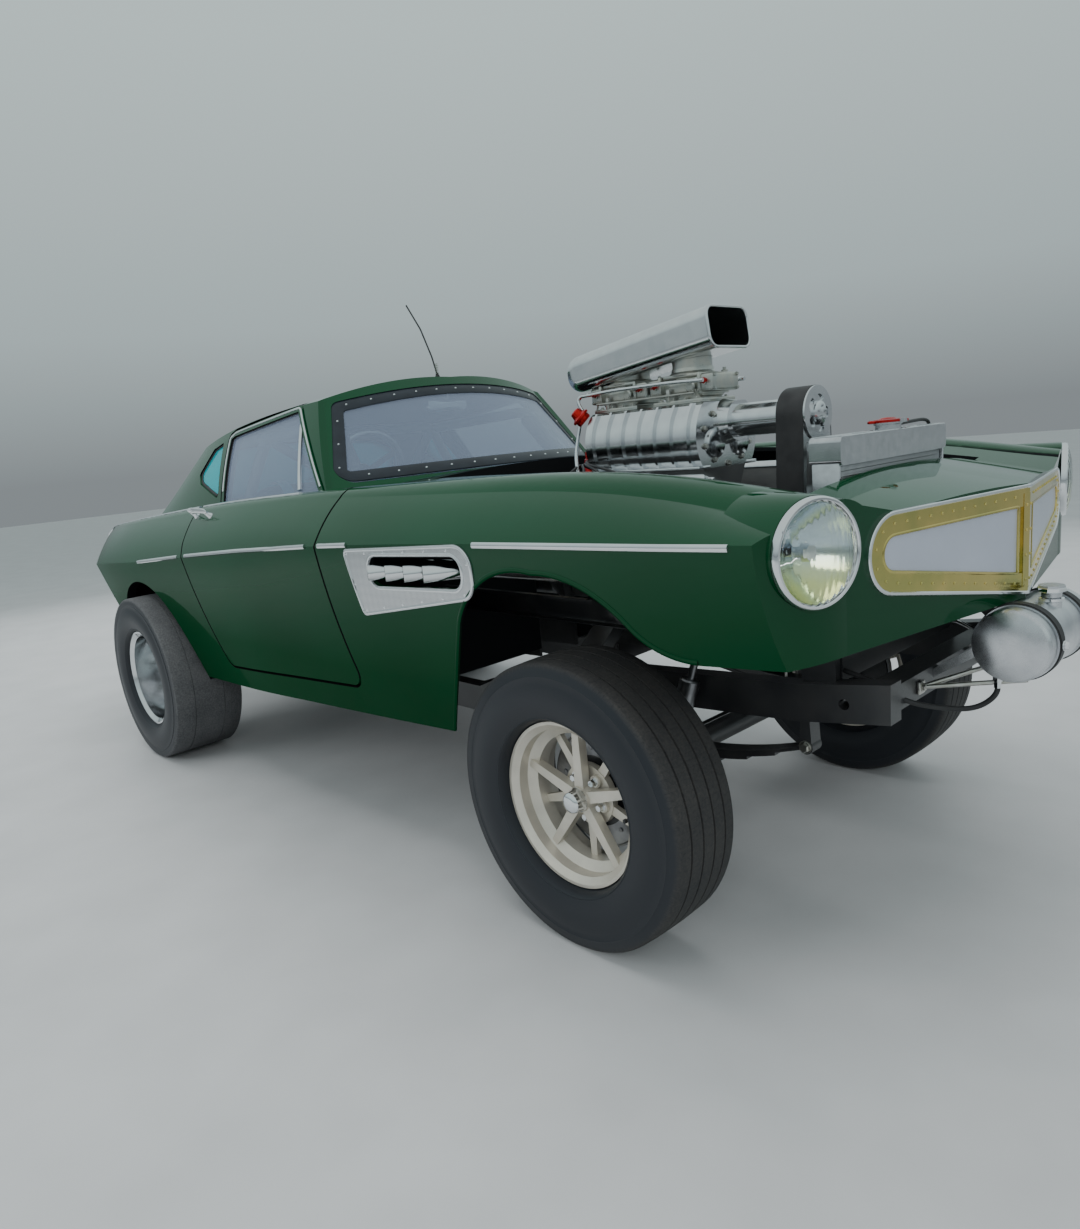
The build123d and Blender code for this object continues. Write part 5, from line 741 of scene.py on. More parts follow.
for centre, radius in ((TOP, 0.060), (LOW, 0.078)):
    for n in range(36):
        a = 2 * pi * n / 36
        place = stand(centre + Vector((0, radius * cos(a), radius * sin(a))), (0, cos(a), sin(a)), (1, 0, 0))
        box_piece(pulleys, place, (0.074, radius * 0.085, 0.007), 0.0012)
for x in (-0.0402, 0.0402):
    turned(pulleys, [(0.076, -0.002), (0.087, -0.002), (0.088, 0), (0.087, 0.002), (0.076, 0.002)],
           stand(LOW + Vector((x, 0, 0)), (1, 0, 0)), 60, looped=True)
turned(pulleys, [(0.030, 0.0), (0.030, 0.006), (0.022, 0.010), (0.0001, 0.011)],
       stand(TOP + Vector((0.043, 0, 0)), (1, 0, 0)), 30)
turned(pulleys, [(0.060, 0.0), (0.056, 0.006), (0.030, 0.008), (0.026, 0.020), (0.0001, 0.021)],
       stand(LOW + Vector((0.0385, 0, 0)), (1, 0, 0)), 40)
heads(pulleys, [stand(TOP + Vector((0.0435, 0.018 * cos(a), 0.018 * sin(a))), (1, 0, 0))
                for a in [2 * pi * n / 5 + 0.3 for n in range(5)]], 0.0036, 0.013)
add_piece("belt_pulleys", pulleys, "root", polished, slot="polished")

# Carburettors: two four-barrel bodies in dichromate gold-grey, with bowls, sight plugs, screws and
# springs, red fuel fittings at both ends, and the throttle rod that ties the two together.
dichromate = surface("carburettor_zinc", (0.56, 0.55, 0.49), (0.44, 0.47, 0.45), 0.30, 0.14, 0.0025, 0.00014,
                     Metallic=0.9)
finish_node(polished, "scoop")
finish_node(dichromate, "carburettor_rear", "carburettor_front")
CARBURETTOR_XS = (0.965, 1.195)
for n, x in enumerate(CARBURETTOR_XS):
    bowls = bmesh.new()
    box_piece(bowls, Matrix.Translation((x, 0, 1.2795)), (0.170, 0.160, 0.012), 0.003)
    box_piece(bowls, Matrix.Translation((x, 0, 1.3180)), (0.138, 0.108, 0.058), 0.007)
    box_piece(bowls, Matrix.Translation((x, 0, 1.3500)), (0.120, 0.122, 0.010), 0.003)
    for end in (-1, 1):
        box_piece(bowls, Matrix.Translation((x + end * 0.0865, 0, 1.3255)), (0.048, 0.128, 0.050), 0.008, 2)
        box_piece(bowls, Matrix.Translation((x + end * 0.068, 0, 1.3255)), (0.010, 0.136, 0.058), 0.002)
        for a, b in ((-0.053, -0.018), (0.053, -0.018), (-0.053, 0.018), (0.053, 0.018)):
            heads(bowls, [stand((x + end * 0.1100, a, 1.3255 + b), (end, 0, 0))], 0.0045, 0.005)
        turned(bowls, [(0.009, 0), (0.009, 0.006), (0.005, 0.008), (0.005, 0.014), (0.0001, 0.015)],
               stand((x + end * 0.0865, 0.030, 1.3505), (0, 0, 1)), 14)
        turned(bowls, [(0.007, 0), (0.007, 0.005), (0.0001, 0.006)],
               stand((x + end * 0.0865, -0.0640, 1.326), (0, -1, 0)), 12)
    for y in (-1, 1):
        for a in (-0.060, -0.020, 0.020, 0.060):
            heads(bowls, [stand((x + a, y * 0.0700, 1.2855), (0, 0, 1))], 0.0045, 0.006)
        box_piece(bowls, stand((x, y * 0.062, 1.318), (0, y, 0), (1, 0, 0)), (0.060, 0.034, 0.016), 0.004)
        turned(bowls, [(0.016, 0), (0.016, 0.014), (0.012, 0.018), (0.0001, 0.019)],
               stand((x + 0.040, y * 0.055, 1.318), (0, y, 0)), 20)
    turned(bowls, [(0.066, 1.352), (0.067, 1.356), (0.060, 1.362), (0.058, 1.372)],
           Matrix.Translation((x, 0, 0)), 40)
    add_piece(f"carburettor_bowls_{n}", bowls, "root", dichromate, slot="aluminium_cast")
    for y in (-1, 1):
        for end in (-1, 1):
            fitting = bmesh.new()
            at = Vector((x + end * 0.0865, y * 0.064, 1.330))
            turned(fitting,
                   [(0.0085, 0), (0.0085, 0.008), (0.0065, 0.010), (0.0065, 0.018), (0.0001, 0.018)],
                   stand(at, (0, y, 0)), 6)
            add_piece(f"fuel_fitting_{n}_{(y + 1) // 2}_{(end + 1) // 2}", fitting, "root", red_anodised)
    for end in (-1, 1):
        spring = [Vector((x + end * 0.046 + 0.0010 * k * end, -0.086 + 0.0035 * sin(0.9 * k),
                          1.306 + 0.0035 * cos(0.9 * k))) for k in range(40)]
        pipe(f"return_spring_{n}_{(end + 1) // 2}", spring, 0.0009, "root", zinc)
links = bmesh.new()
bar(links, (0.900, -0.088, 1.300), (1.262, -0.088, 1.300), 0.0035, 10)
for x in (0.935, 1.165):
    box_piece(links, stand((x, -0.079, 1.300), (0, 1, 0), (1, 0, 0)), (0.012, 0.036, 0.004), 0.001)
    bar(links, (x, -0.090, 1.300), (x, -0.066, 1.300), 0.004, 10)
bar(links, (0.905, -0.088, 1.300), (0.860, -0.060, 1.240), 0.003, 10)
add_piece("throttle_links", links, "root", zinc)
for y in (-1, 1):
    rail = [(x, y * w, z) for x, w, z in
            ((0.850, 0.100, 1.330), (0.8785, 0.100, 1.330), (0.965, 0.106, 1.334), (1.080, 0.106, 1.334),
             (1.195, 0.106, 1.334), (1.2815, 0.100, 1.330), (1.300, 0.098, 1.330))]
    pipe(f"fuel_rail_{(y + 1) // 2}", rail, 0.0055, "root", chrome)
    for n, x in enumerate((0.8785, 1.0515, 1.1085, 1.2815)):
        pipe(f"fuel_branch_{(y + 1) // 2}_{n}",
             [(x, y * 0.082, 1.330), (x, y * 0.090, 1.331), (x, y * 0.1035, 1.333)], 0.0045, "root", chrome)
regulator = bmesh.new()
turned(regulator, [(0.0001, 0), (0.022, 0), (0.024, 0.004), (0.024, 0.014), (0.030, 0.016),
                   (0.030, 0.022), (0.020, 0.028), (0.016, 0.044), (0.010, 0.047), (0.0001, 0.047)],
       stand((0.862, -0.104, 1.255), (-0.5, -0.5, 0.7)), 28)
bar(regulator, (0.885, -0.085, 1.262), (0.905, -0.066, 1.270), 0.007)
add_piece("fuel_regulator", regulator, "root", red_anodised)
pipe("fuel_feed",
     [(0.846, -0.104, 1.268), (0.835, -0.110, 1.220), (0.830, -0.128, 1.150), (0.860, -0.150, 1.085),
      (0.960, -0.160, 1.070), (1.050, -0.158, 1.068)], 0.0055, "root", chrome)
pipe("fuel_riser",
     [(0.850, -0.100, 1.288), (0.838, -0.104, 1.306), (0.838, -0.101, 1.326), (0.852, -0.100, 1.330)],
     0.0055, "root", chrome)

# The scoop: folded and polished aluminium with a rolled lip round its open mouth, held down by a rod
# through each carburettor.
SCOOP_X, SCOOP_Z, SCOOP_TILT = 1.322, 1.466, radians(7.5)
SCOOP_AT = stand((SCOOP_X, 0, SCOOP_Z), (cos(SCOOP_TILT), 0, sin(SCOOP_TILT)), (0, 0, 1))


def round_box(width, height, radius, steps=8):
    """A rectangle with round corners as (height, width) pairs, going once round."""
    points = []
    for a, b, start_turn in ((1, 1, 0), (-1, 1, pi / 2), (-1, -1, pi), (1, -1, 3 * pi / 2)):
        for n in range(steps + 1):
            t = start_turn + pi / 2 * n / steps
            points.append((a * (height / 2 - radius) + radius * cos(t),
                           b * (width / 2 - radius) + radius * sin(t)))
    return points


lip = bmesh.new()
rings = []
for n in range(12):
    t = 2 * pi * n / 12
    grow, out = 0.0045 * cos(t), 0.0045 * sin(t)
    rings.append([SCOOP_AT @ Vector((a, b, out - 0.001)) for a, b in
                  round_box(0.188 + 2 * grow, 0.108 + 2 * grow, 0.030 + grow)])
skin(lip, rings, looped=True)
add_piece("scoop_lip", lip, "root", polished, slot="polished")
for x in CARBURETTOR_XS:
    nut = bmesh.new()
    top = SCOOP_Z + (x - SCOOP_X) * tan(SCOOP_TILT) + 0.0575
    heads(nut, [stand((x, 0, top), (-sin(SCOOP_TILT), 0, cos(SCOOP_TILT)))], 0.010, 0.010)
    add_piece(f"scoop_nut_{round(x * 1000)}", nut, "root", chrome)

# Exhausts: four steel pipes from each head, chromed at the ends, cut off short and bare through a slot
# in the wing. Each pipe is open, with the soot of the engine inside it.
pipe_chrome, shader, start = new_finish("header_chrome", Metallic=1.0)
from_middle = start.node("ShaderNodeMath", {"operation": "ABSOLUTE"}, {0: coordinate(start, "Y")})
outboard = from_middle.over(0.40, 0.70)
link(shader, Base_Color=outboard.blend((0.42, 0.34, 0.24), (0.80, 0.81, 0.82)),
     Roughness=grain(start, 0.004) * 0.12 + (1 - outboard) * 0.20 + 0.06)
soot = surface("soot", (0.008, 0.007, 0.006), (0.030, 0.026, 0.022), 0.85, 0.1, 0.003, 0.0002)
PORT_OUT = Vector((0, cos(pi / 4), -sin(pi / 4)))
PORT_AT = Vector((1.090, 0.178 + 0.075 * cos(pi / 4), 0.935 - 0.115 * cos(pi / 4)))


def rounded_run(points, radius, steps=8):
    """A line through corner points with each inner corner rounded to a radius."""
    points = [Vector(p) for p in points]
    out = [points[0]]
    for before, corner, after in zip(points[:-2], points[1:-1], points[2:]):
        a, b = (before - corner).normalized(), (after - corner).normalized()
        half = a.angle(b) / 2
        reach = min(radius / tan(half), 0.48 * (before - corner).length, 0.48 * (after - corner).length)
        out += [(corner + a * reach) * (1 - t) ** 2 + corner * 2 * t * (1 - t) + (corner + b * reach) * t * t
                for t in [n / steps for n in range(steps + 1)]]
    return [*out, points[-1]]


def tube_rings(line, radius, steps=20):
    """Rings of a round section carried along a line without twisting."""
    rings, normal = [], None
    for n, point in enumerate(line):
        along = (line[min(n + 1, len(line) - 1)] - line[max(n - 1, 0)]).normalized()
        normal = along.orthogonal() if normal is None else normal - along * normal.dot(along)
        normal.normalize()
        side = along.cross(normal)
        rings.append([point + normal * radius * cos(a) + side * radius * sin(a)
                      for a in [2 * pi * k / steps for k in range(steps)]])
    return rings


for side, y in SIDES:
    pipes, inside = bmesh.new(), bmesh.new()
    for n in range(4):
        port = PORT_AT + Vector((-0.210 + 0.140 * n, 0, 0))
        stub = Vector((0.775 + 0.084 * n, 0.836, 0.908 + 0.003 * n))
        route = rounded_run([port + PORT_OUT * 0.004, port + PORT_OUT * 0.060,
                             stub + Vector((0.052, -0.100, 0)), stub + Vector((-0.030, 0.024, 0))], 0.046)
        route = [Vector((p.x, p.y * y, p.z)) for p in route]
        outer = tube_rings(route, 0.0212)
        tip = (route[-1] - route[-2]).normalized()
        edge = tube_rings([route[-1] + tip * 0.0008, route[-1] + tip * 0.0009], 0.0196)[0]
        throat = tube_rings([route[-1] + tip * 0.0005, route[-1] - tip * 0.060], 0.0190)
        skin(pipes, [*outer, edge])
        skin(inside, [edge, *throat])
        inside.faces.new([inside.verts.new(p) for p in throat[1]])
        turned(pipes, [(0.0214, 0.0), (0.0250, 0.004), (0.0214, 0.010)],
               stand((port.x, y * port.y, port.z), (0, y * PORT_OUT.y, PORT_OUT.z)), 20)
    flange = bmesh.new()
    base = stand((1.090, y * PORT_AT.y, PORT_AT.z), (0, y * PORT_OUT.y, PORT_OUT.z), (1, 0, 0))
    box_piece(flange, base @ Matrix.Translation((0, 0, 0.0043)), (0.500, 0.060, 0.008), 0.003)
    heads(flange, [base @ Matrix.Translation((a, b, 0.008)) for a in (-0.245, -0.140, 0.0, 0.140, 0.245)
                   for b in (-0.022, 0.022)], 0.0055, 0.006)
    made = add_piece(f"header_pipes_{side}", pipes, "root", pipe_chrome, slot="chrome")
    add_piece(f"header_soot_{side}", inside, "root", soot)
    add_piece(f"header_flange_{side}", flange, "root", pipe_chrome, slot="chrome")
    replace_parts(made, f"exhaust_{side}")

# Side plates: thin aluminium sheet screwed over the wing round the exhausts, with a turned swirl
# pattern worked over its face and a bright bead pressed round its edge and round the slot.
plate_finish, shader, start = new_finish("swirled_aluminium", Metallic=1.0)
spots = start.node("ShaderNodeTexCoord", output="Object")
cells = start.node("ShaderNodeVectorMath", {"operation": "SCALE"}, {0: spots, "Scale": 38.0})
part_cell = start.node("ShaderNodeVectorMath", {"operation": "FRACTION"}, {0: cells})
flat_cell = start.node("ShaderNodeVectorMath", {"operation": "MULTIPLY"}, {0: part_cell, 1: (1, 0, 1)})
from_centre = start.node("ShaderNodeVectorMath", {"operation": "DISTANCE"}, {0: flat_cell, 1: (0.5, 0, 0.5)},
                         "Value")
swirl = ripple(from_centre, 46)
link(shader, Base_Color=(swirl * 0.5 + from_centre * 0.6).blend((0.70, 0.71, 0.72), (0.50, 0.51, 0.53)),
     Roughness=swirl * 0.12 + 0.26, Normal=bumped(start, swirl, 0.0001, 0.35))
finish_node(plate_finish, "exhaust_plate_left", "exhaust_plate_right")


def rounded_outline(corners, radii, inset=0.0, steps=8):
    """A closed outline with rounded corners, set in by a distance."""
    count = len(corners)
    area = sum(a[0] * b[1] - b[0] * a[1] for a, b in zip(corners, corners[1:] + corners[:1]))
    turn = 1 if area > 0 else -1
    lines = []
    for a, b in zip(corners, corners[1:] + corners[:1]):
        run = Vector((b[0] - a[0], b[1] - a[1])).normalized()
        lines.append((Vector(a) + Vector((-run.y, run.x)) * inset * turn, run))
    moved = []
    for n in range(count):
        (p, u), (q, v) = lines[n - 1], lines[n]
        t = (q - p).cross(v) / u.cross(v)
        moved.append(p + u * t)
    out = []
    for n in range(count):
        before, corner, after = moved[n - 1], moved[n], moved[(n + 1) % count]
        a, b = (before - corner).normalized(), (after - corner).normalized()
        radius = max(radii[n] - inset, 0.001)
        half = a.angle(b) / 2
        reach = min(radius / tan(half), 0.45 * (before - corner).length, 0.45 * (after - corner).length)
        middle = corner + (a + b).normalized() * (reach * tan(half)) / sin(half)
        radius = reach * tan(half)
        first, last = corner + a * reach - middle, corner + b * reach - middle
        sweep = first.angle_signed(last)
        for k in range(steps + 1):
            t = -sweep * k / steps
            out.append((middle.x + first.x * cos(t) - first.y * sin(t),
                        middle.y + first.x * sin(t) + first.y * cos(t)))
    return out


def even(points, count):
    """Points spread evenly round a closed outline."""
    loop = [*points, points[0]]
    lengths = [hypot(b[0] - a[0], b[1] - a[1]) for a, b in zip(loop[:-1], loop[1:])]
    total, out = sum(lengths), []
    for n in range(count):
        left = total * n / count
        for (a, b), length in zip(zip(loop[:-1], loop[1:]), lengths):
            if left <= length and length > 0:
                out.append((a[0] + (b[0] - a[0]) * left / length, a[1] + (b[1] - a[1]) * left / length))
                break
            left -= length
    return out


PLATE = [(0.600, 0.966), (0.655, 0.778), (1.150, 0.858), (1.150, 0.992)]
PLATE_RADII = [0.016, 0.016, 0.054, 0.060]
SLOT = [(0.722, 0.868), (0.722, 0.948), (1.106, 0.960), (1.106, 0.880)]
BEAD = [(-0.0040, 0.0), (-0.0034, 0.0016), (-0.0015, 0.0026), (0.0015, 0.0026), (0.0034, 0.0016),
        (0.0040, 0.0)]
for side, y in SIDES:
    wing = [f"exhaust_plate_{side}"]
    edging = bmesh.new()
    for corners, radii, inset in ((PLATE, PLATE_RADII, 0.005), (SLOT, [0.034] * 4, -0.006)):
        spots = side_spots(wing, even(rounded_outline(corners, radii, inset), 120), y)
        moulding(edging, spots, BEAD, looped=True)
    for point, normal in side_spots(wing, even(rounded_outline(PLATE, PLATE_RADII, 0.014), 14), y):
        turned(edging, [(0.0001, 0.0018), (0.0030, 0.0014), (0.0042, 0.0)], stand(point, normal), 14)
    add_piece(f"plate_edging_{side}", edging, "root", chrome, slot="polished")

# The radiator: an aluminium core of flat tubes between two folded and welded tanks, with a red cap,
# an overflow pipe from its neck and a drain at its foot.
# The core is striped: pale fin edges between near-black bands of painted shade in the gaps between fins.
fins, shader, start = new_finish("radiator_core", Metallic=1.0)
wave = ripple(coordinate(start, "Y"), 1200)
link(shader, Base_Color=wave.blend((0.10, 0.10, 0.11), (0.66, 0.67, 0.68)), Roughness=wave * 0.1 + 0.25,
     Normal=bumped(start, wave, 0.001, 0.6))
brushed = surface("brushed_tank", (0.70, 0.71, 0.73), (0.60, 0.61, 0.63), 0.24, 0.10, 0.0016, 0.00006,
                  Metallic=1.0)
finish_node(brushed, "radiator")
RADIATOR_X = 1.745
core = bmesh.new()
for n in range(26):
    z = 0.772 + 0.0125 * n
    box_piece(core, Matrix.Translation((RADIATOR_X, 0, z)), (0.0540, 0.524, 0.0040), 0.0015)
for x in (-0.0255, 0.0255):
    box_piece(core, Matrix.Translation((RADIATOR_X + x, 0, 0.930)), (0.0020, 0.522, 0.330), 0.0005)
add_piece("radiator_fins", core, "root", fins, slot="aluminium")
extras = bmesh.new()
for y in (-0.2725, 0.2725):
    box_piece(extras, Matrix.Translation((RADIATOR_X, y, 0.930)), (0.066, 0.008, 0.344), 0.002)
for y in (-0.262, -0.09, 0.09, 0.262):
    box_piece(extras, Matrix.Translation((RADIATOR_X, y, 1.1603)), (0.060, 0.010, 0.004), 0.001)
turned(extras, [(0.030, -0.002), (0.030, 0.012), (0.034, 0.014), (0.034, 0.018), (0.022, 0.018)],
       stand((RADIATOR_X, 0.029, 1.160), (0, 0, 1)), 30)
for x in (RADIATOR_X - 0.036, RADIATOR_X + 0.036):
    bead(extras, [(x, -0.270, 1.1595), (x, 0.270, 1.1595)], 0.0022)
for neck in ((1.714, 0.215, 1.118), (1.714, -0.205, 0.742)):
    turned(extras, [(0.019, 0), (0.019, 0.026), (0.0215, 0.027), (0.0215, 0.031), (0.018, 0.032)],
           stand(neck, (-1, 0, 0)), 26)
add_piece("radiator_tank_details", extras, "root", brushed, slot="aluminium")
neck = stand((RADIATOR_X, 0.029, 1.160), (0, 0, 1))
cap = turned(bmesh.new(),
             [(0.020, 0.016), (0.0335, 0.017), (0.0345, 0.019), (0.0345, 0.023), (0.0315, 0.0255),
              (0.020, 0.0262), (0.016, 0.029), (0.0001, 0.030)], neck, 36)
for turn in (0, pi):
    box_piece(cap, neck @ Matrix.Rotation(turn, 4, "Z") @ Matrix.Translation((0.038, 0, 0.0205)),
              (0.020, 0.016, 0.0075), 0.003)
add_piece("radiator_cap", cap, "root", red_anodised, slot="polished")
pipe("overflow_pipe",
     [(1.745, 0.050, 1.170), (1.745, 0.075, 1.171), (1.742, 0.160, 1.174), (1.738, 0.262, 1.176),
      (1.736, 0.292, 1.160), (1.736, 0.294, 1.050), (1.736, 0.294, 0.800)], 0.0045, "root", rubber)

# The fuel tank: a spun aluminium drum, hung across the nose in two black-lined straps, with a filler
# cap, a vent hose, a feed pipe and four round stays back to the frame.
TANK_X, TANK_Z = 2.086, 0.694
spun, shader, start = new_finish("spun_aluminium", Metallic=1.0)
here = start.node("ShaderNodeTexCoord", output="Object")
from_axis = start.node("ShaderNodeVectorMath", {"operation": "MULTIPLY_ADD"},
                       {0: here, 1: (1, 0, 1), 2: (-TANK_X, 0, -TANK_Z)})
ring_at = start.node("ShaderNodeVectorMath", {"operation": "LENGTH"}, {0: from_axis}, "Value")
turning = ripple(ring_at, 5200)
link(shader, Base_Color=grain(start, 0.04).over(0.3, 0.7).blend((0.74, 0.75, 0.77), (0.62, 0.63, 0.66)),
     Roughness=turning * 0.08 + grain(start, 0.006) * 0.08 + 0.20,
     Normal=bumped(start, turning, 0.00003, 0.3))
finish_node(spun, "fuel_tank")
straps = bmesh.new()
for y in (-0.090, 0.090):
    for w, r, t in ((0.0165, 0.0834, 0.0008), (0.0110, 0.0842, 0.0016)):
        turned(straps, [(r, -w), (r + t, -w), (r + t, w), (r, w)], stand((TANK_X, y, TANK_Z), (0, 1, 0)),
               72, looped=True)
    box_piece(straps, stand((2.020, y, 0.760), (-0.7, 0, 0.7)), (0.020, 0.026, 0.020), 0.003)
add_piece("tank_straps", straps, "root", belt_rubber, slot="black_metal")
fixings = bmesh.new()
for y in (-0.090, 0.090):
    bar(fixings, (2.026, y, 0.756), (1.996, y, 0.786), 0.004, 12)
    heads(fixings, [stand((2.000, y, 0.782), (-0.7, 0, 0.7)), stand((2.1725, y, TANK_Z), (1, 0, 0))],
          0.0085, 0.009)
turned(fixings, [(0.0270, 0.110), (0.0290, 0.112), (0.0290, 0.119), (0.0240, 0.1225), (0.0001, 0.1235)],
       stand((2.120, 0, 0.6795), (0, 0, 1)), 8)
turned(fixings, [(0.0225, 0.074), (0.0250, 0.076), (0.0250, 0.082), (0.0210, 0.084)],
       stand((2.120, 0, TANK_Z), (0, 0, 1)), 32)
for y in (-0.135, 0.135):
    turned(fixings, [(0.011, 0), (0.011, 0.012), (0.008, 0.014), (0.008, 0.028), (0.0001, 0.029)],
           stand((2.060, y, 0.6255), (0, 0, -1)), 6)
add_piece("tank_fixings", fixings, "root", chrome, slot="polished")
stays = bmesh.new()
for y in (-1, 1):
    for end, z in ((2.108, 0.612), (2.030, 0.634)):
        bar(stays, (1.9115, y * 0.180, 0.588), (end, y * 0.098, z), 0.0055, 12)
    box_piece(stays, stand((1.914, y * 0.180, 0.588), (1, 0, 0)), (0.030, 0.030, 0.008), 0.003)
    heads(stays, [stand((1.918, y * 0.180, 0.588), (1, 0, 0))], 0.007, 0.007)
add_piece("tank_stays", stays, "root", zinc, slot="dark_steel")
pipe("tank_vent",
     [(2.060, -0.135, 0.5975), (2.060, -0.135, 0.580), (2.020, -0.150, 0.545), (1.960, -0.200, 0.552),
      (1.905, -0.255, 0.575), (1.850, -0.285, 0.625), (1.780, -0.292, 0.640)], 0.006, "root", rubber)
pipe("tank_feed",
     [(2.060, 0.135, 0.5975), (2.060, 0.135, 0.578), (2.010, 0.150, 0.548), (1.960, 0.200, 0.552),
      (1.905, 0.255, 0.575), (1.850, 0.285, 0.625), (1.780, 0.292, 0.640)], 0.006, "root", chrome)

# The grille: two brass-plated sheet frames that meet at a bar, riveted over the nose inside a bright
# rolled rim, with a plain pale sheet behind each.
brass = surface("grille_brass", (0.72, 0.56, 0.20), (0.50, 0.46, 0.16), 0.13, 0.08, 0.006, 0.00008,
                Metallic=1.0)
panel_finish = surface("grille_panel", (0.50, 0.53, 0.62), (0.46, 0.49, 0.57), 0.36, 0.1, 0.01, 0.0002,
                       Metallic=0.35, Coat_Weight=0.3, Coat_Roughness=0.2)
finish_node(brass, "grille")
NOSE_TURN, NOSE_X = atan2(0.110, 0.600), 2.068
ROLLED = [(-0.004, 0.0044), (-0.0020, 0.0058), (0.0012, 0.0058), (0.0024, 0.0040), (0.0024, 0.0012),
          (-0.004, 0.0012)]
RIM = [(-0.0040, 0.0), (-0.0040, 0.0060), (-0.0022, 0.0082), (0.0022, 0.0082), (0.0040, 0.0060),
       (0.0040, 0.0)]


def arc_through(a, b, c, steps):
    """Points of the arc from a over b to c."""
    a, b, c = Vector(a), Vector(b), Vector(c)
    d = 2 * (a.x * (b.y - c.y) + b.x * (c.y - a.y) + c.x * (a.y - b.y))
    x = (a.length_squared * (b.y - c.y) + b.length_squared * (c.y - a.y) + c.length_squared * (a.y - b.y)) / d
    y = (a.length_squared * (c.x - b.x) + b.length_squared * (a.x - c.x) + c.length_squared * (b.x - a.x)) / d
    middle = Vector((x, y))
    first, last = a - middle, c - middle
    start_turn, sweep = atan2(first.y, first.x), atan2(last.y, last.x) - atan2(first.y, first.x)
    if (b - middle).dot(Vector((cos(start_turn + sweep / 2), sin(start_turn + sweep / 2)))) < 0:
        sweep += 2 * pi if sweep < 0 else -2 * pi
    return [tuple(middle + first.length * Vector((cos(t), sin(t))))
            for t in [start_turn + sweep * n / steps for n in range(steps + 1)]]


outline = [(0.0, 1.0195), *arc_through((0.472, 1.017), (0.548, 0.936), (0.485, 0.866), 20), (0.0, 0.7846)]
for side, y in SIDES:
    c, d = cos(NOSE_TURN), sin(NOSE_TURN)
    face = Matrix.Translation((NOSE_X, 0, 0)) @ Matrix(((-d, 0, c), (y * c, 0, y * d), (0, 1, 0))).to_4x4()
    sharp = [0.002] * len(outline)
    inner = [(max(u, 0.0235), w) for u, w in rounded_outline(outline, sharp, 0.0415, 2)]
    sheet = skin(bmesh.new(), [[face @ Vector((u, w, h)) for u, w in inner] for h in (0.0006, 0.0014)],
                 capped=True)
    add_piece(f"grille_panel_{side}", sheet, "root", panel_finish, slot="grille_metal")
    outward = face.to_3x3() @ Vector((0, 0, 1))
    rolled = moulding(bmesh.new(), [(face @ Vector((u, w, 0)), outward) for u, w in even(inner, 150)],
                      [(y * a, h) for a, h in ROLLED], looped=True)
    rivets = [(u, w, 0.0043) for u, w in even(rounded_outline(outline, sharp, 0.019, 2), 34) if u > 0.050]
    rivets += [(0.011, w, 0.0053) for w in (0.815, 0.870, 0.925, 0.980)]
    for rivet in rivets:
        turned(rolled, [(0.0001, 0.0026), (0.0020, 0.0021), (0.0034, 0.0008), (0.0036, 0.0)],
               face @ Matrix.Translation(rivet), 14)
    add_piece(f"grille_rivets_{side}", rolled, "root", brass, slot="grille_metal")
    run = [(u, w) for u, w in rounded_outline(outline, sharp, -0.0010, 2) if u > 0.0]
    run = [(0.0, run[0][1]), *run, (0.0, run[-1][1])]
    bright = moulding(bmesh.new(), [(face @ Vector((u, w, 0)), outward) for u, w in run],
                      [(y * a, h) for a, h in RIM])
    add_piece(f"grille_rim_{side}", bright, "root", chrome, slot="chrome")

# Headlights: a pressed chrome rim over a clear domed glass with moulded flutes, in front of a
# silvered bowl coloured with painted reflection, yellow in its lower half and pale blue above, with a
# bulb under a small bright shield. Each lamp sits in a bucket painted with the wing.
LAMP_TURN = radians(16)
lens_glass, shader, start = new_finish("lamp_glass", Roughness=0.02, IOR=1.46, Transmission_Weight=1.0,
                                       Base_Color=(0.94, 0.96, 0.93, 1))
link(shader, Normal=bumped(start, ripple(coordinate(start, "Y"), 420), 0.0012, 0.35))
bowl, shader, start = new_finish("lamp_bowl", Metallic=1.0)
# Painted reflection: the bowl is yellow below and pale blue in its upper half.
painted_sky_half = (coordinate(start, "Z") + grain(start, 0.03) * 0.03).over(0.925, 0.995)
link(shader, Base_Color=painted_sky_half.blend((0.80, 0.84, 0.36), (0.60, 0.70, 0.80)),
     Roughness=grain(start, 0.01) * 0.08 + 0.10, Normal=bumped(start, grain(start, 0.02), 0.0003))
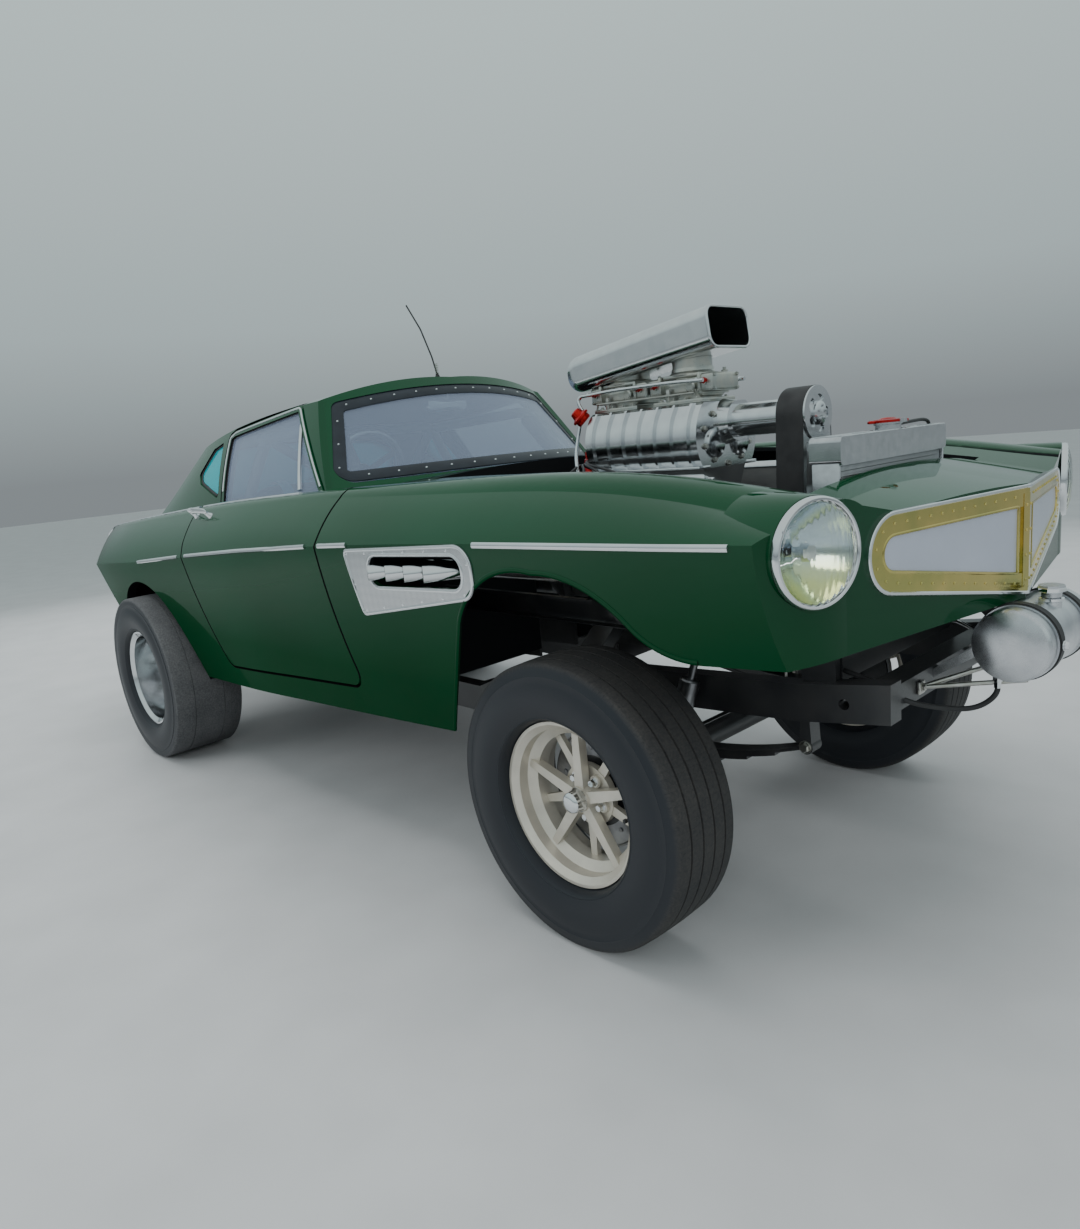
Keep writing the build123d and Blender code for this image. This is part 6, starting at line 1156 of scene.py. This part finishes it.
for side, y in SIDES:
    at = stand((1.941, y * 0.676, 0.972), (cos(LAMP_TURN), y * sin(LAMP_TURN), 0))
    rim = bmesh.new()
    turned(rim, [(0.1016, -0.010), (0.1018, 0.006), (0.1008, 0.0105), (0.0980, 0.0130), (0.0945, 0.0132),
                 (0.0915, 0.0110), (0.0905, 0.0080), (0.0905, -0.004)], at, 72)
    heads(rim, [at @ Matrix.Rotation(pi / 3, 4, "Z") @ Matrix.Translation((0.0975, 0, 0.0128))], 0.0025,
          0.002)
    shown = add_piece(f"headlight_rim_{side}", rim, "root", chrome, slot="chrome")
    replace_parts(shown, f"headlight_{side}")
    bucket = turned(bmesh.new(), [(0.0990, -0.006), (0.1024, -0.002), (0.1036, -0.006), (0.1080, -0.150),
                                  (0.1060, -0.150), (0.1000, -0.012)], at, 72, looped=True)
    add_piece(f"headlight_bucket_{side}", bucket, "root", paint, slot="paint")
    dome = bmesh.new()
    profile = [(0.0908 * sin(t), 0.0095 + 0.0165 * cos(t))
               for t in [radians(2 + 88 * n / 14) for n in range(15)]]
    turned(dome, [(0.0001, 0.0260), *profile, *[(r * 0.985, h - 0.0030) for r, h in profile[::-1]],
                  (0.0001, 0.0230)], at, 72)
    add_piece(f"headlight_glass_{side}", dome, "root", lens_glass, slot="lamp_glass")
    reflector = bmesh.new()
    dish = [(0.0895 * t, -0.058 + 0.060 * t * t) for t in [0.25 + 0.75 * n / 12 for n in range(13)]]
    turned(reflector, [(0.0001, -0.060), (0.016, -0.0585), *dish, (0.0905, 0.004), (0.0985, -0.002),
                       (0.1005, -0.040), (0.060, -0.080), (0.0001, -0.088)], at, 72)
    add_piece(f"headlight_bowl_{side}", reflector, "root", bowl, slot="lamp_glass")
    bulb = bmesh.new()
    turned(bulb, [(0.0001, -0.012), (0.014, -0.013), (0.017, -0.018), (0.0175, -0.030), (0.0165, -0.031)],
           at, 28)
    turned(bulb, [(0.009, -0.058), (0.0095, -0.040), (0.007, -0.030), (0.0001, -0.026)], at, 20)
    for n in range(3):
        turn = at @ Matrix.Rotation(2 * pi * n / 3, 4, "Z")
        bar(bulb, turn @ Vector((0.015, 0, -0.026)), turn @ Vector((0.044, 0, -0.044)), 0.0014, 8)
    add_piece(f"headlight_bulb_{side}", bulb, "root", chrome, slot="chrome")

# Tail lamps: a chromed die-cast base on each rear corner with a ribbed red lens towards the middle
# and an orange one outside it, each held by two screws.
finish_node(chrome, "tail_lamp_left", "tail_lamp_right")


def lens_plastic(name, deep, pale):
    """Clear-coated lens plastic, paler along the ribs moulded across it."""
    material, shader, start = new_finish(name, Coat_Weight=1.0, Coat_Roughness=0.03, IOR=1.49)
    rib = ripple(coordinate(start, "Z"), 900)
    link(shader, Base_Color=rib.blend(deep, pale), Roughness=rib * 0.06 + 0.14,
         Normal=bumped(start, rib, 0.0008, 0.5))
    return material


red_lens = lens_plastic("red_lens", (0.30, 0.004, 0.004), (0.62, 0.012, 0.010))
amber_lens = lens_plastic("amber_lens", (0.62, 0.10, 0.006), (0.95, 0.22, 0.012))
for side, y in SIDES:
    out = Vector((-0.98, 0.14 * y, -0.14)).normalized()
    along = Vector((0.14, 0.98 * y, 0)).normalized()
    up = along.cross(out) * y
    origin = Vector((-2.140, 0.592 * y, 0.734))
    for name, shift, material in (("red", -0.045, red_lens), ("amber", 0.045, amber_lens)):
        lens = bmesh.new()
        rings = []
        for t, h in ((1.012, 0.0075), (1.012, 0.014), (0.975, 0.0215), (0.900, 0.0300), (0.80, 0.0378),
                     (0.66, 0.0430), (0.45, 0.0450), (0.20, 0.0456), (0.02, 0.0457)):
            w, hgt = 0.084 * t, 0.072 * t
            rings.append([origin + along * (shift + b) + up * a + out * h for a, b in
                          round_box(w, hgt, min(0.026, 0.49 * hgt, 0.49 * w), 6)])
        skin(lens, rings)
        add_piece(f"tail_lens_{name}_{side}", lens, "root", material, slot="lamp_red")
        screws = bmesh.new()
        for a in (-0.027, 0.027):
            turned(screws, [(0.0001, 0.003), (0.003, 0.0026), (0.0045, 0.0)],
                   stand(origin + along * shift + up * a + out * 0.0360, out), 12)
        add_piece(f"tail_screws_{name}_{side}", screws, "root", chrome)

# Glass: thin sheet, clear in the windscreen and the doors, and tinted teal in the quarters and at the
# rear. Each pane is bedded in the opening of its own panel, and its colour is partly painted reflection.


def pane(name, tint, film_and_painted_reflection, reflection):
    """A window: tinted light passes through it, and more is reflected at flat angles, coloured as painted
    reflection.
    """
    material, shader, start = new_finish(name, Base_Color=(*film_and_painted_reflection, 1), Roughness=0.03, Specular_IOR_Level=0.9)
    edge = start.node("ShaderNodeLayerWeight", None, {"Blend": 0.32}, "Facing")
    share = edge * edge * (0.9 - reflection) + reflection
    clear = start.node("ShaderNodeBsdfTransparent", None, {"Color": (*tint, 1)})
    mixed = start.node("ShaderNodeMixShader", None,
                       {0: share, 1: clear, 2: Socket(start.tree, shader.outputs[0])})
    start.tree.links.new(start.tree.nodes["Material Output"].inputs["Surface"], mixed.socket)
    return material


# Clear panes' blue-grey colour is painted reflection; the teal panes' colour is tint and painted reflection.
clear_pane = pane("clear_glass", (0.88, 0.94, 0.96), (0.26, 0.31, 0.42), 0.30)
teal_pane = pane("teal_glass", (0.20, 0.84, 0.88), (0.01, 0.42, 0.48), 0.50)
finish_node(clear_pane, "windscreen", "door_glass_left", "door_glass_right")
finish_node(teal_pane, "rear_window", "quarter_glass_left", "quarter_glass_right")

# Screen edges: a wide black border holds the plastic windscreen, with bright dome rivets all round it
# as on a race car; the rear window keeps a plain narrow rubber seal.
edge_black = surface("screen_strip", (0.006, 0.009, 0.014), (0.010, 0.015, 0.022), 0.32, 0.12, 0.004, 0.0001)


def end_outline(lower_z, corners, upper_z, radius, inset):
    """A screen's outline from in front: bowed lower and upper edges and rounded corners, set in."""
    (yl, zl), (yu, zu) = corners[0], corners[-1]
    bow = 9
    low = [(-yl + 2 * yl * n / bow, zl + (lower_z - zl) * (1 - (2 * n / bow - 1) ** 2))
           for n in range(bow + 1)]
    high = [(yu - 2 * yu * n / bow, zu + (upper_z - zu) * (1 - (2 * n / bow - 1) ** 2))
            for n in range(bow + 1)]
    loop = [*low, *corners[1:-1], *high, *[(-a, b) for a, b in corners[1:-1][::-1]]]
    radii = [radius if n in (0, bow) else 0.003 for n in range(bow + 1)]
    sides = [radius] * (len(corners) - 2)
    return rounded_outline(loop, [*radii, *sides, *radii, *sides], inset, 5)


SCREEN = (1.138, [(0.606, 1.128), (0.482, 1.402)], 1.446, 0.040)
for name, shape, way, width in (
    ("windscreen", SCREEN, 1, 0.036),
    ("rear_window", (1.066, [(0.585, 1.092), (0.505, 1.232), (0.400, 1.286)], 1.306, 0.030), -1, 0.012),
):
    rows = []
    for inset, h in ((0.0030, 0.0004), (0.0030, 0.0046), (0.0045, 0.0056), (width - 0.0020, 0.0036),
                     (width, 0.0020), (width, 0.0004)):
        outline = even(end_outline(*shape, inset), 220)
        spots = [cast([name], (way * 3.0, y, z), (-way, 0, 0)) for y, z in outline]
        rows.append([point + normal * h for point, normal in spots])
    strip = skin(bmesh.new(), [[row[n] for row in rows] for n in range(220)], looped=True)
    add_piece(f"{name}_strip", strip, "root", edge_black, slot="black_metal")
rivets = bmesh.new()
for y, z in even(end_outline(*SCREEN, 0.019), 30):
    point, normal = cast(["windscreen"], (3.0, y, z), (-1, 0, 0))
    turned(rivets, [(0.0001, 0.0034), (0.0024, 0.0029), (0.0040, 0.0012), (0.0044, -0.0010)],
           stand(point + normal * 0.0046, normal), 14)
add_piece("windscreen_rivets", rivets, "root", chrome, slot="chrome")

# Bright lines: half-round chromed mouldings along the belt and over each fin, a folded strip on the
# lower edge of the tail, and beads round the door glass. Each is clipped to its own panel.
FIN_LINE = [(-2.180, 0.850, 0.625), (-2.120, 0.905, 0.633), (-2.050, 0.945, 0.640), (-1.950, 0.972, 0.650),
            (-1.800, 0.992, 0.668), (-1.600, 1.006, 0.688), (-1.350, 1.024, 0.703), (-1.100, 1.042, 0.712),
            (-0.850, 1.060, 0.716), (-0.640, 1.074, 0.719)]
DOOR_GLASS = [(-0.600, 1.060), (-0.690, 1.338), (-0.640, 1.356), (-0.110, 1.408), (0.213, 1.060)]
BELT_Z = 1.118
DOOR_TOP = [(-0.612, 1.075, 0.720), (-0.300, 1.090, 0.722), (0.000, 1.102, 0.722), (0.200, 1.110, 0.720)]
for side, y in SIDES:
    for name, body, nodes, run in (("fin", "root", [f"rear_quarter_{side}", "tail_panel"], FIN_LINE),
                                   ("belt", f"{side}_door", [f"door_{side}"], DOOR_TOP)):
        fine = []
        for (x0, z0, y0), (x1, z1, y1) in zip(run[:-1], run[1:]):
            count = max(1, round(hypot(x1 - x0, z1 - z0) / 0.02))
            fine += [(x0 + (x1 - x0) * n / count, y0 + (y1 - y0) * n / count, z0 + (z1 - z0) * n / count)
                     for n in range(count)]
        away = Vector((0, 0.75 * y, 0.66))
        spots = [cast(nodes, Vector((x, y * b, z)) + away, -away.normalized()) for x, b, z in fine]
        strip = moulding(bmesh.new(), [spot for spot in spots if spot], STRIP_SECTION)
        add_piece(f"{name}_strip_{side}", strip, body, chrome, slot="chrome")
    for name, material, inset in (("bead", chrome, 0.007), ("seal", rubber, 0.021)):
        points = even(rounded_outline(DOOR_GLASS, [0.012, 0.02, 0.02, 0.03, 0.012], inset), 160)
        first = next(n for n in range(160) if points[n][1] > BELT_Z >= points[n - 1][1])
        run = points[first:] + points[:first]
        run = run[:next(n for n in range(1, 160) if run[n][1] <= BELT_Z)]
        line = moulding(bmesh.new(), side_spots([f"door_{side}", f"door_glass_{side}"], run, y), BEAD)
        add_piece(f"door_frame_{name}_{side}", line, f"{side}_door", material)
    run = [(0.004 - 0.098 * n / 12, BELT_Z + 0.262 * n / 12) for n in range(13)]
    divider = moulding(bmesh.new(), side_spots([f"door_glass_{side}"], run, y),
                       [(-0.009, 0.0), (-0.008, 0.006), (-0.003, 0.009), (0.003, 0.009), (0.008, 0.006),
                        (0.009, 0.0)])
    add_piece(f"vent_divider_{side}", divider, f"{side}_door", chrome, slot="chrome")
    quarter = rounded_outline([(-0.648, 1.098), (-0.742, 1.318), (-0.840, 1.296), (-0.925, 1.200),
                               (-0.880, 1.160)], [0.02, 0.03, 0.03, 0.04, 0.04], 0.004)
    spots = side_spots([f"quarter_glass_{side}", f"rear_quarter_{side}", "roof"], even(quarter, 80), y)
    seal = moulding(bmesh.new(), spots, [(a * 1.6, h * 1.6) for a, h in BEAD], looped=True)
    add_piece(f"quarter_seal_{side}", seal, "root", rubber)
tail_line = [cast(["boot_lid"], (-3.0, -0.44 + 0.88 * n / 40, 0.792), (1, 0, 0)) for n in range(41)]
folded = moulding(bmesh.new(), [spot for spot in tail_line if spot], STRIP_SECTION)
add_piece("tail_edge_strip", folded, "lid", chrome, slot="chrome")

# Front arch lips: the cut edge of each front wing rolled outwards and painted with the wing, along the
# curve opened up over the tyre.
for side, y in SIDES:
    lip = []
    for a, b, c in (((0.912, 0.466), (1.008, 0.660), (1.062, 0.790)),
                    ((1.062, 0.790), (1.160, 0.893), (1.340, 0.925)),
                    ((1.340, 0.925), (1.500, 0.893), (1.600, 0.818)),
                    ((1.600, 0.818), (1.660, 0.778), (1.750, 0.762))):
        lip += [(x + 0.002, z + 0.006) for x, z in arc_through(a, b, c, 16)[:-1]]
    rolled = moulding(bmesh.new(), side_spots([f"front_wing_{side}"], lip, y),
                      [(-0.006, -0.002), (-0.006, 0.001), (-0.002, 0.0032), (0.002, 0.0028), (0.006, 0.0002),
                       (0.006, -0.002)])
    add_piece(f"front_arch_lip_{side}", rolled, "root", paint, slot="paint")

# Handles: die-cast and chromed. Each door has a fixed pull on two feet with a push button at its
# rear foot; the lid has a small turning handle on a round boss.
for side, y in SIDES:
    handle = bmesh.new()
    feet = []
    for x, r in ((-0.585, 0.017), (-0.440, 0.012)):
        point, normal = cast([f"door_{side}"], (x, 1.5 * y, 1.048), (0, -y, 0))
        feet.append((point, normal))
        turned(handle, [(r, -0.001), (r, 0.003), (r * 0.8, 0.007), (r * 0.62, 0.020), (r * 0.62, 0.030)],
               stand(point, normal), 24)
    turned(handle, [(0.0085, 0.020), (0.0085, 0.040), (0.0072, 0.043), (0.0001, 0.0435)],
           stand(*feet[0]), 24)
    rings = []
    for t, w, h, lift in ((-0.10, 0.004, 0.003, 0.030), (-0.05, 0.0105, 0.0055, 0.031),
                          (0.1, 0.0125, 0.007, 0.032), (0.3, 0.0105, 0.0065, 0.034),
                          (0.6, 0.0095, 0.006, 0.034), (0.9, 0.010, 0.006, 0.032),
                          (1.08, 0.009, 0.005, 0.030), (1.16, 0.003, 0.002, 0.028)):
        middle = feet[0][0].lerp(feet[1][0], t) + feet[0][1] * lift
        rings.append([middle + Vector((0, 0, 1)) * w * cos(a) + feet[0][1] * h * sin(a)
                      for a in [2 * pi * n / 16 for n in range(16)]])
    skin(handle, rings, capped=True)
    add_piece(f"door_handle_{side}", handle, f"{side}_door", chrome, slot="chrome")
point, normal = cast(["boot_lid"], (-3.0, 0.0, 0.852), (1, 0, 0))
boss = turned(bmesh.new(),
              [(0.0001, -0.001), (0.021, -0.001), (0.021, 0.003), (0.016, 0.008), (0.009, 0.012),
               (0.0075, 0.022), (0.0001, 0.024)], stand(point, normal), 32)
rings = []
for t, w in ((-0.040, 0.003), (-0.036, 0.0065), (-0.012, 0.0080), (0.012, 0.0080), (0.036, 0.0065),
             (0.040, 0.003)):
    middle = point + normal * (0.025 - 4 * t * t) + Vector((0, t, 0))
    rings.append([middle + Vector((0, 0, 1)) * w * cos(a) + normal * w * 0.7 * sin(a)
                  for a in [2 * pi * n / 14 for n in range(14)]])
skin(boss, rings, capped=True)
add_piece("lid_handle", boss, "lid", chrome, slot="chrome")

# Inner wings: folded black sheet that shuts the engine bay from each front wheel, cut low where the
# exhaust pipes pass, with a rolled edge and swaged ribs.
for side, y in SIDES:
    rings = []
    for x in [0.585 + 0.015 * n for n in range(81)]:
        climb = min(max((x - 1.20) / 0.06, 0), 1)
        top = 0.800 + 0.150 * climb * climb * (3 - 2 * climb)
        swage = 0.005 * (max(0.0, sin((x - 0.585) * 2 * pi / 0.30)) ** 4)
        rings.append([(x, y * (0.4845 + a), z) for a, z in
                      ((0.030, 0.738), (0.004, 0.738), (0.0, 0.744), (swage, 0.760), (swage, top - 0.02),
                       (0.0, top - 0.005), (0.004, top), (0.020, top), (0.020, top - 0.0015),
                       (0.005, top - 0.0015), (0.0015, top - 0.006), (swage + 0.0015, top - 0.021),
                       (swage + 0.0015, 0.761), (0.0015, 0.745), (0.0045, 0.7395), (0.030, 0.7395))])
    add_piece(f"inner_wing_{side}", skin(bmesh.new(), rings, capped=True), "root", chassis_black,
              slot="black_metal")

# Roll cage and cabin shell: steel tube under grey paint, with foam sleeves round its front legs, in a
# cabin whose floor and dashboard are satin black.
cage_grey = surface("cage_paint", (0.16, 0.17, 0.18), (0.13, 0.14, 0.15), 0.34, 0.12, 0.01, 0.0001,
                    Coat_Weight=0.5)
floor_black = surface("cabin_black", (0.016, 0.017, 0.018), (0.030, 0.030, 0.031), 0.62, 0.2, 0.01, 0.0006)
finish_node(cage_grey, "roll_cage")
finish_node(floor_black, "floor", "dashboard")
sleeves = bmesh.new()
for y in (-1, 1):
    path = [Vector((x, y * w, z)) for x, w, z in ((-0.030, 0.458, 1.335), (0.140, 0.490, 1.130))]
    turned(sleeves, [(0.030, 0.0), (0.036, 0.004), (0.036, 0.216), (0.030, 0.220)],
           stand(path[0].lerp(path[1], 0.1), path[1] - path[0]), 24)
add_piece("cage_sleeves", sleeves, "root", rubber)

# Seats: black vinyl buckets. Each shell carries a foam cushion and a foam backrest, fluted down the
# middle and raised at the sides.
vinyl = surface("seat_vinyl", (0.020, 0.021, 0.023), (0.030, 0.031, 0.034), 0.46, 0.14, 0.0016, 0.0002)
finish_node(vinyl, "seat_left", "seat_right")
SEATS = (("left", 0.330), ("right", -0.330))
for side, y in SEATS:
    for name, foot, head, up, thick in (
        ("cushion", (-0.415, 0.572), (-0.100, 0.612), (-0.12, 0.99), 0.045),
        ("backrest", (-0.436, 0.620), (-0.556, 1.105), (0.97, 0.24), 0.040),
    ):
        foot, head, up = Vector(foot), Vector(head), Vector(up).normalized()
        rows, base = [], []
        for n in range(25):
            t = n / 24
            spread = (1 - abs(2 * t - 1) ** 5) ** 0.4 if 0 < n < 24 else 0.12
            half, low = 0.21 * (0.97 + 0.03 * spread), foot.lerp(head, t)
            rows.append([])
            for s in [m / 16 - 1 for m in range(33)]:
                crown = max(0.0, 1 - s ** 6) ** 0.5 * spread
                flute = 0.004 * abs(sin((s + 1) * pi * 3)) if abs(s) < 0.67 else 0.0
                seam = 0.004 if abs(abs(s) - 0.68) < 0.04 else 0.0
                bolster = 0.054 * max(0.0, abs(s) - 0.68)
                top = low + up * (0.001 + (thick + flute - seam + bolster) * crown)
                rows[-1].append((top.x, y + half * s, top.y))
            base.append([(low.x, point[1], low.y) for point in rows[-1]])
        pad = skin(bmesh.new(), rows, closed=False)
        skin(pad, base, closed=False)
        for edge in ([rows[0], base[0]], [rows[-1], base[-1]],
                     *[[[row[m] for row in rows], [row[m] for row in base]] for m in (0, -1)]):
            skin(pad, edge, closed=False)
        bmesh.ops.remove_doubles(pad, verts=pad.verts, dist=0.0004)
        add_piece(f"seat_{name}_{side}", pad, "root", vinyl, slot="black_vinyl", sharp=60)

# Harness: flat teal webbing. Each seat has two shoulder straps and a lap belt, which meet at a round
# alloy buckle.
webbing, shader, start = new_finish("harness_webbing", Sheen_Weight=0.3)
weave = ripple(coordinate(start, "Z"), 3600)
link(shader, Base_Color=weave.blend((0.02, 0.30, 0.42), (0.05, 0.48, 0.60)), Roughness=weave * 0.1 + 0.62,
     Normal=bumped(start, weave, 0.0004, 0.4))


def strap(name, points, width, across):
    """A flat webbing strap laid over points, with its real length and width."""
    shape = bmesh.new()
    points = [Vector(p) for p in points]
    fine = []
    for n in range(len(points) - 1):
        a, b, c, d = points[max(n - 1, 0)], points[n], points[n + 1], points[min(n + 2, len(points) - 1)]
        for k in range(6):
            t = k / 6
            fine.append(0.5 * (2 * b + (c - a) * t + (2 * a - 5 * b + 4 * c - d) * t * t
                               + (3 * b - a - 3 * c + d) * t * t * t))
    fine.append(points[-1])
    rings = []
    for n, point in enumerate(fine):
        along = (fine[min(n + 1, len(fine) - 1)] - fine[max(n - 1, 0)]).normalized()
        side = (Vector(across) - along * along.dot(Vector(across))).normalized() * width / 2
        up = side.cross(along).normalized() * 0.0011
        rings.append([point - side - up, point + side - up, point + side + up, point - side + up])
    skin(shape, rings, capped=True)
    length = sum((b - a).length for a, b in zip(fine[:-1], fine[1:]))
    add_piece(name, shape, "root", webbing)


buckles = bmesh.new()
for side, y in SEATS:
    for n, dy in enumerate((-0.085, 0.085)):
        strap(f"shoulder_strap_{side}_{n}",
              [(-0.640, y + dy, 1.132), (-0.590, y + dy, 1.146), (-0.535, y + dy, 1.128),
               (-0.500, y + dy * 0.95, 1.060), (-0.440, y + dy * 0.8, 0.880),
               (-0.385, y + dy * 0.45, 0.720), (-0.345, y + dy * 0.25, 0.672)],
              0.045, (0, 1, 0))
    strap(f"lap_belt_{side}",
          [(-0.400, y - 0.225, 0.600), (-0.360, y - 0.180, 0.655), (-0.320, y - 0.090, 0.672),
           (-0.310, y, 0.674), (-0.320, y + 0.090, 0.672), (-0.360, y + 0.180, 0.655),
           (-0.400, y + 0.225, 0.600)], 0.045, (0.75, 0, 0.5))
    turned(buckles, [(0.0001, 0.012), (0.020, 0.012), (0.026, 0.009), (0.028, 0.002), (0.028, -0.004)],
           stand((-0.325, y, 0.675), (0.25, 0, 0.95)), 24)
add_piece("harness_buckles", buckles, "root", brushed, slot="aluminium")

# Steering wheel: a light alloy ring on the right-hand side, with finger grips all round its rim.
wheel_at = Matrix.Translation((-0.060, -0.335, 1.150)) @ Matrix.Rotation(radians(-68), 4, "Y")
grip = bmesh.new()
rings = []
for n in range(96):
    a = 2 * pi * n / 96
    swell = 0.0158 + 0.0009 * cos(a * 24)
    rings.append([wheel_at @ Vector(((0.155 + swell * cos(b)) * cos(a), (0.155 + swell * cos(b)) * sin(a),
                                     swell * sin(b))) for b in [2 * pi * m / 14 for m in range(14)]])
skin(grip, rings, looped=True)
add_piece("steering_wheel_grip", grip, "root", brushed, slot="aluminium")

# Gauges: dials with black faces under chromed bezels, let into the dashboard. Two large ones are in
# front of the driver and four small ones are in a row beside them.
gauge_face, shader, start = new_finish("gauge_face", Coat_Weight=1.0, Coat_Roughness=0.02)
spot = grain(start, 0.004, 1.0).over(0.62, 0.66)
link(shader, Base_Color=spot.blend((0.004, 0.004, 0.005), (0.50, 0.52, 0.50)), Roughness=spot * 0.2 + 0.3)
bezels, faces = bmesh.new(), bmesh.new()
for y, z, r in ((-0.250, 1.040, 0.036), (-0.420, 1.040, 0.036), (-0.120, 1.034, 0.026),
                (-0.050, 1.034, 0.026), (0.020, 1.034, 0.026), (0.090, 1.034, 0.026)):
    hit = cast(["dashboard"], (-0.6, y, z), (1, 0, 0))
    if hit:
        turned(bezels, [(r, -0.004), (r, 0.008), (r * 0.94, 0.011), (r * 0.88, 0.008), (r * 0.88, 0.001)],
               stand(*hit), 36)
        turned(faces, [(r * 0.88, 0.0005), (r * 0.88, 0.0040), (0.0001, 0.0046)], stand(*hit), 36)
add_piece("gauge_bezels", bezels, "root", chrome, slot="chrome")
add_piece("gauge_faces", faces, "root", gauge_face, slot="black_plastic")

# Cabin mirror: a chromed shell on a bent stalk, hung from the front edge of the roof.
pipe("mirror_stalk", [(0.060, 0.0, 1.440), (0.056, 0.0, 1.415), (0.050, 0.0, 1.395)], 0.004, "root", chrome)
mirror = bmesh.new()
rings = [[(0.046 + x, a, 1.378 + b) for b, a in round_box(w, h, r, 6)] for x, w, h, r in
         ((0.010, 0.12, 0.03, 0.012), (0.004, 0.18, 0.048, 0.018), (-0.008, 0.1862, 0.0510, 0.0196),
          (-0.009, 0.171, 0.0468, 0.018), (-0.009, 0.0095, 0.0026, 0.001))]
skin(mirror, rings, capped=True)
add_piece("cabin_mirror", mirror, "root", chrome)

# Gearbox and propeller shaft: a cast alloy case with a pan bolted under it, and the shaft that runs
# back from it to the rear axle, in the same bare metal.
finish_node(cast_alloy, "gearbox")

# Aerial: a tapered black whip that bends at its tip, on a rubber foot on the roof. A plated spring
# round its root lets it give.
finish_node(rubber, "aerial")
coil = bmesh.new()
helix = [Vector((0.005 + 0.0062 * cos(a), 0.0062 * sin(a), 1.490 + 0.0011 * a)) for a in
         [0.35 * n for n in range(18 * 6 + 1)]]
frames = []
for n, point in enumerate(helix):
    along = (helix[min(n + 1, len(helix) - 1)] - helix[max(n - 1, 0)]).normalized()
    place = stand(point, along, (point.x - 0.005, point.y, 0))
    frames.append([place @ Vector((0.0011 * cos(b), 0.0011 * sin(b), 0))
                   for b in [pi * m / 4 for m in range(8)]])
skin(coil, frames, capped=True)
add_piece("aerial_spring", coil, "root", zinc)
